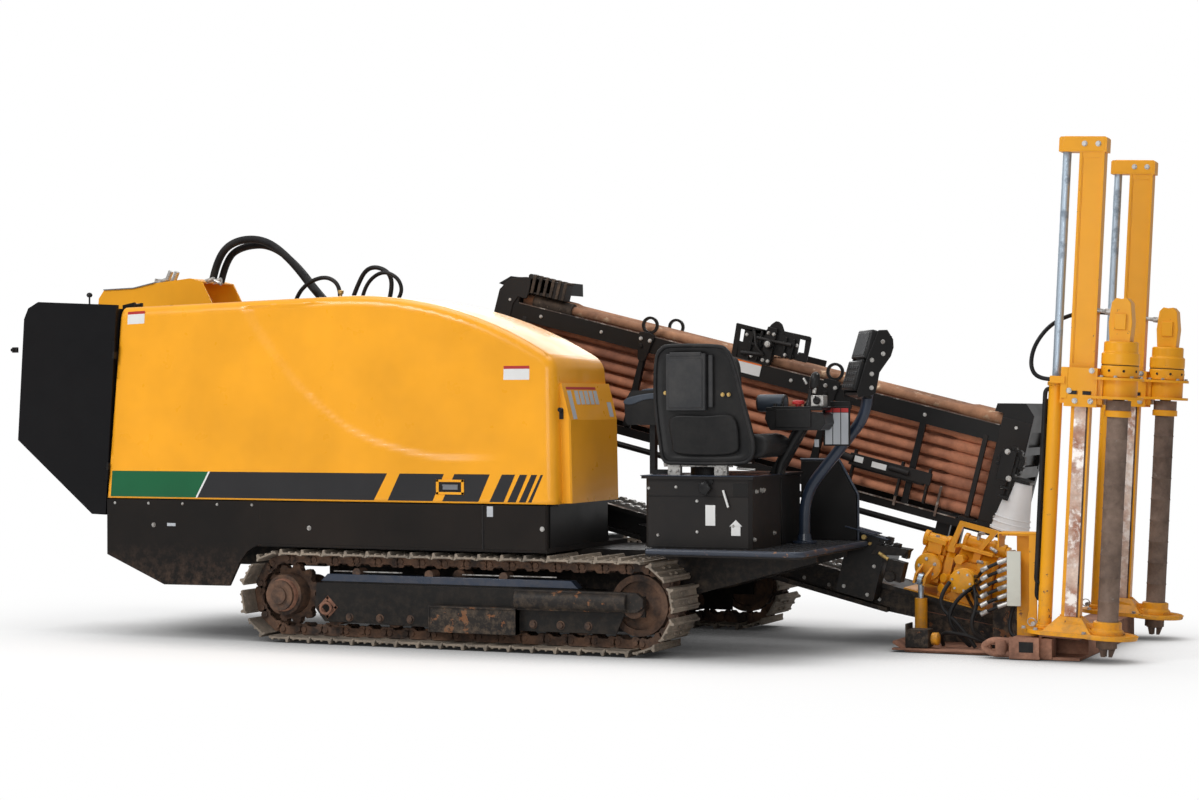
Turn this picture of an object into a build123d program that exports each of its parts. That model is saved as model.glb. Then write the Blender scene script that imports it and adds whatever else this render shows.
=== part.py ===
"""Horizontal directional drill on two steel tracks.

Lengths are in millimetres. +X points forwards, to the drilling end, +Y to the left and +Z up.
The origin lies on the ground, midway along the tracks and midway between them.
The thrust frame slopes down to the front. What it carries is drawn in its own frame, where x runs
along the slope, y is the same as the machine's and z stands square to the slope.
"""

from build123d import *
import math
import os

# Undercarriage
TRACK_HALF_WIDTH = 1000.0      # centreline to the outer edge of a shoe
SHOE_WIDTH = 370.0
WHEEL_X = 1060.0               # sprocket behind, idler in front, the same distance from the origin
PITCH_RADIUS = 195.0           # chain pitch line round a wheel
LINK_HALF_HEIGHT = 32.0
SHOE_THICKNESS = 12.0
LUG_HEIGHT = 22.0
SHOE_COUNT = 40
LINK_WIDTH = 110.0
ROLLER_RADIUS = 55.0
ROLLER_COUNT = 5
FRAME_WIDTH = 230.0            # across one track frame
CHASSIS_HALF_WIDTH = 540.0
CHASSIS_BOTTOM = 260.0
DECK_Z = 556.0                 # top of the chassis deck
NOSE_FRONT_X = 1000.0
DECK_STEP_X = 360.0            # in front of this the thrust frame passes beside the deck

# Engine housing
HOOD_REAR_X = -2197.0
HOOD_REAR_TOP_X = -2125.0
HOOD_FRONT_X = 638.0
HOOD_BOTTOM_Z = 790.0
HOOD_REAR_TOP_Z = 1886.0
HOOD_CREST_X = -750.0
HOOD_CREST_Z = 1920.0
HOOD_NOSE_X = 618.0
HOOD_NOSE_Z = 1555.0
HOOD_WALL = 12.0
HOOD_RIGHT_Y = -1000.0
HOOD_LEFT_Y = -160.0
HOOD_LEAN = 40.0               # how far the right side leans in at the top
BULKHEAD_LEAN = 150.0          # how far the left side leans in at the top
HOOD_ROUND = 60.0
PANEL_THICKNESS = 20.0
SKIRT_FRONT_X = 590.0
HINGE_X = -2133.0              # the housing swings up about a pin over its rear edge
HINGE_Z = 1906.0
HINGE_PIN_RADIUS = 7.0
BULKHEAD_TOP_Z = 1380.0
DOOR_REAR_X = -2832.0
DOOR_TOP_Z = 1926.0
DOOR_HINGE_AHEAD = 5.0         # hinge line in front of the door's edge
DOOR_HINGE_OUT = 9.0           # and outside its face
COOLER_BOTTOM = 720.0

# Operator's station
DECK_FRONT_X = 2000.0
DECK_REAR_X = 1150.0
PLATFORM_Z = 570.0
PLATFORM_THICKNESS = 38.0
PLATFORM_LEFT_Y = 90.0
SEAT_BASE_TOP_Z = 930.0
SEAT_PAN_Z = 1030.0
SEAT_X = 1360.0
SEAT_BACK_Y = -840.0

# Thrust frame
SLOPE = 14.0                   # degrees down to the front
RACK_ORIGIN_Z = 846.0          # height of the frame's top face over the machine's origin
DRILL_Y = 410.0                # drilling axis
DRILL_H = 150.0                # drilling axis over the frame's top face
RACK_REAR = -3290.0
RACK_FRONT = 2880.0
RACK_DEPTH = 150.0
RACK_HALF_WIDTH = 150.0
FLANGE_WIDTH = 53.0
FLANGE_THICKNESS = 24.0
LOWER_FLANGE_FRONT = 2180.0
PIVOT_X = -1600.0
PIVOT_Z = 985.0
PIVOT_RADIUS = 28.0
GEAR_RACK_Y = 95.0             # either side of the drilling axis
GEAR_RACK_HEIGHT = 22.0
SEAT_GAP = 0.3                 # between pieces that rest on or beside one another

# Rod box
ROD_LENGTH = 3050.0
ROD_RADIUS = 26.0
TOOL_JOINT_RADIUS = 34.0
TOOL_JOINT_LENGTH = 230.0
ROD_ROWS = 9
ROD_COLUMNS = 4
ROD_COLUMN_PITCH = 92.0
ROD_REAR = -602.0
ROD_END_GAP = 6.0
BOX_BOTTOM = 406.0
BOX_RIGHT_Y = 615.0
REAR_END_THICKNESS = 118.0
FRONT_END_THICKNESS = 172.0
RAIL_HEIGHT = 100.0
RAIL_WIDTH = 34.0
RAIL_DROP = 60.0               # top rail below the tops of the rods
STAND_INSET = 190.0            # from the rods' ends
RING_REAR_INSET = 866.0
RING_FRONT_INSET = 1004.0
RING_RADIUS = 52.0

# Carriage
CARRIAGE_REAR = -3290.0
CARRIAGE_FRONT = -1340.0
CARRIAGE_HALF_WIDTH = 210.0
PLATE_RIGHT_Y = 225.0
PLATE_LEFT_Y = 583.0
GEARBOX_REAR = -1690.0
CHUCK_LENGTH = 290.0
CHUCK_RADIUS = 62.0
NOSE_LENGTH = 70.0
NOSE_RADIUS = 36.0

# Rod shuttle
SHUTTLE_REAR = 1700.0
SHUTTLE_FRONT = 1960.0
SHUTTLE_RIGHT_Y = 655.0
SHUTTLE_LEFT_Y = 1040.0
SHUTTLE_ARM_W = 92.0           # underside of the sliding arm over the frame's top face

# Vises
BREAKOUT = (2270.0, 2410.0)
BEARING = (2420.0, 2462.0)
HOLDING = (2480.0, 2690.0)
VISE_BORE = 58.0
BEARING_BORE = 100.0
TORQUE_ARM_Y = 150.0           # pin of the break-out cylinder's rod
TORQUE_PIN_W = 87.0
TORQUE_PIN_RADIUS = 12.0
TORQUE_BASE_Z = 58.0
TORQUE_GLAND_Z = 262.0

# Tilt cylinder
TILT_PIN_X = 700.0
TILT_PIN_Z = 200.0
TILT_EYE_Z = 565.0
TILT_GLAND_Z = 500.0
TILT_Y = 146.0
TILT_PIN_RADIUS = 16.0
TILT_ROD_RADIUS = 20.0
BRACKET_TOP = -48.0            # under the carriage's keepers

# Ground anchor
ANCHOR_LEAN = 3.0              # degrees forwards
MAST_SPACING = 1289.0
MAST_FOOT_X = 3185.0           # mast centre at ground level
MAST_X_SIZE = 123.0
MAST_Y_SIZE = 84.0
MAST_WALL = 8.0
MAST_BOTTOM = 1316.0
MAST_TOP = 2600.0
CAP_HEIGHT = 76.0
COLUMN_CLEARANCE = 5.0
FOOT_Z = 130.0
FOOT_THICKNESS = 20.0
FEED_TRAVEL = 950.0
BARREL_OFFSET = -137.0         # feed cylinder behind the mast
BARREL_RADIUS = 36.0
FEED_ROD_RADIUS = 22.0
ROD_BORE_GAP = 0.4
AUGER_OFFSET = 186.0           # auger in front of the mast
AUGER_RADIUS = 52.0
GROUND_GAP = 3.0
SOLE_REAR_X = 2233.0
SOLE_HALF_WIDTH = 590.0

os.makedirs("parts", exist_ok=True)


def save(name, shape):
    export_step(shape, "parts/" + name + ".step")


def block(x, y, z):
    """A box from three (low, high) pairs."""
    size = (x[1] - x[0], y[1] - y[0], z[1] - z[0])
    centre = ((x[0] + x[1]) / 2, (y[0] + y[1]) / 2, (z[0] + z[1]) / 2)
    return Pos(*centre) * Box(*size)


def side_plate(points, y):
    """A plate cut to (x, z) points and as thick as the (low, high) pair y."""
    outline = Polyline(*[(px, y[0], pz) for px, pz in points], close=True)
    return extrude(make_face(outline), y[1] - y[0], dir=(0, 1, 0))


def rod_x(x, y, z, radius):
    """A round bar along X from x[0] to x[1]."""
    return Pos((x[0] + x[1]) / 2, y, z) * Rot(0, 90, 0) * Cylinder(radius, x[1] - x[0])


def rod_y(x, y, z, radius):
    """A round bar along Y from y[0] to y[1]."""
    return Pos(x, (y[0] + y[1]) / 2, z) * Rot(90, 0, 0) * Cylinder(radius, y[1] - y[0])


def rod_z(x, y, z, radius):
    """A round bar along Z from z[0] to z[1]."""
    return Pos(x, y, (z[0] + z[1]) / 2) * Cylinder(radius, z[1] - z[0])


def fused(pieces):
    """One shape from a list of touching or overlapping ones."""
    whole = pieces[0]
    for piece in pieces[1:]:
        whole = whole + piece
    return whole


def mirrored(shape):
    """The shape and its mirror image across the machine's centreline."""
    return Compound([*shape.solids(), *mirror(shape, about=Plane.XZ).solids()])


RACK_FRAME = Location((0, 0, RACK_ORIGIN_Z), (0, SLOPE, 0))
ANCHOR_FRAME = Location((MAST_FOOT_X, 0, 0), (0, ANCHOR_LEAN, 0))


def on_rack(shape):
    return RACK_FRAME * shape


def on_anchor(shape):
    return ANCHOR_FRAME * shape


# Undercarriage

LUG_RADIUS = PITCH_RADIUS + LINK_HALF_HEIGHT + SHOE_THICKNESS + LUG_HEIGHT
WHEEL_Z = LUG_RADIUS
TRACK_Y = -(TRACK_HALF_WIDTH - SHOE_WIDTH / 2)
SHOE_PITCH = (4 * WHEEL_X + 2 * math.pi * PITCH_RADIUS) / SHOE_COUNT


def along_track(distance):
    """Point and outward direction on the pitch line, clockwise from above the sprocket."""
    straight = 2 * WHEEL_X
    arc = math.pi * PITCH_RADIUS
    distance %= 2 * (straight + arc)
    if distance < straight:
        return -WHEEL_X + distance, PITCH_RADIUS, math.pi / 2
    distance -= straight
    if distance < arc:
        turn = math.pi / 2 - distance / PITCH_RADIUS
        return WHEEL_X + PITCH_RADIUS * math.cos(turn), PITCH_RADIUS * math.sin(turn), turn
    distance -= arc
    if distance < straight:
        return WHEEL_X - distance, -PITCH_RADIUS, -math.pi / 2
    distance -= straight
    turn = -math.pi / 2 - distance / PITCH_RADIUS
    return -WHEEL_X + PITCH_RADIUS * math.cos(turn), PITCH_RADIUS * math.sin(turn), turn


# One shoe's outline: share of the pitch along the chain, height over the pitch line
SHOE_OUTLINE = [
    (-0.49, LINK_HALF_HEIGHT - 4),
    (-0.47, LINK_HALF_HEIGHT + SHOE_THICKNESS),
    (-0.40, LINK_HALF_HEIGHT + SHOE_THICKNESS + LUG_HEIGHT),
    (-0.30, LINK_HALF_HEIGHT + SHOE_THICKNESS + LUG_HEIGHT),
    (-0.22, LINK_HALF_HEIGHT + SHOE_THICKNESS),
    (0.47, LINK_HALF_HEIGHT + SHOE_THICKNESS),
    (0.49, LINK_HALF_HEIGHT - 4),
]


def track_loop():
    outline = []
    for shoe in range(SHOE_COUNT):
        x, z, turn = along_track((shoe + 0.5) * SHOE_PITCH)
        for share, height in SHOE_OUTLINE:
            step = share * SHOE_PITCH
            outline.append(
                (
                    x + step * math.sin(turn) + height * math.cos(turn),
                    WHEEL_Z + z - step * math.cos(turn) + height * math.sin(turn),
                )
            )
    edges = (TRACK_Y - SHOE_WIDTH / 2, TRACK_Y + SHOE_WIDTH / 2)
    shoes = side_plate(outline, edges)
    inside = PITCH_RADIUS + LINK_HALF_HEIGHT - 8
    shoes -= stadium(inside, (edges[0] - 1, edges[1] + 1))
    links = (TRACK_Y - LINK_WIDTH / 2, TRACK_Y + LINK_WIDTH / 2)
    chain = stadium(inside + 4, links) - stadium(PITCH_RADIUS - LINK_HALF_HEIGHT, links)
    return shoes + chain


def stadium(radius, y):
    """A long round-ended block round both wheel centres."""
    middle = block((-WHEEL_X, WHEEL_X), y, (WHEEL_Z - radius, WHEEL_Z + radius))
    ends = [rod_y(x, y, WHEEL_Z, radius) for x in (-WHEEL_X, WHEEL_X)]
    return middle + ends[0] + ends[1]


WHEEL_RADIUS = PITCH_RADIUS - LINK_HALF_HEIGHT - 0.5
OUTER_FACE_Y = -TRACK_HALF_WIDTH


def sprocket():
    """Toothed ring, and the final drive's round housing standing out of it."""
    teeth = 11
    ring = rod_y(-WHEEL_X, (TRACK_Y - 24, TRACK_Y + 24), WHEEL_Z, WHEEL_RADIUS)
    notch = rod_y(0, (TRACK_Y - 25, TRACK_Y + 25), 0, 22)
    for tooth in range(teeth):
        turn = 2 * math.pi * tooth / teeth
        at = (-WHEEL_X + WHEEL_RADIUS * math.cos(turn), 0, WHEEL_Z + WHEEL_RADIUS * math.sin(turn))
        ring -= Pos(*at) * notch
    hub = rod_y(-WHEEL_X, (OUTER_FACE_Y + 60, TRACK_Y), WHEEL_Z, 112)
    boss = rod_y(-WHEEL_X, (OUTER_FACE_Y + 10, OUTER_FACE_Y + 60), WHEEL_Z, 84)
    cap = rod_y(-WHEEL_X, (OUTER_FACE_Y - 2, OUTER_FACE_Y + 10), WHEEL_Z, 46)
    motor = rod_y(-WHEEL_X, (TRACK_Y, TRACK_Y + 240), WHEEL_Z, 92)
    return fused([ring, hub, boss, cap, motor])


def idler():
    rim = rod_y(WHEEL_X, (TRACK_Y - 50, TRACK_Y + 50), WHEEL_Z, WHEEL_RADIUS)
    for side in (-1, 1):
        low, high = sorted((TRACK_Y + side * 26, TRACK_Y + side * 51))
        rim -= rod_y(WHEEL_X, (low, high), WHEEL_Z, 128)
    hub = rod_y(WHEEL_X, (TRACK_Y - 96.7, TRACK_Y + 96.7), WHEEL_Z, 48)
    return rim + hub


def rollers():
    height = WHEEL_Z - PITCH_RADIUS + LINK_HALF_HEIGHT + ROLLER_RADIUS + 0.5
    spacing = 1500.0 / (ROLLER_COUNT - 1)
    wheels = []
    for place in range(ROLLER_COUNT):
        x = -750.0 + spacing * place
        wheels.append(rod_y(x, (TRACK_Y - 90, TRACK_Y + 90), height, ROLLER_RADIUS))
    carrier = WHEEL_Z + PITCH_RADIUS - LINK_HALF_HEIGHT - 40.5
    wheels.append(rod_y(0, (TRACK_Y - 50, TRACK_Y + 50), carrier, 40))
    return Compound([w.solids()[0] for w in wheels])


def track_frame():
    """Side beam with a sloping top, the cheeks that hold the idler and the step on its outer side."""
    low, high = TRACK_Y - FRAME_WIDTH / 2, TRACK_Y + FRAME_WIDTH / 2
    roller_top = WHEEL_Z - PITCH_RADIUS + LINK_HALF_HEIGHT + 2 * ROLLER_RADIUS + 8
    beam = block((-830, 800), (low, high), (roller_top, 330))
    beam -= rod_y(0, (TRACK_Y - 66, TRACK_Y + 66), 386, 60)
    roof = side_plate([(-830, 329), (760, 329), (700, 372), (-770, 372)], (low, low + 60))
    cheeks = []
    for side in (-1, 1):
        cheek = block(
            (770, WHEEL_X + 60),
            sorted((TRACK_Y + side * 97, TRACK_Y + side * 114)),
            (WHEEL_Z - 55, WHEEL_Z + 55),
        )
        cheeks.append(cheek)
    drive_bracket = block((-905, -780), (high - 60, high), (218, 330))
    guard = block((-120, 400), (OUTER_FACE_Y + 12, low + 1), (96, 230))
    sleeve = rod_x((384, 1010), low - 10, WHEEL_Z + 14, 44)
    return fused([beam, roof, *cheeks, drive_bracket, guard, sleeve])


def chassis():
    """Centre box, cross tubes to both track frames, deck, rear frame rails and pivot towers."""
    half = CHASSIS_HALF_WIDTH
    top = DECK_Z - 24
    box = block((-1000, DECK_STEP_X), (-half, half), (CHASSIS_BOTTOM, top))
    nose = block((DECK_STEP_X - 1, NOSE_FRONT_X), (-half, 80), (CHASSIS_BOTTOM, top))
    nose = chamfer(nose.edges().filter_by(Axis.Y).group_by(Axis.X)[-1].sort_by(Axis.Z)[0], 60)
    reach = TRACK_HALF_WIDTH - SHOE_WIDTH / 2 - FRAME_WIDTH / 2 - SEAT_GAP
    cross = [block((x - 90, x + 90), (-reach, reach), (250, 340)) for x in (-520, 520)]
    edge = HOOD_RIGHT_Y + 2 + PANEL_THICKNESS + SEAT_GAP
    deck = block((HOOD_REAR_X + 20, DECK_STEP_X), (edge, 560), (top - 1, DECK_Z))
    deck += block((DECK_STEP_X - 1, SKIRT_FRONT_X), (edge, 80), (top - 1, DECK_Z))
    rails = [block((HOOD_REAR_X + 20, -990), (y - 45, y + 45), (400, top)) for y in (-560, -250, 300)]
    brackets = []
    for y in (-700, -300):
        outline = [(-2120, 410), (-2120, DECK_Z), (HOOD_REAR_X - 20, COOLER_BOTTOM - SEAT_GAP),
                   (-2309, COOLER_BOTTOM - SEAT_GAP), (-2240, 520)]
        brackets.append(side_plate(outline, (y - 12, y + 12)))
    towers = []
    for y in (DRILL_Y - 180, DRILL_Y + 180):
        tower = side_plate(
            [(PIVOT_X - 220, DECK_Z - 1), (PIVOT_X + 220, DECK_Z - 1), (PIVOT_X + 55, PIVOT_Z),
             (PIVOT_X - 55, PIVOT_Z)],
            (y - 14, y + 14),
        )
        towers.append(tower + rod_y(PIVOT_X, (y - 14, y + 14), PIVOT_Z, 55))
    pin = rod_y(PIVOT_X, (DRILL_Y - 205, DRILL_Y + 205), PIVOT_Z, PIVOT_RADIUS)
    foot = block((PIVOT_X - 240, PIVOT_X + 240), (DRILL_Y - 200, DRILL_Y + 200), (DECK_Z - 30, DECK_Z + 4))
    clevis = []
    for y in (TILT_Y - 48, TILT_Y + 48):
        lug = block((TILT_PIN_X - 42, TILT_PIN_X + 42), (y - 9, y + 9), (TILT_PIN_Z - 70, TILT_PIN_Z))
        clevis.append(lug + rod_y(TILT_PIN_X, (y - 9, y + 9), TILT_PIN_Z, 42))
    shelf = block((TILT_PIN_X - 75, TILT_PIN_X + 75), (40, TILT_Y + 58), (TILT_PIN_Z - 88, TILT_PIN_Z - 62))
    arm = block((TILT_PIN_X - 75, TILT_PIN_X + 75), (20, 70), (TILT_PIN_Z - 88, 330))
    tilt_pin = rod_y(TILT_PIN_X, (TILT_Y - 62, TILT_Y + 62), TILT_PIN_Z, TILT_PIN_RADIUS + 4)
    return fused([box, nose, *cross, deck, *rails, *brackets, *towers, foot, pin, *clevis, shelf, arm,
                  tilt_pin])


# Engine housing

def hood_form(inset):
    """The housing's outside, or its inside when inset by the wall."""
    rear_bottom = (HOOD_REAR_X + inset, HOOD_BOTTOM_Z)
    rear_top = (HOOD_REAR_TOP_X + inset, HOOD_REAR_TOP_Z - inset)
    crest = (HOOD_CREST_X, HOOD_CREST_Z - inset)
    shoulder = (-20 - inset * 0.2, 1838 - inset)
    nose = (HOOD_NOSE_X - inset, HOOD_NOSE_Z - inset * 1.1)
    foot = (HOOD_FRONT_X - inset, HOOD_BOTTOM_Z)
    y = HOOD_RIGHT_Y + inset
    lines = [
        Line((rear_bottom[0], y, rear_bottom[1]), (rear_top[0], y, rear_top[1])),
        Line((rear_top[0], y, rear_top[1]), (crest[0], y, crest[1])),
        ThreePointArc(
            (crest[0], y, crest[1]), (shoulder[0], y, shoulder[1]), (nose[0], y, nose[1])
        ),
        Line((nose[0], y, nose[1]), (foot[0], y, foot[1])),
        Line((foot[0], y, foot[1]), (rear_bottom[0], y, rear_bottom[1])),
    ]
    left = HOOD_LEFT_Y - inset
    solid = extrude(make_face(Wire(lines)), left - y, dir=(0, 1, 0))
    height = HOOD_CREST_Z - HOOD_BOTTOM_Z
    lean = HOOD_LEAN
    wedge = Polyline(
        (0, y, HOOD_BOTTOM_Z), (0, y + lean * 1.2, HOOD_BOTTOM_Z + height * 1.2),
        (0, y - 100, HOOD_BOTTOM_Z + height * 1.2), (0, y - 100, HOOD_BOTTOM_Z), close=True,
    )
    solid -= Pos(-3000, 0, 0) * extrude(make_face(wedge), 5000, dir=(1, 0, 0))
    far = Polyline(
        (0, left, HOOD_BOTTOM_Z),
        (0, left - BULKHEAD_LEAN * 1.2, HOOD_BOTTOM_Z + height * 1.2),
        (0, left + 100, HOOD_BOTTOM_Z + height * 1.2),
        (0, left + 100, HOOD_BOTTOM_Z), close=True,
    )
    solid -= Pos(-3000, 0, 0) * extrude(make_face(far), 5000, dir=(1, 0, 0))
    return solid


def rounded_hood(inset):
    solid = hood_form(inset)
    radius = HOOD_ROUND - inset
    top = [
        e for e in solid.edges()
        if e.center().Y < -900 and e.center().Z > 1500 and e.center().X > HOOD_REAR_X + 60
        and e.center().X < HOOD_NOSE_X - 20
    ]
    front = [
        e for e in solid.edges()
        if e.center().X > HOOD_NOSE_X - 60 and HOOD_BOTTOM_Z + 60 < e.center().Z < HOOD_NOSE_Z - 60
        and e.center().Y < -900
    ]
    nose = [
        e for e in solid.edges()
        if e.center().X > HOOD_NOSE_X - 60 and abs(e.center().Z - HOOD_NOSE_Z) < 60
        and e.center().Y > -900 and e.length > 300
    ]
    return fillet([*top, *front, *nose], radius)


def hood():
    """Rounded shell, open below the bulkhead's top, with hinge leaves over its rear edge."""
    shell = rounded_hood(0)
    core = rounded_hood(HOOD_WALL)
    shell -= core
    shell -= block(
        (HOOD_REAR_X - 1, HOOD_FRONT_X - HOOD_WALL - 20),
        (HOOD_RIGHT_Y + HOOD_WALL + 60, HOOD_LEFT_Y + 50),
        (HOOD_BOTTOM_Z - 1, BULKHEAD_TOP_Z + 6),
    )
    leaves = []
    for y in HINGE_PLACES:
        leaf = side_plate(
            [(HINGE_X, HINGE_Z - 14), (HINGE_X + 90, HOOD_REAR_TOP_Z - 4),
             (HINGE_X + 90, HOOD_REAR_TOP_Z + 8),
             (HINGE_X, HINGE_Z + 14)],
            (y - 20, y + 20),
        )
        leaves.append(leaf + rod_y(HINGE_X, (y - 20, y + 20), HINGE_Z, 14))
    whole = fused([shell, *leaves])
    return whole - rod_y(HINGE_X, (HOOD_RIGHT_Y, HOOD_LEFT_Y), HINGE_Z, HINGE_PIN_RADIUS + ROD_BORE_GAP)


HINGE_PLACES = (-800.0, -420.0)


def front_panel():
    """Boxed cover standing proud of the housing's front, with its slanted head."""
    lean = (HOOD_FRONT_X - HOOD_NOSE_X) / (HOOD_NOSE_Z - HOOD_BOTTOM_Z)
    low, shoulder, top = HOOD_BOTTOM_Z + 4, 1235.0, 1432.0

    def face(z):
        return HOOD_FRONT_X + SEAT_GAP - lean * (z - HOOD_BOTTOM_Z)

    profile = [
        (face(low), low), (face(low) + 55, low), (face(shoulder) + 58, shoulder), (face(top) + 12,
                                                                                   top), (face(top), top),
    ]
    panel = side_plate(profile, (-908, -280))
    return chamfer(panel.faces().sort_by(Axis.X)[-1].edges().filter_by(Axis.Z, tolerance=8), 8)


def bulkhead():
    """Fixed left wall of the engine bay, leaning in with the housing."""
    slope = BULKHEAD_LEAN / (HOOD_CREST_Z - HOOD_BOTTOM_Z)
    foot_y = HOOD_LEFT_Y - slope * (DECK_Z - HOOD_BOTTOM_Z)
    rise = BULKHEAD_TOP_Z - DECK_Z
    rear, front = HOOD_REAR_X + 60, SKIRT_FRONT_X - 30
    wall = Polyline(
        (rear, foot_y, DECK_Z), (rear, foot_y + 12, DECK_Z),
        (rear, foot_y + 12 - slope * rise, BULKHEAD_TOP_Z), (rear, foot_y - slope * rise,
                                                             BULKHEAD_TOP_Z), close=True,
    )
    return extrude(make_face(wall), front - rear, dir=(1, 0, 0))


def side_skirt():
    """Lower side panel, with its wing behind the sprocket and the arch over the track."""
    outline = [
        (HOOD_REAR_X - 8, HOOD_BOTTOM_Z - 6),
        (SKIRT_FRONT_X, HOOD_BOTTOM_Z - 6),
        (SKIRT_FRONT_X, 538),
        (-1200, 538),
        (-1262, 505),
        (-1310, 442),
        (-1381, 306),
        (-1815, 302),
        (HOOD_REAR_X - 8, 466),
    ]
    return side_plate(outline, (HOOD_RIGHT_Y + 2, HOOD_RIGHT_Y + 2 + PANEL_THICKNESS))


def front_skirt():
    """Panel across the front of the engine bay, with the flange that the housing rests on."""
    y = (HOOD_RIGHT_Y + 24 + PANEL_THICKNESS, HOOD_LEFT_Y - 40)
    panel = block((SKIRT_FRONT_X - PANEL_THICKNESS, SKIRT_FRONT_X), y,
                  (DECK_Z + SEAT_GAP, HOOD_BOTTOM_Z - 8))
    seat = block((SKIRT_FRONT_X - PANEL_THICKNESS, HOOD_FRONT_X - 2), y,
                 (HOOD_BOTTOM_Z - 12, HOOD_BOTTOM_Z - SEAT_GAP))
    return panel + seat


DOOR_OUTLINE = [
    (DOOR_REAR_X, 1120),
    (DOOR_REAR_X + 45, 1828),
    (DOOR_REAR_X + 75, 1890),
    (DOOR_REAR_X + 146, DOOR_TOP_Z),
    (HOOD_REAR_TOP_X - 12, HOOD_REAR_TOP_Z + 12),
    (HOOD_REAR_X - 18, 692),
    (-2309, 695),
]


def rear_door():
    """Side cover, with two hinge barrels along its front edge and the ball knob's boss."""
    plate = side_plate(DOOR_OUTLINE, (HOOD_RIGHT_Y, HOOD_RIGHT_Y + PANEL_THICKNESS + 5))
    barrels = []
    for z in DOOR_BARRELS:
        barrels.append(DOOR_HINGE * (rod_z(0, 0, z, 7) + block((-30, 0), (0, 12), z)))
    whole = fused([plate, *barrels])
    return whole - DOOR_HINGE * rod_z(0, 0, (0, DOOR_EDGE_LENGTH), DOOR_PIN_RADIUS + ROD_BORE_GAP)


DOOR_EDGE_LOW = (HOOD_REAR_X - 18, 692)
DOOR_EDGE_HIGH = (HOOD_REAR_TOP_X - 12, HOOD_REAR_TOP_Z + 12)
DOOR_EDGE_LENGTH = math.dist(DOOR_EDGE_LOW, DOOR_EDGE_HIGH)
DOOR_EDGE_LEAN = math.degrees(math.asin((DOOR_EDGE_HIGH[0] - DOOR_EDGE_LOW[0]) / DOOR_EDGE_LENGTH))
DOOR_HINGE = Location(
    (DOOR_EDGE_LOW[0] + DOOR_HINGE_AHEAD, HOOD_RIGHT_Y - DOOR_HINGE_OUT,
     DOOR_EDGE_LOW[1]), (0, DOOR_EDGE_LEAN, 0)
)
DOOR_BARRELS = ((200, 260), (940, 1000))
DOOR_PIN_RADIUS = 4.0


def rear_cooler():
    """Fan and cooler housing behind the engine: slotted grille, door pins and the hood's hinge pins."""
    inner = [
        (DOOR_REAR_X + 22, 1130),
        (DOOR_REAR_X + 62, 1810),
        (DOOR_REAR_X + 160, DOOR_TOP_Z - 22),
        (HOOD_REAR_TOP_X - 16, HOOD_REAR_TOP_Z - 8),
        (HOOD_REAR_X - 22, COOLER_BOTTOM),
        (-2309, COOLER_BOTTOM),
    ]
    right_y = HOOD_RIGHT_Y + PANEL_THICKNESS + 5 + SEAT_GAP
    housing = side_plate(inner, (right_y, HOOD_LEFT_Y - 20))
    slots = []
    for row in range(9):
        z = 1180 + 66 * row
        slots.append(block((DOOR_REAR_X, DOOR_REAR_X + 90), (-900, -250), (z, z + 34)))
    pieces = [housing - fused_loose(slots)]
    for y in HINGE_PLACES:
        pieces.append(rod_y(HINGE_X, (y - 46, y + 46), HINGE_Z, HINGE_PIN_RADIUS))
        for side in (-1, 1):
            lug = side_plate(
                [(HINGE_X - 70, HOOD_REAR_TOP_Z - 14), (HINGE_X - 12, HOOD_REAR_TOP_Z - 14),
                 (HINGE_X + 10, HINGE_Z - 9),
                 (HINGE_X + 10, HINGE_Z + 12), (HINGE_X - 70, HINGE_Z - 2)],
                sorted((y + side * 26, y + side * 46)),
            )
            pieces.append(lug)
    tabs = ((DOOR_BARRELS[0][1] + 1, DOOR_BARRELS[0][1] + 40),
            (DOOR_BARRELS[1][0] - 40, DOOR_BARRELS[1][0] - 1))
    for tab in tabs:
        barrel = rod_z(0, 0, tab, 7)
        strap = block((1, 6), (0, 60), tab) + block((-12, 6), (35, 60), tab)
        pieces.append(DOOR_HINGE * (barrel + strap))
    for low, high in ((DOOR_BARRELS[0][0] - 2, tabs[0][1]), (tabs[1][0], DOOR_BARRELS[1][1] + 2)):
        pieces.append(DOOR_HINGE * rod_z(0, 0, (low, high), DOOR_PIN_RADIUS))
    return fused(pieces)


def fused_loose(pieces):
    """A compound of pieces that don't touch, for one cut."""
    return Compound([s for piece in pieces for s in piece.solids()])


def engine():
    return block((-1850, -900), (-840, -340), (DECK_Z + SEAT_GAP, 1450))


# Operator's station

def platform():
    """Deck plate with a turned-down edge and the plates that carry it from the chassis."""
    low = PLATFORM_Z - PLATFORM_THICKNESS
    plate = block((DECK_REAR_X, DECK_FRONT_X), (-1000, PLATFORM_LEFT_Y), (low, PLATFORM_Z))
    corner = plate.edges().filter_by(Axis.Z).sort_by(Axis.X)[-2:]
    plate = fillet(corner, 40)
    gussets = []
    for y in (-560, -60):
        outline = [
            (NOSE_FRONT_X + SEAT_GAP, 300), (1250, 300), (DECK_FRONT_X - 60, low - 40),
            (DECK_FRONT_X - 60, low + 1), (NOSE_FRONT_X + SEAT_GAP, low + 1),
        ]
        gussets.append(side_plate(outline, (y - 10, y + 10)))
    back = block((NOSE_FRONT_X + SEAT_GAP, DECK_REAR_X + 10), (-571, -49), (low - 12, low + 1))
    return fused([plate, *gussets, back])


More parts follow.
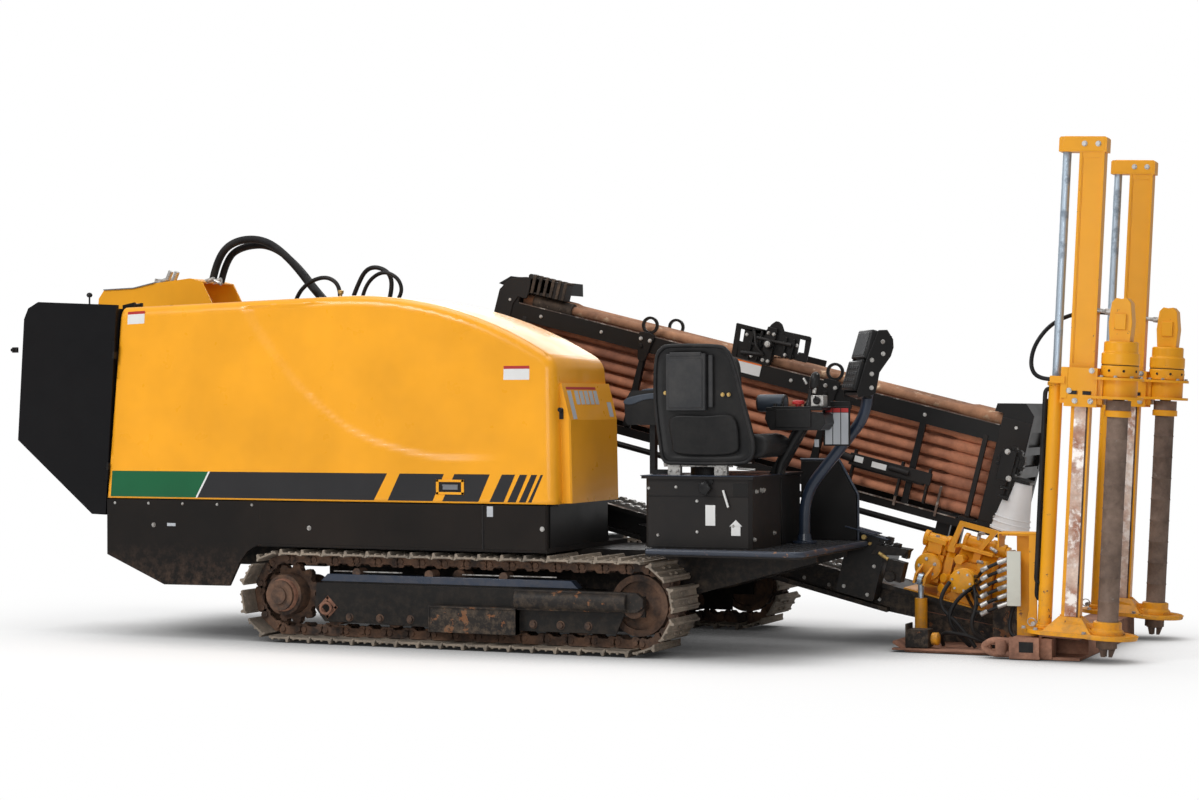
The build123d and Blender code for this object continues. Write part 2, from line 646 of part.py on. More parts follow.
def seat_base():
    """Sheet box with a lipped lid, the seat's post and its slide."""
    shell = block((1110, 1700), (-900, -430), (PLATFORM_Z, SEAT_BASE_TOP_Z))
    shell = chamfer(shell.edges().filter_by(Axis.Z), 18)
    lid = block((1095, 1715), (-915, -415), (SEAT_BASE_TOP_Z, SEAT_BASE_TOP_Z + 14))
    post = rod_z(SEAT_X, -640, (SEAT_BASE_TOP_Z + 13, SEAT_PAN_Z - 29), 90)
    slide = block((SEAT_X - 190, SEAT_X + 190), (SEAT_BACK_Y + 50, -440), (SEAT_PAN_Z - 30, SEAT_PAN_Z))
    return fused([shell, lid, post, slide])


# Seat back in side view: x from the seat's middle, height over the pan
SEAT_BACK_OUTLINE = [
    (-178, -14), (-262, 310), (-250, 530), (-190, 566), (-92, 585),
    (104, 541), (208, 308), (294, 60), (210, -12),
]


def seat_outline(inset):
    """The back's outline, drawn in towards its middle by the inset."""
    share = 1 - inset / 290
    middle = 280
    return [
        (SEAT_X + 65 + (x - 65) * share, SEAT_PAN_Z + middle + (z - middle) * share)
        for x, z in SEAT_BACK_OUTLINE
    ]


def seat_shell():
    """Moulded back and pan, with a raised rim round the back."""
    back = side_plate(seat_outline(0), (SEAT_BACK_Y, SEAT_BACK_Y + 44))
    back = fillet(back.edges().filter_by(Axis.Y), 45)
    dish = side_plate(seat_outline(36), (SEAT_BACK_Y + 22, SEAT_BACK_Y + 45))
    back -= fillet(dish.edges().filter_by(Axis.Y), 30)
    pan = side_plate(
        [(SEAT_X - 200, SEAT_PAN_Z), (SEAT_X + 230, SEAT_PAN_Z), (SEAT_X + 250, SEAT_PAN_Z + 22),
         (SEAT_X - 220, SEAT_PAN_Z + 22)],
        (SEAT_BACK_Y + 20, -380),
    )
    return back + pan


def seat_cushion():
    low = SEAT_PAN_Z + 22 + SEAT_GAP
    pad = block((SEAT_X - 215, SEAT_X + 245), (SEAT_BACK_Y + 145, -370), (low, low + 95))
    return fillet(pad.edges().filter_by(Axis.Z), 40)


def seat_back():
    pad = side_plate(seat_outline(44), (SEAT_BACK_Y + 22 + SEAT_GAP, SEAT_BACK_Y + 140))
    pad = fillet(pad.edges().filter_by(Axis.Y), 30)
    keep = block((900, 1900), (SEAT_BACK_Y, 0), (SEAT_PAN_Z + 22 + SEAT_GAP, 2000))
    return pad & keep


def right_armrest():
    """Padded arm on its bent post."""
    foot_z = SEAT_BASE_TOP_Z + 14 + SEAT_GAP
    post = block((1020, 1050), (-620, -580), (foot_z, 1215))
    foot = block((1020, 1125), (-620, -580), (foot_z, foot_z + 25))
    arm = side_plate([(892, 1225), (905, 1207), (1083, 1207), (1088, 1330), (1060, 1392), (925, 1392),
                      (885, 1330)], (-650, -430))
    arm = fillet(arm.edges().filter_by(Axis.Y), 12)
    return fused([post, foot, arm])


def left_armrest():
    """Control console on a raked strut beside the seat, with its padded roll."""
    foot_z = SEAT_BASE_TOP_Z + 14 + SEAT_GAP
    strut = side_plate([(1640, foot_z), (1705, foot_z), (1850, 1190), (1780, 1190)], (-470, -420))
    console = side_plate(
        [(1652, 1240), (1680, 1179), (1960, 1179), (1986, 1215), (1975, 1268), (1660, 1285)],
        (-560, -370),
    )
    console = fillet(console.edges().filter_by(Axis.Y), 14)
    roll = rod_x((1584, 1736), -465, 1322, 44)
    return fused([strut, console, roll])


def display():
    """Screen housing with its hood, on a bent tube."""
    foot = Vector(1800, -250, PLATFORM_Z)
    path = FilletPolyline(
        (foot.X, foot.Y, foot.Z), (1800, foot.Y, 930), (2080, foot.Y, 1215), (2105, foot.Y, 1390),
        radius=90,
    )
    tube = sweep(Plane(origin=foot, z_dir=(0, 0, 1)) * Circle(30), path)
    side_view = [
        (1938, 1364), (1940, 1400), (1978, 1685), (2128, 1704), (2271, 1670), (2282, 1601), (2171, 1363),
    ]
    head = side_plate(side_view, (-360, -140))
    head = fillet(head.edges().filter_by(Axis.Y), 14)
    screen = Pos(1935, -250, 1530) * Rot(0, -98, 0) * Box(230, 170, 30)
    head -= screen
    return fused([tube, head])


def foot_guard():
    """Upright plate at the deck's inner edge, cut back under the console."""
    outline = [(1628, 560), (1955, 560), (1956, 820), (1849, 1010), (1628, 1010)]
    low, high = PLATFORM_LEFT_Y + SEAT_GAP, PLATFORM_LEFT_Y + 12
    plate = side_plate(outline, (low, high))
    return plate - side_plate([(1690, 640), (1880, 640), (1880, 800), (1810, 930), (1690, 930)],
                              (low - 1, high + 1))


# Thrust frame, drawn in its own frame

FLANGE_RIGHT_Y = DRILL_Y - RACK_HALF_WIDTH - FLANGE_WIDTH
FLANGE_LEFT_Y = DRILL_Y + RACK_HALF_WIDTH + FLANGE_WIDTH
WEB = 16.0


def rack_frame():
    """Box beam with flanges that the carriage runs on, tapering at the front, and pivot lugs."""
    low, high = DRILL_Y - RACK_HALF_WIDTH, DRILL_Y + RACK_HALF_WIDTH
    outline = [
        (RACK_REAR, -RACK_DEPTH), (LOWER_FLANGE_FRONT,
                                   -RACK_DEPTH), (RACK_FRONT, -105), (RACK_FRONT, 0), (RACK_REAR, 0),
    ]
    beam = side_plate(outline, (low, high))
    rear, front = RACK_REAR + 60, LOWER_FLANGE_FRONT - 50
    pocket = [(rear, -RACK_DEPTH - 1), (front, -RACK_DEPTH - 1), (front, -FLANGE_THICKNESS),
              (rear, -FLANGE_THICKNESS)]
    beam -= side_plate(pocket, (low + WEB, high - WEB))
    flanges = []
    for inner, outer in ((low + 1, FLANGE_RIGHT_Y), (high - 1, FLANGE_LEFT_Y)):
        for w, end in ((-FLANGE_THICKNESS, RACK_FRONT), (-RACK_DEPTH, LOWER_FLANGE_FRONT)):
            flanges.append(block((RACK_REAR, end), sorted((inner, outer)), (w, w + FLANGE_THICKNESS)))
    lug_u, lug_w = rack_point(PIVOT_X, PIVOT_Z)
    lugs = []
    for y in (DRILL_Y - 120, DRILL_Y + 120):
        lug = side_plate(
            [(lug_u - 110, -RACK_DEPTH + 1), (lug_u + 110, -RACK_DEPTH + 1), (lug_u, lug_w - 60)], (y - 29,
                                                                                                    y + 29),
        )
        lug += rod_y(lug_u, (y - 29, y + 29), lug_w, 55)
        lugs.append(lug - rod_y(lug_u, (y - 30, y + 30), lug_w, PIVOT_RADIUS + ROD_BORE_GAP))
    return on_rack(fused([beam, *flanges, *lugs]))


def rack_point(x, z):
    """Where a point of the machine's side view lies in the frame's own side view."""
    turn = math.radians(SLOPE)
    rise = z - RACK_ORIGIN_Z
    return x * math.cos(turn) - rise * math.sin(turn), x * math.sin(turn) + rise * math.cos(turn)


def gear_racks():
    """Toothed bars along both edges of the frame."""
    pitch, tooth = 60.0, 9.0
    rear, front = RACK_REAR + 20, SHUTTLE_REAR + 350
    outline = [(rear, 0), (rear, GEAR_RACK_HEIGHT)]
    for place in range(int((front - rear) / pitch)):
        start = rear + pitch * (place + 0.2)
        outline += [
            (start, GEAR_RACK_HEIGHT), (start + 0.15 * pitch, GEAR_RACK_HEIGHT - tooth),
            (start + 0.45 * pitch, GEAR_RACK_HEIGHT - tooth), (start + 0.6 * pitch, GEAR_RACK_HEIGHT),
        ]
    outline += [(front, GEAR_RACK_HEIGHT), (front, 0)]
    bars = [side_plate(outline, (y - 20, y + 20)) for y in (DRILL_Y - GEAR_RACK_Y, DRILL_Y + GEAR_RACK_Y)]
    return on_rack(fused_loose(bars))


ROD_PITCH = 2 * TOOL_JOINT_RADIUS - 0.4
ROD_FRONT = ROD_REAR + ROD_LENGTH
FLOOR_THICKNESS = 20.0
ROD_FLOOR = BOX_BOTTOM + FLOOR_THICKNESS
ROD_TOP = ROD_FLOOR + SEAT_GAP + 2 * TOOL_JOINT_RADIUS + (ROD_ROWS - 1) * ROD_PITCH
RAIL_TOP = ROD_TOP - RAIL_DROP
BOX_WIDTH = ROD_COLUMNS * ROD_COLUMN_PITCH + 2 * RAIL_WIDTH
BOX_LEFT_Y = BOX_RIGHT_Y + BOX_WIDTH
BOX_REAR = ROD_REAR - ROD_END_GAP - REAR_END_THICKNESS
BOX_FRONT = ROD_FRONT + ROD_END_GAP + FRONT_END_THICKNESS
STANDS = (ROD_REAR + STAND_INSET, ROD_FRONT - STAND_INSET)
RING_PLACES = (ROD_REAR + RING_REAR_INSET, ROD_FRONT - RING_FRONT_INSET)


def drill_rods():
    """Stacked drill rods. Each column's tool joints touch, so that a column is one solid."""
    columns = []
    for column in range(ROD_COLUMNS):
        y = BOX_RIGHT_Y + RAIL_WIDTH + ROD_COLUMN_PITCH * (column + 0.5)
        outer = column in (0, ROD_COLUMNS - 1)
        rods = []
        for row in range(ROD_ROWS):
            w = ROD_FLOOR + SEAT_GAP + TOOL_JOINT_RADIUS + ROD_PITCH * row
            if outer or row == ROD_ROWS - 1:
                rods.append(rod_x((ROD_REAR + 1, ROD_FRONT - 1), y, w, ROD_RADIUS))
            rods.append(rod_x((ROD_REAR, ROD_REAR + TOOL_JOINT_LENGTH), y, w, TOOL_JOINT_RADIUS))
            rods.append(rod_x((ROD_FRONT - TOOL_JOINT_LENGTH, ROD_FRONT), y, w, TOOL_JOINT_RADIUS))
        if not outer:
            inner = (ROD_FLOOR + SEAT_GAP, ROD_TOP - 2 * TOOL_JOINT_RADIUS)
            rods.append(block((ROD_REAR, ROD_FRONT), (y - ROD_RADIUS, y + ROD_RADIUS), inner))
        columns.append(fused(rods))
    return on_rack(fused_loose(columns))


def rod_box():
    """Open-sided rod box: ribbed ends, rails along both sides, posts, floor bars and its stands."""
    pieces = []
    rear_end = side_plate(
        [(BOX_REAR, BOX_BOTTOM), (BOX_REAR, ROD_TOP + 20), (BOX_REAR - 40, ROD_TOP + 24),
         (BOX_REAR + 30, ROD_TOP + 84),
         (ROD_REAR + 190, ROD_TOP + 116), (ROD_REAR + 210, ROD_TOP + 42), (ROD_REAR - ROD_END_GAP,
                                                                           ROD_TOP + 8),
         (ROD_REAR - ROD_END_GAP, BOX_BOTTOM)],
        (BOX_RIGHT_Y, BOX_LEFT_Y),
    )
    inner = ROD_FRONT + ROD_END_GAP
    front_end = side_plate(
        [(inner, BOX_BOTTOM), (inner, ROD_TOP + 6), (inner - 50, ROD_TOP + 8), (inner - 46, ROD_TOP + 52),
         (BOX_FRONT - 60, ROD_TOP + 88), (BOX_FRONT, ROD_TOP + 30), (BOX_FRONT, BOX_BOTTOM)],
        (BOX_RIGHT_Y, BOX_LEFT_Y),
    )
    for rib in range(4):
        w = BOX_BOTTOM + 90 + 130 * rib
        front_end -= block((BOX_FRONT - 26, BOX_FRONT + 1), (BOX_RIGHT_Y + 40, BOX_LEFT_Y - 40),
                           (w, w + 84))
        rear_end -= block((BOX_REAR - 1, BOX_REAR + 26), (BOX_RIGHT_Y + 40, BOX_LEFT_Y - 40), (w, w + 84))
    pieces += [rear_end, front_end]
    posts = (*RING_PLACES, STANDS[1] - 240)
    for y in ((BOX_RIGHT_Y, BOX_RIGHT_Y + RAIL_WIDTH - 6), (BOX_LEFT_Y - RAIL_WIDTH + 6, BOX_LEFT_Y)):
        for w in ((RAIL_TOP - RAIL_HEIGHT, RAIL_TOP), (BOX_BOTTOM - 46, BOX_BOTTOM + 4)):
            pieces.append(block((BOX_REAR + 2, BOX_FRONT - 2), y, w))
        for x in posts:
            middle = (y[0] + y[1]) / 2
            pieces.append(block((x - 18, x + 18), (middle - 10, middle + 10), (BOX_BOTTOM, RAIL_TOP - 1)))
    for x in (ROD_REAR + 60, *STANDS, (ROD_REAR + ROD_LENGTH / 2), ROD_FRONT - 60):
        pieces.append(block((x - 45, x + 45), (BOX_RIGHT_Y + 2, BOX_LEFT_Y - 2),
                            (BOX_BOTTOM - 20, ROD_FLOOR)))
    side = DRILL_Y + RACK_HALF_WIDTH + SEAT_GAP
    for x in STANDS:
        arm = side_plate([(x - 60, -120), (x + 60, -120), (x + 44, -64), (x - 44, -64)],
                         (side, BOX_LEFT_Y - 60))
        near = block((x - 40, x + 40), (SHUTTLE_RIGHT_Y + 5, SHUTTLE_RIGHT_Y + 35), (-65, BOX_BOTTOM - 19))
        far = block((x - 40, x + 40), (BOX_LEFT_Y - 100, BOX_LEFT_Y - 60), (-120, BOX_BOTTOM - 19))
        pieces += [arm, near, far]
    pipe_w = BOX_BOTTOM - 110
    pieces.append(rod_x((STANDS[0] + 30, STANDS[1] - 30), SHUTTLE_RIGHT_Y + 20, pipe_w, 18))
    return on_rack(fused(pieces))


def lifting_rings():
    """Round eyes on plates that clasp the top rails."""
    rings = []
    right = (BOX_RIGHT_Y + 4, BOX_RIGHT_Y + RAIL_WIDTH - 12)
    left = (BOX_LEFT_Y - RAIL_WIDTH + 12, BOX_LEFT_Y - 4)
    for u in RING_PLACES:
        for y in (right, left):
            w = RAIL_TOP + RING_RADIUS + 8
            eye = rod_y(u, (y[0] + 1, y[1] - 1), w, RING_RADIUS) - rod_y(u, y, w, RING_RADIUS - 16)
            foot = side_plate([(u - 60, RAIL_TOP), (u + 60, RAIL_TOP), (u + 30, RAIL_TOP + 14),
                               (u - 30, RAIL_TOP + 14)], y)
            rings.append(foot + eye)
    return on_rack(fused_loose(rings))


def rod_clamp():
    """Slotted hold-down bracket over the middle of the rod box."""
    y = (BOX_LEFT_Y - 26, BOX_LEFT_Y - 12)
    middle = (RING_PLACES[0] + RING_PLACES[1]) / 2 + 170
    outline = [
        (middle - 224, RAIL_TOP), (middle + 224, RAIL_TOP), (middle + 214, ROD_TOP + 96),
        (middle + 60, ROD_TOP + 140), (middle + 40, ROD_TOP + 190), (middle - 30, ROD_TOP + 190),
        (middle - 56, ROD_TOP + 140), (middle - 200, ROD_TOP + 100),
    ]
    plate = fillet(side_plate(outline, y).edges().filter_by(Axis.Y), 9)
    for u in (middle - 150, middle - 60, middle + 50, middle + 130):
        plate -= block((u, u + 26), (y[0] - 1, y[1] + 1), (ROD_TOP + 20, ROD_TOP + 86))
    bridge = block((middle - 30, middle + 30), (BOX_RIGHT_Y + 6, y[1] - 1), (ROD_TOP + 6, ROD_TOP + 30))
    ear = block((middle - 30, middle + 30), (BOX_RIGHT_Y + 5, BOX_RIGHT_Y + 23), (RAIL_TOP, ROD_TOP + 30))
    return on_rack(fused([plate, bridge, ear]))


GUIDE_TOP = SHUTTLE_ARM_W - SEAT_GAP


def shuttle_guide():
    """Fixed slideway under the rod box, carried from the thrust frame's side."""
    side = DRILL_Y + RACK_HALF_WIDTH + SEAT_GAP
    arm = block((SHUTTLE_REAR + 70, SHUTTLE_FRONT - 70), (side, SHUTTLE_LEFT_Y), (-120, -64))
    rear_wall = block((SHUTTLE_REAR + 10, SHUTTLE_REAR + 42), (SHUTTLE_RIGHT_Y, SHUTTLE_LEFT_Y),
                      (GUIDE_TOP - 46, GUIDE_TOP))
    front_wall = block((SHUTTLE_FRONT - 42, SHUTTLE_FRONT - 10), (SHUTTLE_RIGHT_Y, SHUTTLE_LEFT_Y),
                       (GUIDE_TOP - 46, GUIDE_TOP))
    floor = block((SHUTTLE_REAR + 10, SHUTTLE_FRONT - 10), (SHUTTLE_RIGHT_Y, SHUTTLE_LEFT_Y),
                  (GUIDE_TOP - 60, GUIDE_TOP - 45))
    risers = []
    for y in ((SHUTTLE_RIGHT_Y, SHUTTLE_RIGHT_Y + 40), (SHUTTLE_LEFT_Y - 40, SHUTTLE_LEFT_Y)):
        risers.append(block((SHUTTLE_REAR + 71, SHUTTLE_FRONT - 71), y, (-119, GUIDE_TOP - 59)))
    return on_rack(fused([arm, floor, rear_wall, front_wall, *risers]))


def shuttle():
    """Sliding arm with the cup that carries one rod from the box to the drilling axis."""
    low, high = SHUTTLE_RIGHT_Y, SHUTTLE_LEFT_Y
    plate = block((SHUTTLE_REAR, SHUTTLE_FRONT), (low, high), (SHUTTLE_ARM_W, SHUTTLE_ARM_W + 18))
    cup_y = BOX_RIGHT_Y + RAIL_WIDTH + ROD_COLUMN_PITCH * 0.5
    bore = TOOL_JOINT_RADIUS + 2
    cup = block((SHUTTLE_REAR + 40, SHUTTLE_FRONT - 40), (low, cup_y + 60),
                (SHUTTLE_ARM_W + 17, DRILL_H + 20))
    cup = chamfer(cup.edges().filter_by(Axis.X).group_by(Axis.Z)[-1], 12)
    cup -= rod_x((SHUTTLE_REAR, SHUTTLE_FRONT), cup_y, DRILL_H, bore)
    cup -= block((SHUTTLE_REAR, SHUTTLE_FRONT), (cup_y - bore, cup_y + bore), (DRILL_H, DRILL_H + 30))
    return on_rack(plate + cup)


# Top edge of the carriage's side plates: distance along the frame from the rear end, height
CARRIAGE_PROFILE = [(-40, 364), (-14, 424), (208, 486), (350, 552), (600, 640), (690, 640), (830, 490),
                    (1290, 470), (1520, 424)]


def carriage():
    """Sled with two side plates, sloping covers, keepers under the flanges and the rotation gearbox."""
    low, high = DRILL_Y - CARRIAGE_HALF_WIDTH, DRILL_Y + CARRIAGE_HALF_WIDTH
    pieces = [block((CARRIAGE_REAR, CARRIAGE_FRONT), (low, high), (28, 66))]
    keeper_gap = 5.0
    for flange, inner, way in ((FLANGE_RIGHT_Y, low, 1), (FLANGE_LEFT_Y, high, -1)):
        outer = flange - way * (keeper_gap + 24)
        skirt = sorted((outer, inner + way))
        pieces.append(block((CARRIAGE_REAR, CARRIAGE_FRONT), sorted((outer, flange - way * keeper_gap)),
                            (-40, 66)))
        pieces.append(block((CARRIAGE_REAR, CARRIAGE_FRONT), skirt, (28, 66)))
        pieces.append(block((CARRIAGE_REAR, CARRIAGE_FRONT), sorted((outer, flange + way * 22)),
                            (-40, -30)))
        for u in (CARRIAGE_REAR, CARRIAGE_FRONT - 300):
            pad = sorted((flange + way * 4, flange + way * 44))
            pieces.append(block((u, u + 300), pad, (SEAT_GAP, 29)))
    outline = [(CARRIAGE_REAR, 60), *[(CARRIAGE_REAR + u, w) for u, w in CARRIAGE_PROFILE],
               (CARRIAGE_FRONT, 424), (CARRIAGE_FRONT, 60)]
    window = [(CARRIAGE_REAR + u, w) for u,
              w in ((320, 150), (380, 400), (640, 440), (1060, 400), (1140, 150))]
    for y in ((PLATE_RIGHT_Y, PLATE_RIGHT_Y + 12), (PLATE_LEFT_Y, PLATE_LEFT_Y + 12)):
        plate = side_plate(outline, y)
        hole = side_plate(window, (y[0] - 1, y[1] + 1))
        pieces.append(plate - fillet(hole.edges().filter_by(Axis.Y), 40))
    across = (PLATE_RIGHT_Y, PLATE_LEFT_Y + 12)
    for start, end in ((0, 1), (3, 4), (4, 5)):
        pieces.append(cover_strip(CARRIAGE_PROFILE[start], CARRIAGE_PROFILE[end], across))
    pieces.append(block((CARRIAGE_REAR, CARRIAGE_REAR + 12), across, (60, 364)))
    gearbox = block((GEARBOX_REAR, CARRIAGE_FRONT), (DRILL_Y - 150, DRILL_Y + 150), (65, 420))
    gearbox = chamfer(gearbox.edges().filter_by(Axis.X), 30)
    gearbox -= rod_x((CARRIAGE_FRONT - 80, CARRIAGE_FRONT + 1), DRILL_Y, DRILL_H,
                     NOSE_RADIUS + ROD_BORE_GAP)
    pieces.append(gearbox)
    for y in (DRILL_Y - 72, DRILL_Y + 72):
        pieces.append(rod_x((GEARBOX_REAR - 210, GEARBOX_REAR + 1), y, 300, 56))
        pieces.append(block((GEARBOX_REAR - 250, GEARBOX_REAR - 205), (y - 44, y + 44), (256, 344)))
    for y in (DRILL_Y - GEAR_RACK_Y, DRILL_Y + GEAR_RACK_Y):
        pieces.append(rod_z(CARRIAGE_REAR + 900, y, (65, 250), 62))
        pieces.append(rod_z(CARRIAGE_REAR + 900, y, (249, 390), 44))
    return on_rack(fused(pieces))


def cover_strip(start, end, y):
    """Sheet cover between two points of the carriage's profile."""
    thick = 8.0
    points = [(CARRIAGE_REAR + u, w) for u, w in (start, end)]
    return side_plate([*points, (points[1][0], points[1][1] - thick), (points[0][0], points[0][1] - thick)],
                      y)


def carriage_grate():
    """Perforated step over the carriage's rear end."""
    (u0, w0), (u1, w1) = CARRIAGE_PROFILE[1], CARRIAGE_PROFILE[3]
    rise = [(CARRIAGE_REAR + u0, w0), (CARRIAGE_REAR + CARRIAGE_PROFILE[2][0], CARRIAGE_PROFILE[2][1]),
            (CARRIAGE_REAR + u1, w1)]
    thick = 6.0
    top = [(u, w + SEAT_GAP + thick) for u, w in rise]
    bottom = [(u, w + SEAT_GAP) for u, w in reversed(rise)]
    return on_rack(side_plate([*top, *bottom], (PLATE_RIGHT_Y - 10, PLATE_LEFT_Y + 22)))


def spindle():
    """Chuck and threaded nose, with the shaft that runs into the gearbox."""
    start = CARRIAGE_FRONT + 6
    shaft = rod_x((CARRIAGE_FRONT - 76, start + 1), DRILL_Y, DRILL_H, NOSE_RADIUS)
    body = rod_x((start, start + CHUCK_LENGTH), DRILL_Y, DRILL_H, CHUCK_RADIUS)
    collar = rod_x((start + 60, start + 110), DRILL_Y, DRILL_H, CHUCK_RADIUS + 14)
    nose = rod_x((start + CHUCK_LENGTH - 1, start + CHUCK_LENGTH + NOSE_LENGTH), DRILL_Y, DRILL_H,
                 NOSE_RADIUS)
    return on_rack(fused([shaft, body, collar, nose]))


HOLDING_MIDDLE = (HOLDING[0] + HOLDING[1]) / 2
BREAKOUT_MIDDLE = (BREAKOUT[0] + BREAKOUT[1]) / 2


def jack(u, y, w, radius):
    """Fat clamp cylinder across the frame, with the bolted ring near its outer end."""
    near, far = y
    body = rod_y(u, (near + 14, far), w, radius - 8)
    cap = rod_y(u, (near, near + 34), w, radius)
    ring = rod_y(u, (near + 52, near + 80), w, radius)
    return fused([body, cap, ring])


def front_vise():
    """Holding vise, the bearing plate behind it, the bed under both and the tubular guard."""
    low, high = DRILL_Y - 150, DRILL_Y + 150
    bed = block((BREAKOUT[0] - 30, HOLDING[1] + 30), (low - 40, high + 40), (SEAT_GAP, 8))
    plate = block(BEARING, (low, high), (7, 292))
    plate = chamfer(plate.edges().filter_by(Axis.X).group_by(Axis.Z)[-1], 60)
    plate -= rod_x((BEARING[0] - 1, BEARING[1] + 1), DRILL_Y, DRILL_H, BEARING_BORE)
    body = block(HOLDING, (low, high), (7, 300))
    body = chamfer(body.edges().filter_by(Axis.X).group_by(Axis.Z)[-1], 50)
    tie = block((BEARING[1] - 1, HOLDING[0] + 1), (low + 10, high - 10), (7, 40))
    whole = fused([
        bed, plate, body, tie,
        jack(HOLDING_MIDDLE, (46, low + 1), DRILL_H, 66),
        rod_y(HOLDING_MIDDLE, (high - 1, high + 56), DRILL_H, 58),
        block((HOLDING[0] + 20, HOLDING[1] - 20), (low - 46, low + 1), (60, DRILL_H + 84)),
        rod_x((HOLDING[0] + 30, HOLDING[1] + 50), low + 60, 330, 33),
        block((HOLDING[0] + 60, HOLDING[0] + 120), (low + 24, low + 96), (290, 330)),
    ])
    whole -= rod_x((HOLDING[0] - 1, HOLDING[1] + 1), DRILL_Y, DRILL_H, VISE_BORE)
    hoop = [(BEARING[0] + 2, 290), (BEARING[0] + 30, 440), (HOLDING[1] - 20, 440), (HOLDING[1] - 90, 300)]
    bar = side_plate(hoop, (low - 14, low + 10))
    inner = [(BEARING[0] + 32, 289), (BEARING[0] + 52, 414), (HOLDING[1] - 62, 414),
             (HOLDING[1] - 118, 299)]
    bar -= side_plate(inner, (low - 15, low + 11))
    bar = fused([bar, block((BEARING[0] + 1, BEARING[1] - 1), (low - 14, low + 90), (262, 292)),
                 block((HOLDING[1] - 124, HOLDING[1] - 84), (low - 14, low + 40), (240, 306))])
    return on_rack(whole + bar)


def rear_vise():
    """Break-out vise, which turns about the drilling axis in the bearing plate."""
    drum = rod_x(BREAKOUT, DRILL_Y, DRILL_H, 112)
    frame = block((BREAKOUT[0] + 16, BREAKOUT[1] - 8), (DRILL_Y - 134, DRILL_Y + 134),
                  (DRILL_H - 76, DRILL_H + 76))
    head = block((BREAKOUT[0] + 24, BREAKOUT[1] - 16), (DRILL_Y - 90, DRILL_Y + 60),
                 (DRILL_H + 70, DRILL_H + 138))
    hub = rod_x((BREAKOUT[1] - 1, BEARING[1]), DRILL_Y, DRILL_H, BEARING_BORE - ROD_BORE_GAP)
    cylinder = rod_x((BREAKOUT[0] - 14, BREAKOUT[1] - 4), DRILL_Y - 60, DRILL_H + 140, 33)
    disc = rod_y(BREAKOUT_MIDDLE, (DRILL_Y - 178, DRILL_Y - 133), DRILL_H, 72)
    left_jack = rod_y(BREAKOUT_MIDDLE, (DRILL_Y + 133, DRILL_Y + 178), DRILL_H, 58)
    arms = []
    for u in (TORQUE_PLATES[0], TORQUE_PLATES[1]):
        outline = Polyline(
            (u, DRILL_Y - 130, DRILL_H + 40), (u, DRILL_Y - 130, DRILL_H - 70),
            (u, TORQUE_ARM_Y - 30, TORQUE_PIN_W - 26), (u, TORQUE_ARM_Y - 30,
                                                        TORQUE_PIN_W + 26), close=True,
        )
        arms.append(extrude(make_face(outline), 12, dir=(1, 0, 0)))
    pin = rod_x((TORQUE_PLATES[0] + 2, TORQUE_PLATES[1] + 10), TORQUE_ARM_Y, TORQUE_PIN_W,
                TORQUE_PIN_RADIUS)
    whole = fused([drum, frame, head, hub, cylinder, disc, left_jack, *arms, pin])
    return on_rack(whole - rod_x((BREAKOUT[0] - 1, BEARING[1] + 1), DRILL_Y, DRILL_H, VISE_BORE))


TORQUE_PLATES = (BREAKOUT_MIDDLE - 34, BREAKOUT_MIDDLE + 22)


def rack_world(u, w):
    """Machine coordinates of a point in the thrust frame's side view."""
    turn = math.radians(SLOPE)
    return (
        u * math.cos(turn) + w * math.sin(turn),
        RACK_ORIGIN_Z - u * math.sin(turn) + w * math.cos(turn),
    )


TORQUE_X, TORQUE_EYE_Z = rack_world(BREAKOUT_MIDDLE, TORQUE_PIN_W)
TORQUE_EYE_HOLE = TORQUE_PIN_RADIUS + 8
TORQUE_BASE_PIN = 12.0
TORQUE_EYE_SET = 4.0            # the eye is set outwards by half the pin's drift


def torque_barrel():
    """Upright barrel of the break-out cylinder, on its pin at the ground weldment."""
    eye = rod_y(TORQUE_X, (TORQUE_ARM_Y - 16, TORQUE_ARM_Y + 16), TORQUE_BASE_Z, 24)
    tube = rod_z(TORQUE_X, TORQUE_ARM_Y, (TORQUE_BASE_Z, TORQUE_GLAND_Z), 34)
    tube -= rod_z(TORQUE_X, TORQUE_ARM_Y, (TORQUE_BASE_Z + 40, TORQUE_GLAND_Z + 1), 15 + ROD_BORE_GAP)
    tube -= rod_y(TORQUE_X, (TORQUE_ARM_Y - 50, TORQUE_ARM_Y - 16), TORQUE_BASE_Z, 46)
    tube -= rod_y(TORQUE_X, (TORQUE_ARM_Y + 16, TORQUE_ARM_Y + 50), TORQUE_BASE_Z, 46)
    whole = tube + eye
    return whole - rod_y(TORQUE_X, (TORQUE_ARM_Y - 17, TORQUE_ARM_Y + 17), TORQUE_BASE_Z,
                         TORQUE_BASE_PIN + ROD_BORE_GAP)


def torque_rod():
    """Rod of the break-out cylinder, with a wide eye round the vise's pin."""
    rod = rod_z(TORQUE_X, TORQUE_ARM_Y, (TORQUE_BASE_Z + 46, TORQUE_EYE_Z - TORQUE_EYE_HOLE - 4), 15)
    eye = rod_x((-12, 12), 0, 0, TORQUE_EYE_HOLE + 12) - rod_x((-13, 13), 0, 0, TORQUE_EYE_HOLE)
    return rod + Pos(TORQUE_X, TORQUE_ARM_Y - TORQUE_EYE_SET, TORQUE_EYE_Z) * Rot(0, SLOPE, 0) * eye


def lube_box():
    """Oiler housing on the thrust frame's right side."""
    y = (PLATFORM_LEFT_Y + 20, FLANGE_RIGHT_Y - SEAT_GAP)
    outline = [(1899, -100), (2120, -100), (2120, 120), (2070, 238), (1899, 238)]
    body = side_plate(outline, y)
    body = fillet(body.edges().filter_by(Axis.Y), 16)
    shelf = block((1870, 2130), (PLATFORM_LEFT_Y + 14, FLANGE_RIGHT_Y - SEAT_GAP), (237, 249))
    return on_rack(body + shelf)


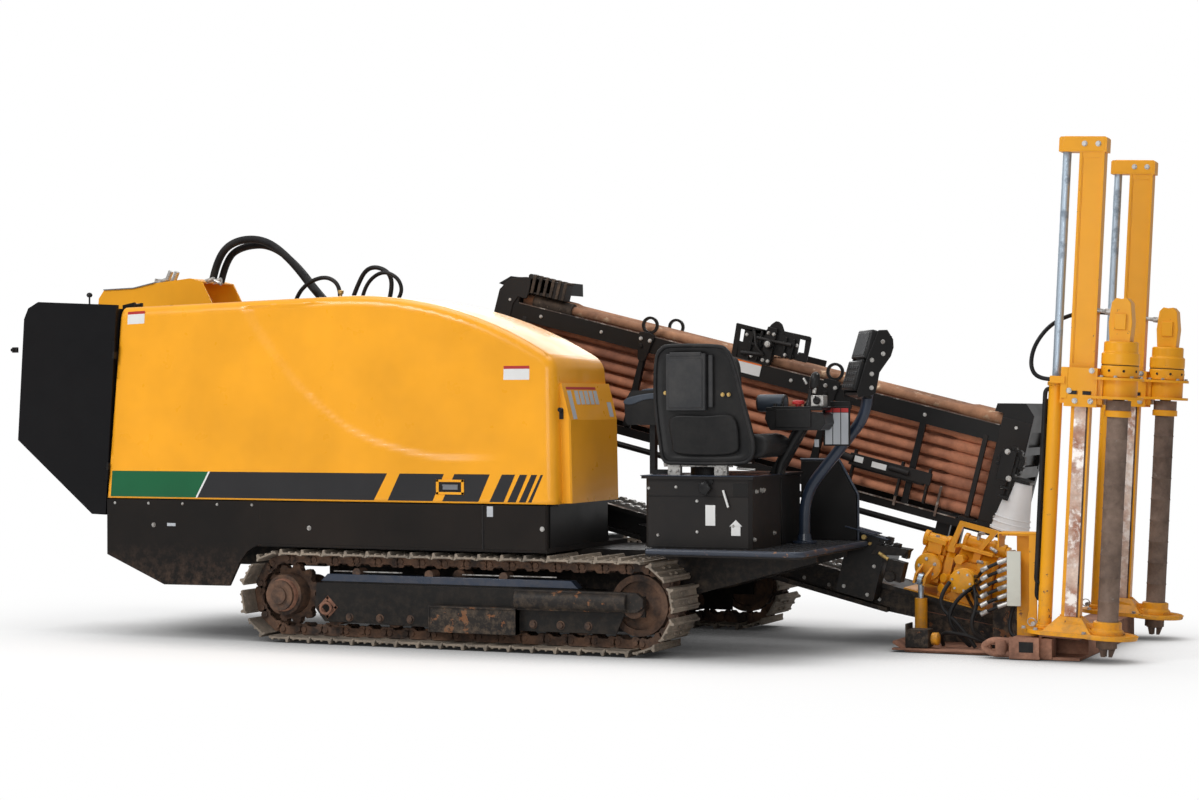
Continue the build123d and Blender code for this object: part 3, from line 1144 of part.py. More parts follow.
def compound_pail():
    """Open pail hung upside down at the rod box's front end."""
    u, y, bottom = BOX_FRONT + 60, 430, 440
    cone = Pos(u, y, bottom + 135) * Cone(104, 62, 270)
    cone -= Pos(u, y, bottom + 128) * Cone(99, 57, 270)
    rim = rod_z(u, y, (bottom, bottom + 14), 108) - rod_z(u, y, (bottom - 1, bottom + 15), 98)
    return on_rack(cone + rim)


def pail_bracket():
    """Arm from the rod box's front end that the pail and the rope sheave hang on."""
    arm = block((BOX_FRONT + SEAT_GAP, BOX_FRONT + 30), (360, BOX_LEFT_Y - 200), (724, 784))
    u, y = BOX_FRONT + 60, 430
    plate = block((BOX_FRONT + 29, u + 60), (y - 60, y + 60), (710 + SEAT_GAP, 724))
    foot = block((BOX_FRONT + 10, BOX_FRONT + 30), (y - 60, y + 60), (711, 730))
    wheel = rod_y(BOX_FRONT - 10, (380, 420), 820, 72) - rod_y(BOX_FRONT - 10, (379, 421), 820, 30)
    for tooth in range(10):
        turn = 2 * math.pi * tooth / 10
        at = Pos(BOX_FRONT - 10 + 76 * math.cos(turn), 400, 820 + 76 * math.sin(turn))
        wheel -= at * Rot(90, 0, 0) * Cylinder(13, 44)
    stem = block((BOX_FRONT - 40, BOX_FRONT + 31), (372, 380.5), (760, 842))
    return on_rack(fused([arm, plate, foot, wheel, stem,
                          block((BOX_FRONT - 40, BOX_FRONT + 1), (361, 372.5), (760, 784))]))


# Ground anchor, drawn in the masts' own leaning frame

RIGHT_MAST_Y = DRILL_Y - MAST_SPACING / 2
LEFT_MAST_Y = DRILL_Y + MAST_SPACING / 2
LEAN = math.radians(ANCHOR_LEAN)


def anchor_point(x, z):
    """Machine coordinates of a point in the anchor's leaning side view."""
    return (
        MAST_FOOT_X + x * math.cos(LEAN) + z * math.sin(LEAN),
        z * math.cos(LEAN) - x * math.sin(LEAN),
    )


BEAM_REAR, BEAM_FRONT = -150.0, 60.0


def anchor_base():
    """Ground weldment: curled sole, cross channel under both feet, cheeks, pocket and tow loop."""
    seat = FOOT_Z - SEAT_GAP
    rear_top, front_top = anchor_point(BEAM_REAR, seat), anchor_point(BEAM_FRONT, seat)
    beam = side_plate(
        [(rear_top[0], GROUND_GAP), rear_top, front_top, (front_top[0], GROUND_GAP)],
        (RIGHT_MAST_Y - 60, LEFT_MAST_Y + 60),
    )
    beam -= side_plate(
        [(rear_top[0] + 14, GROUND_GAP + 14), (rear_top[0] + 14, rear_top[1] - 16),
         (front_top[0] + 1, front_top[1] - 16),
         (front_top[0] + 1, GROUND_GAP + 14)],
        (RIGHT_MAST_Y - 61, RIGHT_MAST_Y + 150),
    )
    sole = side_plate(
        [(SOLE_REAR_X, 44), (SOLE_REAR_X + 70, GROUND_GAP), (rear_top[0] + 2, GROUND_GAP),
         (rear_top[0] + 2, GROUND_GAP + 16),
         (SOLE_REAR_X + 76, GROUND_GAP + 16), (SOLE_REAR_X + 12, 56)],
        (DRILL_Y - SOLE_HALF_WIDTH, DRILL_Y + SOLE_HALF_WIDTH),
    )
    pieces = [beam, sole]
    end_x, end_z = rack_world(RACK_FRONT, -105)
    start_x, start_z = rack_world(LOWER_FLANGE_FRONT + 170, -RACK_DEPTH + 60)
    for y in (DRILL_Y - RACK_HALF_WIDTH - SEAT_GAP - 14, DRILL_Y + RACK_HALF_WIDTH + SEAT_GAP):
        cheek = [(start_x, GROUND_GAP + 10), (rear_top[0] + 1, GROUND_GAP + 10),
                 (rear_top[0] + 1, rear_top[1] - 10),
                 (end_x, end_z + 55), (start_x, start_z)]
        pieces.append(side_plate(cheek, (y, y + 14)))
    pocket = block((2900, rear_top[0] + 1), (-330, -176), (GROUND_GAP, 112)) - block((2960, 3010),
                                                                                     (-331, -240), (40, 90))
    loop = block((2760, 2901), (-300, -262), (26, 92)) - block((2790, 2902), (-301, -261), (50, 70))
    pieces += [pocket, fillet(loop.edges().filter_by(Axis.Y).group_by(Axis.X)[0], 26)]
    for y in (TORQUE_ARM_Y - 30, TORQUE_ARM_Y + 18):
        pieces.append(block((TORQUE_X - 30, TORQUE_X + 30), (y, y + 12),
                            (GROUND_GAP + 14, TORQUE_BASE_Z + 26)))
    pieces.append(rod_y(TORQUE_X, (TORQUE_ARM_Y - 29, TORQUE_ARM_Y + 29), TORQUE_BASE_Z, TORQUE_BASE_PIN))
    return fused(pieces)


def hose_bracket():
    """Upright channel beside the near mast that the vise hoses end at."""
    floor = GROUND_GAP + 16 + SEAT_GAP
    x = (2880, 2980)
    web = block(x, (-96, -84), (floor, 640))
    back = block((x[1] - 12, x[1]), (-170, -84), (200, 640))
    top = block((x[0] - 60, x[1] + 30), (-176, -60), (628, 642))
    foot = block((x[0], x[1]), (-176, -20), (floor, floor + 10))
    return fused([web, back, top, foot])


def hose_plate():
    """Pale manifold plate on the bracket."""
    return block((2862, 2872), (-166, -60), (272, 540)) + block((2871, 2880 - SEAT_GAP), (-110, -70),
                                                                (300, 520))


def foot_plate(y):
    """Round-ended foot, the domed socket round the post and the auger's guide ring."""
    outer = FOOT_Z + FOOT_THICKNESS
    rear, front = -200.0, AUGER_OFFSET
    plate = block((rear + 60, front), (y - 128, y + 128), (FOOT_Z, outer))
    plate = fused([plate, rod_z(front, y, (FOOT_Z, outer), 150),
                   rod_z(rear + 100, y, (FOOT_Z, outer), 128)])
    half_x, half_y = COLUMN_X_SIZE / 2, COLUMN_Y_SIZE / 2
    base = Plane(origin=(0, y, outer - 1), z_dir=(0, 0, 1)) * Rectangle(250, 214)
    crown = Plane(origin=(0, y, outer + 74), z_dir=(0, 0, 1)) * Rectangle(2 * half_x + 18, 2 * half_y + 18)
    dome = loft([base, crown])
    ring = rod_z(AUGER_OFFSET, y, (outer - 1, outer + 56), AUGER_RADIUS + 20)
    nose = block((60, AUGER_OFFSET), (y - 12, y + 12), (outer - 1, outer + 50))
    whole = fused([plate, dome, ring, nose])
    return whole - rod_z(AUGER_OFFSET, y, (FOOT_Z - 1, outer + 60), AUGER_RADIUS + ROD_BORE_GAP)


COLUMN_X_SIZE = MAST_X_SIZE - 2 * (MAST_WALL + COLUMN_CLEARANCE)
COLUMN_Y_SIZE = MAST_Y_SIZE - 2 * (MAST_WALL + COLUMN_CLEARANCE)
CAP_FLOOR = 14.0
COLUMN_TOP = MAST_TOP - CAP_FLOOR - FEED_TRAVEL - COLUMN_CLEARANCE


def column(y):
    """Fixed post that the mast slides over, with a shallow channel in each broad face."""
    half_x, half_y = COLUMN_X_SIZE / 2, COLUMN_Y_SIZE / 2
    post = block((-half_x, half_x), (y - half_y, y + half_y), (FOOT_Z + FOOT_THICKNESS, COLUMN_TOP))
    for side in (-1, 1):
        face = y + side * half_y
        groove = sorted((face - side * 7, face + side))
        post -= block((-half_x + 18, half_x - 18), groove, (FOOT_Z + FOOT_THICKNESS + 110, COLUMN_TOP + 1))
    return post


GLAND_TOP = MAST_BOTTOM + 110


def feed_barrel(y):
    """Feed cylinder's barrel behind the post, with its gland collar."""
    tube = rod_z(BARREL_OFFSET, y, (FOOT_Z + FOOT_THICKNESS - 1, GLAND_TOP), BARREL_RADIUS)
    tube -= rod_z(BARREL_OFFSET, y, (GLAND_TOP - FEED_TRAVEL - 160, GLAND_TOP - 40), BARREL_RADIUS - 7)
    return tube - rod_z(BARREL_OFFSET, y, (GLAND_TOP - 41, GLAND_TOP + 1), FEED_ROD_RADIUS + ROD_BORE_GAP)


def anchor_posts(y):
    return on_anchor(fused([foot_plate(y), column(y), feed_barrel(y)]))


def mast(y):
    """Sliding hollow mast with corner strips, its cap and the feed rod's eye."""
    half_x, half_y = MAST_X_SIZE / 2, MAST_Y_SIZE / 2
    tube = block((-half_x, half_x), (y - half_y, y + half_y), (MAST_BOTTOM, MAST_TOP))
    tube -= block(
        (-half_x + MAST_WALL, half_x - MAST_WALL), (y - half_y + MAST_WALL, y + half_y - MAST_WALL),
        (MAST_BOTTOM - 1, MAST_TOP - CAP_FLOOR),
    )
    for side in (-1, 1):
        strips = block(
            (-half_x + 16, half_x - 16), sorted((y + side * (half_y - 3), y + side * (half_y + 1))),
            (MAST_BOTTOM + 180, MAST_TOP - 30),
        )
        tube -= strips
    cap = block(
        (BARREL_OFFSET - 34, half_x + 12), (y - half_y - 5, y + half_y + 5), (MAST_TOP - 1,
                                                                              MAST_TOP + CAP_HEIGHT),
    )
    cap = chamfer(cap.edges().filter_by(Axis.Y).group_by(Axis.Z)[-1], 8)
    return on_anchor(tube + cap)


def feed_rod(y):
    low = GLAND_TOP - 60
    return on_anchor(rod_z(BARREL_OFFSET, y, (low, MAST_TOP - 1 - SEAT_GAP), FEED_ROD_RADIUS))


DRIVE_LOW, DRIVE_HIGH = MAST_BOTTOM, MAST_BOTTOM + 140
DRUM_TOP = DRIVE_HIGH + 180


def auger_drive(y):
    """Drive carriage: slotted end plate, two flanges, bolts, stepped drum and gear motor."""
    inner_x, inner_y = MAST_X_SIZE / 2 + SEAT_GAP, MAST_Y_SIZE / 2 + SEAT_GAP
    core = block((-100, AUGER_OFFSET - 70), (y - inner_y - 26, y + inner_y + 26), (DRIVE_LOW, DRIVE_HIGH))
    plates = []
    for side in (-1, 1):
        face = sorted((y + side * (inner_y + 25), y + side * (inner_y + 39)))
        plate = block((-76, 90), face, (DRIVE_LOW - 16, DRIVE_HIGH + 44))
        for x in (-50, 20):
            plate -= block((x, x + 44), (face[0] - 1, face[1] + 1), (DRIVE_LOW + 46, DRIVE_LOW + 66))
        plates.append(plate)
    flanges = []
    for low in (DRIVE_LOW + 30, DRIVE_HIGH - 14):
        flange = block((60, AUGER_OFFSET), (y - 104, y + 104), (low, low + 14))
        flanges.append(flange + rod_z(AUGER_OFFSET, y, (low, low + 14), 122))
    drum = [
        rod_z(AUGER_OFFSET, y, (DRIVE_LOW + 31, DRIVE_HIGH - 1), 92),
        rod_z(AUGER_OFFSET, y, (DRIVE_HIGH - 1, DRIVE_HIGH + 84), 82),
        rod_z(AUGER_OFFSET, y, (DRIVE_HIGH + 96, DRUM_TOP - 20), 82),
        rod_z(AUGER_OFFSET, y, (DRIVE_HIGH + 80, DRUM_TOP), 68),
    ]
    motor = block((AUGER_OFFSET - 46, AUGER_OFFSET + 46), (y - 46, y + 46), (DRUM_TOP - 1, DRUM_TOP + 200))
    motor = chamfer(motor.edges().filter_by(Axis.Z), 12)
    stub = block((-150, -74), (y - inner_y - 51, y - inner_y - 25), (DRIVE_HIGH - 40, DRIVE_HIGH - 4))
    whole = fused([core, *plates, *flanges, *drum, motor, stub])
    whole -= block((-inner_x, inner_x), (y - inner_y, y + inner_y), (DRIVE_LOW - 20, DRIVE_HIGH + 60))
    whole -= rod_z(BARREL_OFFSET, y, (DRIVE_LOW - 20, DRIVE_HIGH + 60), BARREL_RADIUS + COLUMN_CLEARANCE)
    return on_anchor(whole - rod_z(AUGER_OFFSET, y, (DRIVE_LOW + 30, DRIVE_LOW + 80), 30 + ROD_BORE_GAP))


# Hoses: the corners of each route and its radius

CARRIAGE_HOSE = [(-2640, 410, 640.3), (-2640, 410, 800), (-2540, 410, 930), (-2330, 410, 985),
                 (-2110, 410, 900),
                 (-1880, 410, 735), (-1660, 410, 620), (-1660, 410, 420.3)]
CARRIAGE_HOSE_RADIUS = 24.0
LOOP_HOSE = [(-1600, 350, 420.3), (-1600, 350, 625), (-1580, 350, 830), (-1530, 350, 990),
             (-1360, 350, 985),
             (-1325, 350, 830), (-1380, 350, 625), (-1380, 350, 420.3)]
LOOP_HOSE_RADIUS = 14.0
MAST_HOSE = [(186, 46.3, 1770), (186, 120, 1770), (90, 170, 1790), (-60, 150, 1790), (-190, 80, 1730),
             (-258, -10, 1610), (-262, -66, 1495), (-215, -80, 1434), (-150.3, -80, 1434)]
MAST_HOSE_RADIUS = 11.0


def hose(corners, radius):
    """Plain hose: straight runs joined by arcs that take 0.45 of the shorter run on each side of a corner."""
    points = [Vector(*c) for c in corners]
    edges = []
    start = points[0]
    for before, corner, after in zip(points, points[1:], points[2:]):
        arriving, leaving = corner - before, after - corner
        trim = 0.45 * min(arriving.length, leaving.length)
        enter = corner - arriving.normalized() * trim
        leave = corner + leaving.normalized() * trim
        inwards = (enter + leave) * 0.5 - corner
        half_turn = math.radians(arriving.get_angle(leaving)) / 2
        bend = trim / math.tan(half_turn)
        centre = corner + inwards.normalized() * math.hypot(trim, bend)
        middle = centre - inwards.normalized() * bend
        edges += [Line(start, enter), ThreePointArc(enter, middle, leave)]
        start = leave
    edges.append(Line(start, points[-1]))
    section = Plane(origin=points[0], z_dir=points[1] - points[0]) * Circle(radius)
    return sweep(section, path=Wire(edges))


def auger(y):
    """Anchor auger's casing, its collar, the shaft into the drive and the toothed tip."""
    top = DRIVE_LOW + 24
    collar_low = DRIVE_LOW - 60
    pieces = [
        rod_z(AUGER_OFFSET, y, (FOOT_Z - 26, collar_low + 1), AUGER_RADIUS),
        rod_z(AUGER_OFFSET, y, (collar_low, top), 63),
        rod_z(AUGER_OFFSET, y, (top - 1, DRIVE_LOW + 76), 30),
    ]
    teeth = 3
    low = 34.0
    pieces.append(rod_z(AUGER_OFFSET, y, (FOOT_Z - 56, FOOT_Z - 25), AUGER_RADIUS - 10))
    for tooth in range(teeth):
        spread = Pos(AUGER_OFFSET, y, 0) * Rot(0, 0, 360 * tooth / teeth)
        outline = Polyline((12, 0, FOOT_Z - 50), (46, 0, FOOT_Z - 50), (30, 0, low), (14, 0, low),
                           close=True)
        blade = Pos(0, 9, 0) * extrude(make_face(outline), 18, dir=(0, -1, 0))
        pieces.append(spread * blade)
    return on_anchor(fused(pieces))


# Tilt cylinder, between the chassis and the thrust frame

def tilt_barrel():
    """Barrel from the chassis pin up to the gland, bored for the rod."""
    eye = rod_y(TILT_PIN_X, (TILT_Y - 37, TILT_Y + 37), TILT_PIN_Z, 36)
    tube = rod_z(TILT_PIN_X, TILT_Y, (TILT_PIN_Z, TILT_GLAND_Z), 36)
    collar = rod_z(TILT_PIN_X, TILT_Y, (TILT_GLAND_Z - 44, TILT_GLAND_Z), 41)
    whole = fused([tube, eye, collar])
    whole -= rod_z(TILT_PIN_X, TILT_Y, (TILT_PIN_Z + 70, TILT_GLAND_Z + 1), TILT_ROD_RADIUS + ROD_BORE_GAP)
    return whole - rod_y(TILT_PIN_X, (TILT_Y - 41, TILT_Y + 41), TILT_PIN_Z,
                         TILT_PIN_RADIUS + 4 + ROD_BORE_GAP)


def tilt_rod():
    hole = TILT_PIN_RADIUS + 5
    rod = rod_z(TILT_PIN_X, TILT_Y, (TILT_PIN_Z + 80, TILT_EYE_Z - hole - 4), TILT_ROD_RADIUS)
    eye = rod_y(TILT_PIN_X, (TILT_Y - 22, TILT_Y + 22), TILT_EYE_Z, hole + 13)
    return rod + eye - rod_y(TILT_PIN_X, (TILT_Y - 23, TILT_Y + 23), TILT_EYE_Z, hole)


def tilt_bracket():
    """Bracket under the thrust frame's right flange with the pin for the rod's eye."""
    u, w = rack_point(TILT_PIN_X, TILT_EYE_Z)
    side = DRILL_Y - RACK_HALF_WIDTH - SEAT_GAP
    plates = []
    for y in ((TILT_Y - 42, TILT_Y - 28), (TILT_Y + 28, TILT_Y + 42)):
        plates.append(rod_y(u, y, w, 44) + block((u - 44, u + 44), y, (w, BRACKET_TOP)))
    tie = block((u - 70, u + 70), (TILT_Y - 42, FLANGE_RIGHT_Y - 12), (BRACKET_TOP - 10, BRACKET_TOP))
    web = block((u - 70, u + 70), (FLANGE_RIGHT_Y - 13, side), (BRACKET_TOP - 22, BRACKET_TOP))
    pin = rod_y(u, (TILT_Y - 48, TILT_Y + 48), w, TILT_PIN_RADIUS)
    return on_rack(fused([*plates, tie, web, pin]))



PIECES = {
    "chassis": chassis(),
    "tracks": mirrored(track_loop()),
    "sprockets": mirrored(sprocket()),
    "idlers": mirrored(idler()),
    "rollers": mirrored(rollers()),
    "track_frames": mirrored(track_frame()),
    "hood": hood(),
    "hood_front_panel": front_panel(),
    "bulkhead": bulkhead(),
    "side_skirt": side_skirt(),
    "front_skirt": front_skirt(),
    "rear_door": rear_door(),
    "rear_cooler": rear_cooler(),
    "engine": engine(),
    "platform": platform(),
    "seat_base": seat_base(),
    "seat_shell": seat_shell(),
    "seat_cushion": seat_cushion(),
    "seat_back": seat_back(),
    "right_armrest": right_armrest(),
    "left_armrest": left_armrest(),
    "display": display(),
    "foot_guard": foot_guard(),
    "rack_frame": rack_frame(),
    "gear_racks": gear_racks(),
    "rod_box": rod_box(),
    "drill_rods": drill_rods(),
    "lifting_rings": lifting_rings(),
    "rod_clamp": rod_clamp(),
    "shuttle_guide": shuttle_guide(),
    "shuttle": shuttle(),
    "carriage": carriage(),
    "carriage_grate": carriage_grate(),
    "spindle": spindle(),
    "rear_vise": rear_vise(),
    "front_vise": front_vise(),
    "torque_barrel": torque_barrel(),
    "torque_rod": torque_rod(),
    "lube_box": lube_box(),
    "compound_pail": compound_pail(),
    "pail_bracket": pail_bracket(),
    "anchor_base": anchor_base(),
    "hose_bracket": hose_bracket(),
    "hose_plate": hose_plate(),
    "tilt_barrel": tilt_barrel(),
    "tilt_rod": tilt_rod(),
    "tilt_bracket": tilt_bracket(),
    "carriage_hose": on_rack(hose(CARRIAGE_HOSE, CARRIAGE_HOSE_RADIUS)),
    "loop_hose": on_rack(hose(LOOP_HOSE, LOOP_HOSE_RADIUS)),
    "mast_hose": on_anchor(hose([(x, RIGHT_MAST_Y + y, z) for x, y, z in MAST_HOSE], MAST_HOSE_RADIUS)),
}
for side, mast_y in (("right", RIGHT_MAST_Y), ("left", LEFT_MAST_Y)):
    PIECES[side + "_anchor_posts"] = anchor_posts(mast_y)
    PIECES[side + "_mast"] = mast(mast_y)
    PIECES[side + "_feed_rod"] = feed_rod(mast_y)
    PIECES[side + "_auger_drive"] = auger_drive(mast_y)
    PIECES[side + "_auger"] = auger(mast_y)

for name, shape in PIECES.items():
    save(name, shape)
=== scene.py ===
"""Looks of the horizontal directional drill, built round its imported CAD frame.

Pieces are drawn in millimetres in the same places as the CAD, and each mesh is scaled to metres when it is
finished. +X points forwards to the drilling end, +Y to the machine's left and +Z up.
"""

import math
import random

import bmesh
import bpy
from mathutils import Matrix, Vector


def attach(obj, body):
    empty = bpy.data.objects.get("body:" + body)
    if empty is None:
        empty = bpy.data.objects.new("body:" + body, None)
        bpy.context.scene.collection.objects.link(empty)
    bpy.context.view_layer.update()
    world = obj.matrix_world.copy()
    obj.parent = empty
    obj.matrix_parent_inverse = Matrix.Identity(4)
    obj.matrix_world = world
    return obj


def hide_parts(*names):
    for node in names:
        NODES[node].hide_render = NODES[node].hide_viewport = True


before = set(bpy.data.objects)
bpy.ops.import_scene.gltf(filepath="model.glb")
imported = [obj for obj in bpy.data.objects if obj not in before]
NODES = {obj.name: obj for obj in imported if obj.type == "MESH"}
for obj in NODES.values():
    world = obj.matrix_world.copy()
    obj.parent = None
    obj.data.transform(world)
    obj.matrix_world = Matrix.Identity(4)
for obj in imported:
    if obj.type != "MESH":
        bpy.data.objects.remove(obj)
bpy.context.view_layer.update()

SLOPE = math.radians(14)
RACK = Matrix.Translation((0, 0, 846)) @ Matrix.Rotation(SLOPE, 4, "Y")
MAST_LEAN = math.radians(3)
ANCHOR = Matrix.Translation((3185, 0, 0)) @ Matrix.Rotation(MAST_LEAN, 4, "Y")
MACHINE = Matrix.Identity(4)
TO_METRES = Matrix.Scale(0.001, 4)


# Camera, floor and light

CAMERA_PLACE = (5.868974, -12.244850, 1.307986)
CAMERA_TURN = (0.4164140, 0.0026434, -0.0029307)      # yaw, pitch and roll
FOCAL_PIXELS, PHOTO_WIDTH = 2354.92, 1199
SENSOR = 36


def camera():
    yaw, pitch, roll = CAMERA_TURN
    ahead = Vector((-math.sin(yaw) * math.cos(pitch), math.cos(yaw) * math.cos(pitch), math.sin(pitch)))
    right = Vector((math.cos(yaw), math.sin(yaw), 0))
    up = right.cross(ahead)
    right, up = (
        right * math.cos(roll) + up * math.sin(roll),
        up * math.cos(roll) - right * math.sin(roll),
    )
    data = bpy.data.cameras.new("camera")
    data.sensor_width = SENSOR
    data.lens = SENSOR * FOCAL_PIXELS / PHOTO_WIDTH
    data.clip_end = 200
    made = bpy.data.objects.new("camera", data)
    turn = Matrix((right, up, -ahead)).transposed().to_4x4()
    made.matrix_world = Matrix.Translation(CAMERA_PLACE) @ turn
    bpy.context.scene.collection.objects.link(made)
    bpy.context.scene.camera = made


def softbox(name, place, target, size, watts):
    data = bpy.data.lights.new(name, "AREA")
    data.shape = "RECTANGLE"
    data.size, data.size_y = size
    data.energy = watts
    made = bpy.data.objects.new(name, data)
    made.location = place
    made.rotation_euler = (Vector(target) - Vector(place)).to_track_quat("-Z", "Y").to_euler()
    bpy.context.scene.collection.objects.link(made)


def node(tree, kind, settings=None, **inputs):
    """A shader node with its settings and inputs. An input is named, or i and its number."""
    made = tree.nodes.new(kind)
    for key, value in (settings or {}).items():
        setattr(made, key, value)
    for key, value in inputs.items():
        numbered = key[0] == "i" and key[1:].isdigit()
        socket = made.inputs[int(key[1:])] if numbered else made.inputs[key.replace("_", " ")]
        if isinstance(value, bpy.types.NodeSocket):
            tree.links.new(value, socket)
        else:
            socket.default_value = value
    return made


REFLECTED = 0.25      # how much of the white stage a reflection shows
WORLD_STRENGTH = 0.27
FLOOR_HALF = 60
# name, place, target, size and watts
LAMPS = (
    ("key", (-5.0, -8.5, 8.5), (0.2, 0, 0.9), (4, 3.5), 740),
    ("fill", (3.6, -9.5, 2.6), (2.6, 0, 0.6), (5, 2.5), 165),
    ("top", (0.5, 1.0, 8.5), (0.3, 0, 0), (9, 6), 460),
    ("front", (9.5, -5.5, 4.5), (1.0, 0, 1), (4, 4), 22),
    ("back", (-3.0, 9.0, 5.0), (0, 0, 1), (7, 4), 260),
)


def shown_direct(tree):
    """1 for rays that look at the stage straight or through glass, and less for a reflection of it."""
    path = node(tree, "ShaderNodeLightPath").outputs
    mirrored = maths(tree, "MULTIPLY", path["Is Glossy Ray"], REFLECTED)
    seen = maths(tree, "MAXIMUM", path["Is Camera Ray"], mirrored)
    return maths(tree, "MAXIMUM", seen, path["Is Transmission Ray"])


def stage():
    bpy.context.scene.view_settings.view_transform = "Standard"
    world = bpy.data.worlds.new("studio")
    bpy.context.scene.world = world
    world.use_nodes = True
    tree = world.node_tree
    tree.nodes.clear()
    strength = node(tree, "ShaderNodeMix", i0=shown_direct(tree), i2=WORLD_STRENGTH, i3=1.0)
    sky = node(tree, "ShaderNodeBackground", Color=(1, 1, 1, 1), Strength=strength.outputs[0])
    node(tree, "ShaderNodeOutputWorld", Surface=sky.outputs[0])

    bm = bmesh.new()
    bmesh.ops.create_grid(bm, x_segments=1, y_segments=1, size=FLOOR_HALF)
    mesh = bpy.data.meshes.new("floor")
    bm.to_mesh(mesh)
    bm.free()
    floor = bpy.data.objects.new("floor", mesh)
    bpy.context.scene.collection.objects.link(floor)
    paper = bpy.data.materials.new("floor_paper")
    paper.use_nodes = True
    tree = paper.node_tree
    tree.nodes.clear()
    # The floor's glow and its paper colour are both dimmed by ambient occlusion: a painted contact shadow
    # round and under the machine.
    sheltered = node(tree, "ShaderNodeAmbientOcclusion", {"samples": 8}, Distance=0.9).outputs["AO"]
    shade = ramp(tree, maths(tree, "POWER", sheltered, 1.4), 0.0, 0.86, 0.03, 1.0)
    white = darkened(tree, (0.93, 0.93, 0.93, 1), shade)
    matte = node(tree, "ShaderNodeBsdfDiffuse", Color=white)
    glow = node(tree, "ShaderNodeEmission", Color=(1, 1, 1, 1), Strength=shade)
    spot = node(tree, "ShaderNodeTexCoord").outputs["Object"]
    spot = node(tree, "ShaderNodeMapping", Vector=spot, Location=(-0.1, 0.0, 0), Scale=(0.7, 1.0, 0))
    reach = node(tree, "ShaderNodeVectorMath", {"operation": "LENGTH"}, i0=spot.outputs[0])
    fade = node(tree, "ShaderNodeMapRange", {"interpolation_type": "SMOOTHSTEP"},
                Value=reach.outputs["Value"], i1=1.5, i2=3.6, i3=0.35, i4=1.0)
    share = maths(tree, "MULTIPLY", fade.outputs[0], shown_direct(tree))
    blend = node(tree, "ShaderNodeMixShader", i0=share, i1=matte.outputs[0], i2=glow.outputs[0])
    node(tree, "ShaderNodeOutputMaterial", Surface=blend.outputs[0])
    mesh.materials.append(paper)

    for lamp in LAMPS:
        softbox(*lamp)


# Finishes

def group(name, inputs, outputs):
    """An empty shader node group with named sockets, its input sockets and its output node."""
    tree = bpy.data.node_groups.new(name, "ShaderNodeTree")
    kinds = {"colour": "NodeSocketColor", "value": "NodeSocketFloat"}
    for socket, kind in inputs:
        tree.interface.new_socket(socket, in_out="INPUT", socket_type=kinds[kind])
    for socket, kind in outputs:
        tree.interface.new_socket(socket, in_out="OUTPUT", socket_type=kinds[kind])
    given = tree.nodes.new("NodeGroupInput").outputs
    result = tree.nodes.new("NodeGroupOutput").inputs
    return tree, given, result


def noise(tree, place, scale, detail=4.0, rough=0.6):
    return node(tree, "ShaderNodeTexNoise", Vector=place, Scale=scale, Detail=detail,
                Roughness=rough).outputs[0]


def maths(tree, operation, first, second):
    return node(tree, "ShaderNodeMath", {"operation": operation}, i0=first, i1=second).outputs[0]


def ramp(tree, value, low, high, start=0.0, end=1.0):
    return node(tree, "ShaderNodeMapRange", Value=value, i1=low, i2=high, i3=start, i4=end).outputs[0]


def mixed(tree, share, first, second):
    made = node(tree, "ShaderNodeMix", {"data_type": "RGBA"}, i0=share, i6=first, i7=second)
    return made.outputs[2]


def darkened(tree, colour, by):
    made = node(tree, "ShaderNodeMix", {"data_type": "RGBA", "blend_type": "MULTIPLY"}, i0=1.0, i6=colour)
    grey = node(tree, "ShaderNodeCombineColor", i0=by, i1=by, i2=by)
    tree.links.new(grey.outputs[0], made.inputs[7])
    return made.outputs[2]


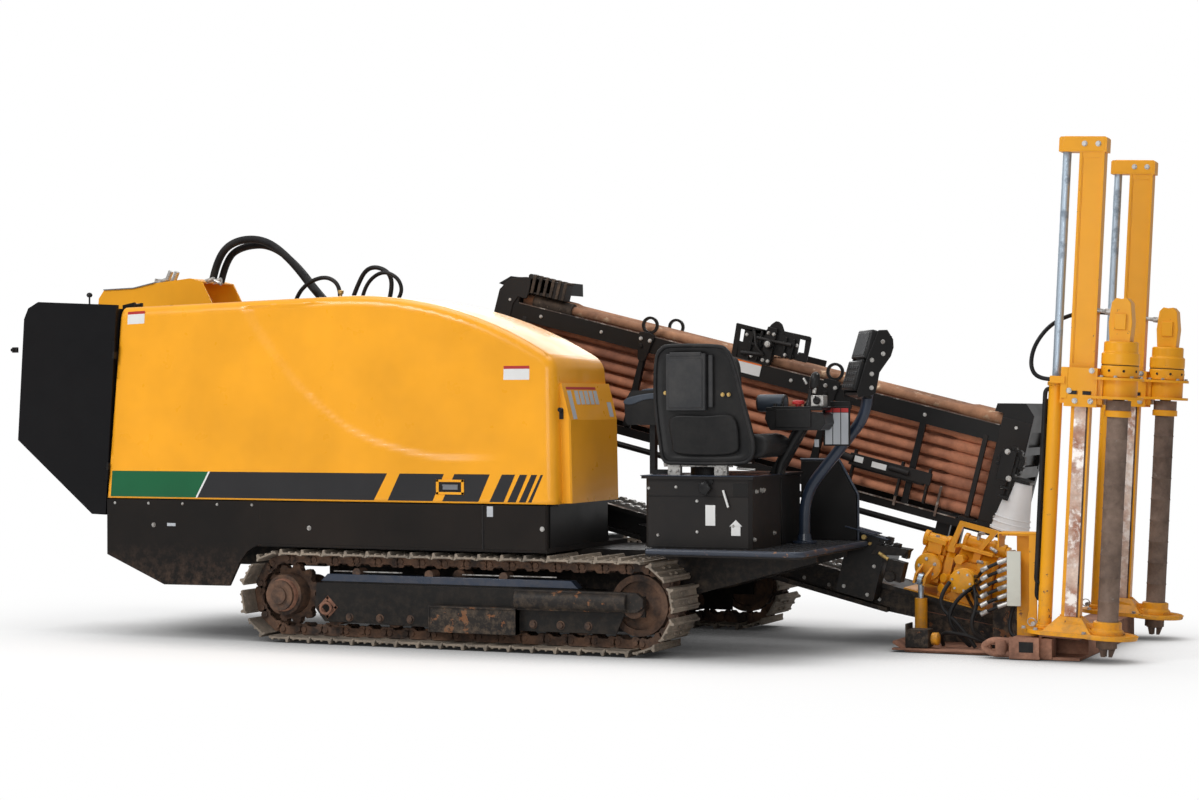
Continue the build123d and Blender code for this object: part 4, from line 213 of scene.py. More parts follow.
def weathered_paint():
    """Paint with a change of tone, chips, long scratches, and soil that thickens towards the ground."""
    tree, given, result = group(
        "weathered paint",
        [("Paint", "colour"), ("Under", "colour"), ("Soil", "colour"), ("Chips", "value"),
         ("Chip Scale", "value"), ("Scratches", "value"), ("Soil Share", "value"),
         ("Soil Top", "value"), ("Soil Fade", "value"), ("Roughness", "value")],
        [("Colour", "colour"), ("Roughness", "value"), ("Height", "value")],
    )
    place = node(tree, "ShaderNodeTexCoord").outputs["Object"]
    tone = ramp(tree, noise(tree, place, 2.2, 3.0), 0.3, 0.7, 0.9, 1.06)
    paint = darkened(tree, given["Paint"], tone)
    spots = noise(tree, place, given["Chip Scale"], 7.0, 0.68)
    patches = noise(tree, place, 3.1, 3.0)
    level = maths(tree, "SUBTRACT", 0.86, maths(tree, "MULTIPLY", given["Chips"], 0.36))
    raised = maths(tree, "ADD", spots, maths(tree, "MULTIPLY", maths(tree, "SUBTRACT", patches, 0.5), 0.35))
    chips = ramp(tree, maths(tree, "SUBTRACT", raised, level), 0.0, 0.022)
    stretched = node(tree, "ShaderNodeMapping", Vector=place, Scale=(0.35, 0.35, 5.0),
                     Rotation=(0.0, 0.45, 0.0))
    lines = noise(tree, stretched.outputs[0], 9.0, 8.0, 0.8)
    faint = maths(tree, "SUBTRACT", 0.82, maths(tree, "MULTIPLY", given["Scratches"], 0.2))
    lines = ramp(tree, maths(tree, "SUBTRACT", lines, faint), 0.0, 0.02)
    worn = maths(tree, "MAXIMUM", chips, maths(tree, "MULTIPLY", lines, 0.7))
    colour = mixed(tree, worn, paint, given["Under"])
    height = node(tree, "ShaderNodeSeparateXYZ", i0=place).outputs[2]
    low = node(tree, "ShaderNodeMapRange", Value=height, i3=1.0, i4=0.0)
    tree.links.new(given["Soil Top"], low.inputs[2])
    tree.links.new(maths(tree, "SUBTRACT", given["Soil Top"], given["Soil Fade"]), low.inputs[1])
    speckle = ramp(tree, noise(tree, place, 21.0, 8.0, 0.72), 0.42, 0.66)
    film = ramp(tree, noise(tree, place, 1.7, 4.0), 0.35, 0.75, 0.05, 0.4)
    soil = maths(tree, "MULTIPLY", maths(tree, "MULTIPLY", low.outputs[0], speckle), given["Soil Share"])
    thin = maths(tree, "MULTIPLY", film, maths(tree, "MULTIPLY", given["Soil Share"], 0.3))
    soil = maths(tree, "MAXIMUM", soil, thin)
    tree.links.new(mixed(tree, soil, colour, given["Soil"]), result["Colour"])
    matt = maths(tree, "ADD", maths(tree, "MULTIPLY", soil, 0.4), maths(tree, "MULTIPLY", worn, 0.25))
    uneven = ramp(tree, noise(tree, place, 6.0, 3.0), 0.3, 0.7, -0.04, 0.05)
    rough = maths(tree, "ADD", maths(tree, "ADD", given["Roughness"], matt), uneven)
    tree.links.new(rough, result["Roughness"])
    lumps = maths(tree, "MULTIPLY", soil, noise(tree, place, 90.0, 4.0))
    tree.links.new(maths(tree, "SUBTRACT", lumps, worn), result["Height"])
    return tree


def rusty_steel():
    """Steel under two tones of rust, with the bare metal rubbed through in streaks."""
    tree, given, result = group(
        "rusty steel",
        [("Rust", "colour"), ("Dark", "colour"), ("Bare", "colour"), ("Bare Share", "value"),
         ("Scale", "value")],
        [("Colour", "colour"), ("Roughness", "value"), ("Metallic", "value"), ("Height", "value")],
    )
    place = node(tree, "ShaderNodeTexCoord").outputs["Object"]
    broad = ramp(tree, noise(tree, place, given["Scale"], 5.0, 0.65), 0.36, 0.64)
    rust = mixed(tree, broad, given["Rust"], given["Dark"])
    fine = noise(tree, place, maths(tree, "MULTIPLY", given["Scale"], 9.0), 8.0, 0.75)
    rust = darkened(tree, rust, ramp(tree, fine, 0.25, 0.75, 0.72, 1.25))
    rubbed = noise(tree, place, maths(tree, "MULTIPLY", given["Scale"], 3.0), 7.0, 0.7)
    level = maths(tree, "SUBTRACT", 0.78, maths(tree, "MULTIPLY", given["Bare Share"], 0.42))
    bare = ramp(tree, maths(tree, "SUBTRACT", rubbed, level), 0.0, 0.1)
    tree.links.new(mixed(tree, bare, rust, given["Bare"]), result["Colour"])
    tree.links.new(ramp(tree, bare, 0.0, 1.0, 0.82, 0.42), result["Roughness"])
    tree.links.new(maths(tree, "MULTIPLY", bare, 0.75), result["Metallic"])
    tree.links.new(maths(tree, "SUBTRACT", fine, bare), result["Height"])
    return tree


def moulded_skin():
    """Moulded plastic, vinyl or rubber: fine grain, grey scuffs and a film of dust."""
    tree, given, result = group(
        "moulded skin",
        [("Colour", "colour"), ("Dust", "colour"), ("Dust Share", "value"), ("Grain", "value"),
         ("Roughness", "value")],
        [("Colour", "colour"), ("Roughness", "value"), ("Height", "value")],
    )
    place = node(tree, "ShaderNodeTexCoord").outputs["Object"]
    dust = ramp(tree, noise(tree, place, 5.0, 6.0, 0.7), 0.4, 0.8)
    dust = maths(tree, "MULTIPLY", dust, given["Dust Share"])
    tree.links.new(mixed(tree, dust, given["Colour"], given["Dust"]), result["Colour"])
    tree.links.new(maths(tree, "ADD", given["Roughness"], maths(tree, "MULTIPLY", dust, 0.3)),
                   result["Roughness"])
    cells = node(tree, "ShaderNodeTexVoronoi", Vector=place, Scale=given["Grain"]).outputs["Distance"]
    tree.links.new(cells, result["Height"])
    return tree


GROUPS = {"paint": weathered_paint(), "steel": rusty_steel(), "skin": moulded_skin()}
GROUP_PLAIN = {"Chips": 0.15, "Chip Scale": 24.0, "Scratches": 0.1, "Soil Share": 0.5, "Soil Top": 0.7,
               "Soil Fade": 0.6, "Bare Share": 0.2, "Scale": 4.0, "Dust Share": 0.3, "Grain": 900.0}
SOIL = (0.20, 0.145, 0.10)
F = {}      # the finishes by name


def finish(name, kind, bump=0.2, distance=0.0006, coat=0.0, gloss=0.3, **values):
    """A material made of one of the finish groups and the values that it has on this part."""
    made = bpy.data.materials.new(name)
    made.use_nodes = True
    tree = made.node_tree
    tree.nodes.clear()
    surface = node(tree, "ShaderNodeGroup", {"node_tree": GROUPS[kind]})
    for socket in surface.inputs:
        value = values.get(socket.name.replace(" ", "_"), GROUP_PLAIN.get(socket.name))
        if value is not None:
            socket.default_value = (*value, 1) if isinstance(value, tuple) else value
    relief = node(tree, "ShaderNodeBump", Strength=bump, Distance=distance, Height=surface.outputs["Height"])
    shader = node(tree, "ShaderNodeBsdfPrincipled", Base_Color=surface.outputs["Colour"],
                  Roughness=surface.outputs["Roughness"], Normal=relief.outputs[0], Coat_Weight=coat,
                  Specular_IOR_Level=gloss)
    if kind == "steel":
        tree.links.new(surface.outputs["Metallic"], shader.inputs["Metallic"])
    node(tree, "ShaderNodeOutputMaterial", Surface=shader.outputs[0])
    F[name] = made


def painted(name, colour, under, rough, **values):
    finish(name, "paint", Paint=colour, Under=under, Roughness=rough, **{"Soil": SOIL, **values})


def metal(name, rust, dark, bare, bare_share, **values):
    finish(name, "steel", Rust=rust, Dark=dark, Bare=bare, Bare_Share=bare_share, **values)


def moulded(name, colour, dust, dust_share, rough, **values):
    finish(name, "skin", Colour=colour, Dust=dust, Dust_Share=dust_share, Roughness=rough, **values)


painted("hood_yellow", (0.85, 0.365, 0.016), (0.5, 0.2, 0.02), 0.3, Chips=0.0, Scratches=0.0,
        Soil_Share=0.1, Soil_Top=0.9, coat=0.12)
painted("yellow", (0.85, 0.36, 0.008), (0.16, 0.07, 0.035), 0.36, Chips=0.3, Chip_Scale=30.0,
        Scratches=0.25, Soil_Share=0.45, Soil_Top=0.75, coat=0.05)
painted("worn_yellow", (0.82, 0.35, 0.012), (0.2, 0.085, 0.04), 0.42, Chips=0.62, Chip_Scale=18.0,
        Scratches=0.5, Soil_Share=0.85, Soil_Top=0.42, Soil_Fade=0.5)
painted("black", (0.009, 0.009, 0.0095), (0.09, 0.07, 0.06), 0.32, gloss=0.2, Chips=0.12, Scratches=0.2,
        Soil_Share=0.22, Soil_Top=0.62)
painted("carrier_black", (0.012, 0.0115, 0.0115), (0.34, 0.15, 0.09), 0.38, gloss=0.16, Chips=0.34,
        Chip_Scale=16.0, Scratches=0.35, Soil_Share=0.2, Soil_Top=0.5)
painted("frame_black", (0.014, 0.014, 0.015), (0.16, 0.1, 0.07), 0.42, gloss=0.14, Chips=0.34,
        Chip_Scale=20.0, Scratches=0.4, Soil_Share=0.6, Soil_Top=0.65)
painted("skirt_black", (0.0085, 0.0075, 0.007), (0.2, 0.17, 0.14), 0.42, gloss=0.14,
        Soil=(0.13, 0.08, 0.055), Chips=0.1, Chip_Scale=40.0, Scratches=0.35, Soil_Share=0.6, Soil_Top=0.56,
        Soil_Fade=0.3)
painted("door_black", (0.0045, 0.0045, 0.0055), (0.19, 0.15, 0.13), 0.4, gloss=0.14, Chips=0.08,
        Chip_Scale=50.0, Scratches=0.5, Soil_Share=0.08, Soil_Top=0.7)
# Worn black paint, also used for the black skin and blocks behind the vise hoses that stand for shade.
painted("worn_black", (0.016, 0.016, 0.017), (0.2, 0.085, 0.04), 0.5, gloss=0.14, Chips=0.68,
        Chip_Scale=14.0, Scratches=0.5, Soil_Share=0.9, Soil_Top=0.5)
painted("blue_black", (0.018, 0.03, 0.055), (0.16, 0.09, 0.06), 0.3, Chips=0.2, Scratches=0.3,
        Soil_Share=0.25, coat=0.3)
painted("stripe_green", (0.007, 0.105, 0.04), (0.2, 0.2, 0.2), 0.35, Chips=0.05, Scratches=0.1,
        Soil_Share=0.1)
painted("stripe_black", (0.027, 0.027, 0.029), (0.25, 0.25, 0.25), 0.4, gloss=0.14, Chips=0.08,
        Chip_Scale=60.0, Scratches=0.12, Soil_Share=0.1)
painted("label_white", (0.72, 0.72, 0.71), (0.35, 0.33, 0.3), 0.4, Chips=0.1, Scratches=0.1,
        Soil_Share=0.25)
painted("label_grey", (0.45, 0.47, 0.5), (0.35, 0.33, 0.3), 0.45, Chips=0.1, Scratches=0.1, Soil_Share=0.3)
painted("label_red", (0.42, 0.03, 0.03), (0.4, 0.3, 0.3), 0.4, Chips=0.1, Soil_Share=0.2)
painted("label_orange", (0.75, 0.16, 0.02), (0.5, 0.3, 0.2), 0.4, Chips=0.1, Soil_Share=0.2)
painted("pale_paint", (0.6, 0.6, 0.53), (0.2, 0.18, 0.15), 0.45, Chips=0.12, Soil_Share=0.3, Soil_Top=0.5)
painted("grey_plate", (0.17, 0.18, 0.2), (0.1, 0.07, 0.05), 0.4, Chips=0.2, Soil_Share=0.4)
metal("rod", (0.52, 0.215, 0.12), (0.23, 0.095, 0.06), (0.55, 0.34, 0.24), 0.25, Scale=2.4, bump=0.25)
# Paler copy of the rod finish for the top row: more rubbed bare metal, and a painted highlight where that row
# catches the light from above.
metal("rod_top", (0.4, 0.2, 0.11), (0.2, 0.1, 0.06), (0.5, 0.36, 0.24), 0.5, Scale=2.4, bump=0.25)
metal("track", (0.33, 0.27, 0.21), (0.17, 0.145, 0.12), (0.5, 0.47, 0.42), 0.4, Scale=7.0, bump=0.6,
      distance=0.003)
metal("track_under", (0.17, 0.095, 0.06), (0.04, 0.03, 0.026), (0.3, 0.22, 0.17), 0.25, Scale=9.0, bump=0.5,
      distance=0.002)
metal("rust", (0.4, 0.2, 0.13), (0.19, 0.095, 0.065), (0.45, 0.33, 0.27), 0.3, Scale=6.0, bump=0.5,
      distance=0.0015)
metal("auger", (0.22, 0.155, 0.12), (0.11, 0.075, 0.058), (0.32, 0.28, 0.245), 0.35, Scale=3.0, bump=0.4)
metal("head_ribs", (0.1, 0.07, 0.05), (0.016, 0.014, 0.013), (0.36, 0.27, 0.2), 0.35, Scale=9.0, bump=0.3)
metal("steel", (0.28, 0.26, 0.24), (0.16, 0.14, 0.125), (0.5, 0.49, 0.47), 0.9, Scale=8.0, bump=0.15)
metal("bright_rod", (0.24, 0.3, 0.36), (0.19, 0.24, 0.3), (0.42, 0.5, 0.58), 1.0, Scale=1.5, bump=0.05)
metal("iron", (0.06, 0.055, 0.05), (0.03, 0.03, 0.03), (0.16, 0.15, 0.14), 0.4, Scale=5.0)
metal("brass", (0.36, 0.22, 0.07), (0.25, 0.15, 0.05), (0.6, 0.42, 0.16), 0.9, Scale=20.0, bump=0.1)
moulded("plastic", (0.009, 0.009, 0.0095), (0.12, 0.11, 0.1), 0.13, 0.36, gloss=0.2, Grain=700.0, bump=0.12)
moulded("grey_plastic", (0.035, 0.036, 0.038), (0.14, 0.13, 0.12), 0.3, 0.5, gloss=0.14, Grain=700.0,
        bump=0.15)
moulded("vinyl", (0.016, 0.016, 0.017), (0.12, 0.11, 0.1), 0.25, 0.45, gloss=0.14, Grain=420.0, bump=0.35)
moulded("blue_vinyl", (0.03, 0.042, 0.06), (0.14, 0.15, 0.17), 0.3, 0.4, Grain=420.0, bump=0.3)
# Dark rubber for the hoses, also used for discs and strips that stand for holes, slots and a pocket: painted
# shade inside them.
moulded("rubber", (0.011, 0.011, 0.012), (0.1, 0.09, 0.08), 0.3, 0.4, gloss=0.14, Grain=1500.0, bump=0.1)
moulded("pail", (0.82, 0.83, 0.84), (0.5, 0.48, 0.44), 0.25, 0.35, Grain=200.0, bump=0.05)
moulded("sleeve", (0.009, 0.009, 0.01), (0.09, 0.085, 0.08), 0.35, 0.55, gloss=0.14, Grain=260.0, bump=0.5,
        distance=0.002)
moulded("screen", (0.01, 0.011, 0.013), (0.12, 0.12, 0.12), 0.12, 0.16, Grain=300.0, bump=0.0)
painted("deck_edge", (0.035, 0.045, 0.065), (0.3, 0.15, 0.08), 0.34, Chips=0.66, Chip_Scale=26.0,
        Scratches=0.7, Soil_Share=0.5, Soil_Top=0.62)
painted("deck_wear", (0.05, 0.055, 0.065), (0.32, 0.3, 0.28), 0.3, Chips=0.5, Chip_Scale=30.0,
        Scratches=0.7, Soil_Share=0.6, Soil_Top=0.62)
# Rubbed bare steel for the frame's rails and the rod stops, also used for a painted highlight along the rod
# box's rail.
metal("rail_wear", (0.17, 0.12, 0.095), (0.05, 0.042, 0.04), (0.42, 0.38, 0.34), 0.6, Scale=6.0, bump=0.2)
metal("post_wear", (0.36, 0.15, 0.09), (0.8, 0.66, 0.56), (0.86, 0.8, 0.76), 0.7, Scale=3.2, bump=0.2)
painted("chipped_yellow", (0.86, 0.37, 0.01), (0.15, 0.075, 0.045), 0.36, Chips=0.58, Chip_Scale=22.0,
        Scratches=0.35, Soil_Share=0.5, Soil_Top=0.6)
moulded("red", (0.42, 0.02, 0.02), (0.3, 0.1, 0.1), 0.2, 0.35)

NODES_IN = {
    "hood_yellow": "hood_front_panel",
    "skirt_black": "side_skirt",
    "door_black": "rear_door",
    "iron": "engine",
    "carrier_black": "track_frames",
    "track_under": "sprockets idlers rollers",
    "frame_black": "seat_base rack_frame platform chassis",
    "steel": "gear_racks spindle",
    "rust": "anchor_base",
    "yellow": "front_vise rear_vise right_anchor_posts left_anchor_posts right_mast left_mast"
              " right_auger_drive left_auger_drive carriage torque_barrel",
    "bright_rod": "right_feed_rod left_feed_rod tilt_rod torque_rod",
    "auger": "right_auger left_auger",
    "worn_yellow": "hose_bracket",
    "pale_paint": "hose_plate",
    "grey_plate": "carriage_grate",
    "plastic": "right_armrest left_armrest",
}
NODE_FINISH = {name: skin for skin, names in NODES_IN.items() for name in names.split()}
for name, made in NODES.items():
    made.data.materials.clear()
    made.data.materials.append(F[NODE_FINISH.get(name, "black")])


# Shapes that the pieces are made of

def slab(bm, x, y, z, turn=MACHINE):
    """A block from three (low, high) pairs."""
    made = bmesh.ops.create_cube(bm, size=1.0)["verts"]
    size = Matrix.Diagonal((x[1] - x[0], y[1] - y[0], z[1] - z[0], 1))
    place = Matrix.Translation((sum(x) / 2, sum(y) / 2, sum(z) / 2))
    bmesh.ops.transform(bm, matrix=turn @ place @ size, verts=made)
    return made


def bar(bm, start, end, radius, tip=None, sides=24):
    """A round bar between two points, tapering to the tip's radius if one is given."""
    first, last = Vector(start), Vector(end)
    made = bmesh.ops.create_cone(
        bm, cap_ends=True, segments=sides, radius1=radius, radius2=radius if tip is None else tip,
        depth=(last - first).length,
    )["verts"]
    turn = (last - first).to_track_quat("Z", "X").to_matrix().to_4x4()
    bmesh.ops.transform(bm, matrix=Matrix.Translation((first + last) / 2) @ turn, verts=made)
    return made


def turned(bm, profile, start, along, sides=32):
    """A turned part: (radius, distance) points spun about the line from start along a direction."""
    before = set(bm.verts)
    verts = [bm.verts.new((radius, 0, distance)) for radius, distance in profile]
    edges = [bm.edges.new(pair) for pair in zip(verts, verts[1:])]
    bmesh.ops.spin(bm, geom=[*verts, *edges], axis=(0, 0, 1), cent=(0, 0, 0), angle=math.tau, steps=sides,
                   use_merge=True)
    made = [v for v in bm.verts if v not in before]
    bmesh.ops.remove_doubles(bm, verts=made, dist=0.01)
    made = [v for v in bm.verts if v not in before]
    turn = Vector(along).to_track_quat("Z", "X").to_matrix().to_4x4()
    bmesh.ops.transform(bm, matrix=Matrix.Translation(start) @ turn, verts=made)
    return made


def plate(bm, outline, y, turn=MACHINE):
    """A plate cut to (x, z) points between two values of y."""
    verts = [bm.verts.new((x, y[0], z)) for x, z in outline]
    face = bm.faces.new(verts)
    made = bmesh.ops.extrude_face_region(bm, geom=[face])["geom"]
    far = [v for v in made if isinstance(v, bmesh.types.BMVert)]
    bmesh.ops.translate(bm, vec=(0, y[1] - y[0], 0), verts=far)
    bmesh.ops.transform(bm, matrix=turn, verts=[*verts, *far])
    return [*verts, *far]


def hoop(bm, centre, axis, radius, thickness, sides=36, round_sides=12):
    """A ring of round bar."""
    before = set(bm.verts)
    made = bmesh.ops.create_circle(bm, segments=round_sides, radius=thickness)["verts"]
    upright = Matrix.Translation((radius, 0, 0)) @ Matrix.Rotation(math.pi / 2, 4, "X")
    bmesh.ops.transform(bm, matrix=upright, verts=made)
    edges = list({e for v in made for e in v.link_edges})
    bmesh.ops.spin(bm, geom=[*made, *edges], axis=(0, 0, 1), cent=(0, 0, 0), angle=math.tau, steps=sides,
                   use_merge=True)
    made = [v for v in bm.verts if v not in before]
    turn = Vector(axis).to_track_quat("Z", "X").to_matrix().to_4x4()
    bmesh.ops.transform(bm, matrix=Matrix.Translation(centre) @ turn, verts=made)
    return made


def bolts(bm, places, axis, radius=9.0, height=7.0, washer=True):
    """Hexagon heads on washers, standing along an axis from each place."""
    way = Vector(axis).normalized()
    for place in places:
        foot = Vector(place)
        if washer:
            bar(bm, foot, foot + way * 2, radius * 1.35, sides=16)
        bar(bm, foot + way * 1.5, foot + way * height, radius, sides=6)


def piece(name, bm, skin, body, place=MACHINE, soften=1.5, smooth=38, stands_for=(), slot=None):
    """Finishes a mesh as a piece of the drill that rides on a body."""
    bmesh.ops.recalc_face_normals(bm, faces=bm.faces)
    bmesh.ops.transform(bm, matrix=TO_METRES @ place, verts=bm.verts)
    mesh = bpy.data.meshes.new(name)
    bm.to_mesh(mesh)
    bm.free()
    mesh.shade_smooth()
    mesh.set_sharp_from_angle(angle=math.radians(smooth))
    made = bpy.data.objects.new(name, mesh)
    bpy.context.scene.collection.objects.link(made)
    for one in [skin] if isinstance(skin, str) else skin:
        mesh.materials.append(F[one])
    if soften:
        edge = made.modifiers.new("edges", "BEVEL")
        edge.width = soften * 0.001
        edge.segments = 2
        edge.limit_method = "ANGLE"
        edge.angle_limit = math.radians(40)
        edge.use_clamp_overlap = True
        edge.harden_normals = False
    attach(made, body)
    if stands_for:
        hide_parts(*stands_for)
    return made


def on_rack(name, bm, skin, **finishing):
    """A piece of the thrust frame, drawn in its sloping coordinates."""
    return piece(name, bm, skin, "thrust_frame", RACK, **finishing)


def on_anchor(name, bm, skin, **finishing):
    """A fixed piece of the ground anchor, drawn in the masts' leaning coordinates."""
    return piece(name, bm, skin, "thrust_frame", ANCHOR, **finishing)


def hose(name, points, radius, body, place=MACHINE, skin="rubber", replaces=None):
    """A hydraulic hose that leaves the machine and goes back into it, on one smooth line."""
    data = bpy.data.curves.new(name, "CURVE")
    data.dimensions = "3D"
    data.bevel_depth = radius * 0.001
    data.bevel_resolution = 5
    data.resolution_u = 10
    data.use_fill_caps = True
    line = data.splines.new("NURBS")
    line.points.add(len(points) - 1)
    route = [TO_METRES @ place @ Vector(p) for p in points]
    for spot, at in zip(line.points, route):
        spot.co = (*at, 1)
    line.order_u = 3
    line.use_endpoint_u = True
    data.materials.append(F[skin])
    made = bpy.data.objects.new(name, data)
    bpy.context.scene.collection.objects.link(made)
    bare = data.copy()
    bare.bevel_depth = 0
    probe = bpy.data.objects.new("probe", bare)
    bpy.context.scene.collection.objects.link(probe)
    bpy.context.view_layer.update()
    run = bpy.data.meshes.new_from_object(probe.evaluated_get(bpy.context.evaluated_depsgraph_get()))
    bpy.data.objects.remove(probe)
    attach(made, body)
    if replaces:
        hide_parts(replaces)
    return made


# Engine housing

HOOD_FOOT, HOOD_RISE = 790, 1130
SIDE_LEAN = 40 / HOOD_RISE
HOOD_RIGHT, HOOD_LEFT = -1000, -160
LEFT_EDGE_Z = 1386      # lower edge of the hood's left side, which is open below it


def side_y(z, out=0.0):
    """Face of the housing's right side at a height, or further out."""
    return HOOD_RIGHT + SIDE_LEAN * (z - HOOD_FOOT) - out


# The sweep pressed into the right side, from the top edge down and forwards
SWEEP = [(-1345, 1930), (-1250, 1770), (-1161, 1655), (-1040, 1510), (-916, 1386), (-780, 1280), (-631, 1182),
         (-470, 1112), (-289, 1063), (-140, 1034), (16, 1021), (220, 1022), (434, 1035)]
SWEEP_DEPTH = 16.0


def sweep_dip(x, z):
    """How far the skin lies in behind the sweep's edge: a short flank, then a long return to the flat."""
    best, beyond = 1e9, 0.0
    for (x0, z0), (x1, z1) in zip(SWEEP, SWEEP[1:]):
        run, rise = x1 - x0, z1 - z0
        share = max(0.0, min(1.0, ((x - x0) * run + (z - z0) * rise) / (run * run + rise * rise)))
        dx, dz = x - x0 - share * run, z - z0 - share * rise
        away = math.hypot(dx, dz)
        if away < best:
            best, beyond = away, run * dz - rise * dx
    if beyond <= 0:
        return 0.0
    flank = min(1.0, best / 26)
    back = min(1.0, max(0.0, (best - 40) / 620))
    ahead = min(1.0, max(0.0, (470 - x) / 420))
    ease = ahead * ahead * (3 - 2 * ahead)
    return SWEEP_DEPTH * flank * flank * (3 - 2 * flank) * (1 - back) ** 1.5 * ease


def cut(bm, geom, point, along):
    bmesh.ops.bisect_plane(bm, geom=geom, plane_co=point, plane_no=along, dist=0.01)


def hood():
    """Moulded housing: rounded top and nose, with the sweep pressed into its right side."""
    bm = bmesh.new()
    crest = [(-750, 1920)]
    arc_middle, arc_radius = circle_through((-750, 1920), (-20, 1838), (618, 1555))
    first = math.atan2(1920 - arc_middle[1], -750 - arc_middle[0])
    last = math.atan2(1555 - arc_middle[1], 618 - arc_middle[0])
    for step in range(1, 24):
        angle = first + (last - first) * step / 24
        crest.append((arc_middle[0] + arc_radius * math.cos(angle),
                      arc_middle[1] + arc_radius * math.sin(angle)))
    outline = [(-2197, HOOD_FOOT), (-2125, 1886), *crest, (618, 1555), (638, HOOD_FOOT)]
    plate(bm, outline, (HOOD_RIGHT, HOOD_LEFT))
    for v in bm.verts:
        if v.co.y < -900:
            v.co.y = side_y(v.co.z)
        else:
            v.co.y = HOOD_LEFT - 150 * (v.co.z - HOOD_FOOT) / HOOD_RISE
    bmesh.ops.remove_doubles(bm, verts=bm.verts, dist=0.1)
    rounded = []
    for e in bm.edges:
        a, b = e.verts[0].co, e.verts[1].co
        middle = (a + b) / 2
        along_top = min(a.z, b.z) > 1500 and abs(a.y - b.y) < 60 and abs(a.x - b.x) > 5
        nose_edge = abs(a.x - b.x) < 25 and abs(a.z - b.z) > 300 and middle.x > 500
        nose_top = abs(a.y - b.y) > 300 and middle.x > 600 and middle.z > 1500
        if along_top or nose_edge or nose_top:
            rounded.append(e)
    bmesh.ops.bevel(bm, geom=rounded, offset=62, offset_type="OFFSET", affect="EDGES", segments=6,
                    profile=0.5, material=-1, clamp_overlap=True)
    for x in range(-2180, 620, 28):
        cut(bm, [*bm.verts, *bm.edges, *bm.faces], (x, 0, 0), (1, 0, 0))
    for z in range(815, 1915, 26):
        near = [f for f in bm.faces if f.calc_center_median().y < -940]
        geom = list({v for f in near for v in f.verts}) + list({e for f in near for e in f.edges}) + near
        cut(bm, geom, (0, 0, z), (0, 0, 1))
    for v in bm.verts:
        if v.co.y < side_y(v.co.z) + 6:
            v.co.y += sweep_dip(v.co.x, v.co.z)
    cut(bm, [*bm.verts, *bm.edges, *bm.faces], (0, 0, LEFT_EDGE_Z), (0, 0, 1))
    open_faces = []
    for f in bm.faces:
        middle = f.calc_center_median()
        below = middle.z < HOOD_FOOT + 1
        rear = middle.x < -2120 and f.normal.x < -0.9
        left = middle.y > -320 and middle.z < LEFT_EDGE_Z and abs(f.normal.y) > 0.7
        if below or rear or left:
            open_faces.append(f)
    bmesh.ops.delete(bm, geom=open_faces, context="FACES")
    made = piece("hood_shell", bm, "hood_yellow", "hood", soften=0, smooth=50, stands_for=["hood"],
                 slot="yellow_paint")
    wall = made.modifiers.new("wall", "SOLIDIFY")
    wall.thickness = 0.006
    wall.offset = -1


def circle_through(a, b, c):
    """Middle and radius of the circle through three points."""
    d = 2 * (a[0] * (b[1] - c[1]) + b[0] * (c[1] - a[1]) + c[0] * (a[1] - b[1]))
    squares = [p[0] ** 2 + p[1] ** 2 for p in (a, b, c)]
    x = (squares[0] * (b[1] - c[1]) + squares[1] * (c[1] - a[1]) + squares[2] * (a[1] - b[1])) / d
    z = (squares[0] * (c[0] - b[0]) + squares[1] * (a[0] - c[0]) + squares[2] * (b[0] - a[0])) / d
    return (x, z), math.dist((x, z), a)


def decal(bm, outline, lift=0.6):
    """A thin film on the housing's right side, cut to (x, z) points."""
    for v in plate(bm, outline, (0, 1)):
        v.co.y = side_y(v.co.z, lift) if v.co.y < 0.5 else side_y(v.co.z, -0.4)


STRIPE = (799, 946)


def stripe_band():
    """Green and black band along the right side with slanting bars at its front, and two blank labels."""
    low, high = STRIPE
    bars = [[(start - 20, low), (end - 20, low), (end + 46, high), (start + 52, high)]
            for start, end in ((-346, -70), (-12, 206), (272, 356), (378, 428), (446, 486), (500, 520))]
    films = (
        ("stripe_green", "stripe_green", [[(-2178, low), (-1602, low), (-1520, high), (-2171, high)]]),
        ("stripe_line", "label_white", [[(-1602, low), (-1590, low), (-1508, high), (-1520, high)]]),
        ("stripe_black", "stripe_black", [[(-1590, low), (-452, low), (-372, high), (-1508, high)], *bars]),
        ("side_labels", "label_white", [[(-2085, 1786), (-1970, 1790), (-1968, 1846), (-2083, 1842)],
                                        [(326, 1450), (478, 1450), (478, 1508), (326, 1508)]]),
        ("side_label_heads", "label_red", [[(-2083, 1842), (-1968, 1846), (-1967, 1862), (-2082, 1858)],
                                           [(326, 1508), (478, 1508), (478, 1524), (326, 1524)]]),
    )
    for name, skin, outlines in films:
        bm = bmesh.new()
        for outline in outlines:
            decal(bm, outline)
        piece(name, bm, skin, "hood", soften=0)


LATCH_X, LATCH_Z = 16, 876


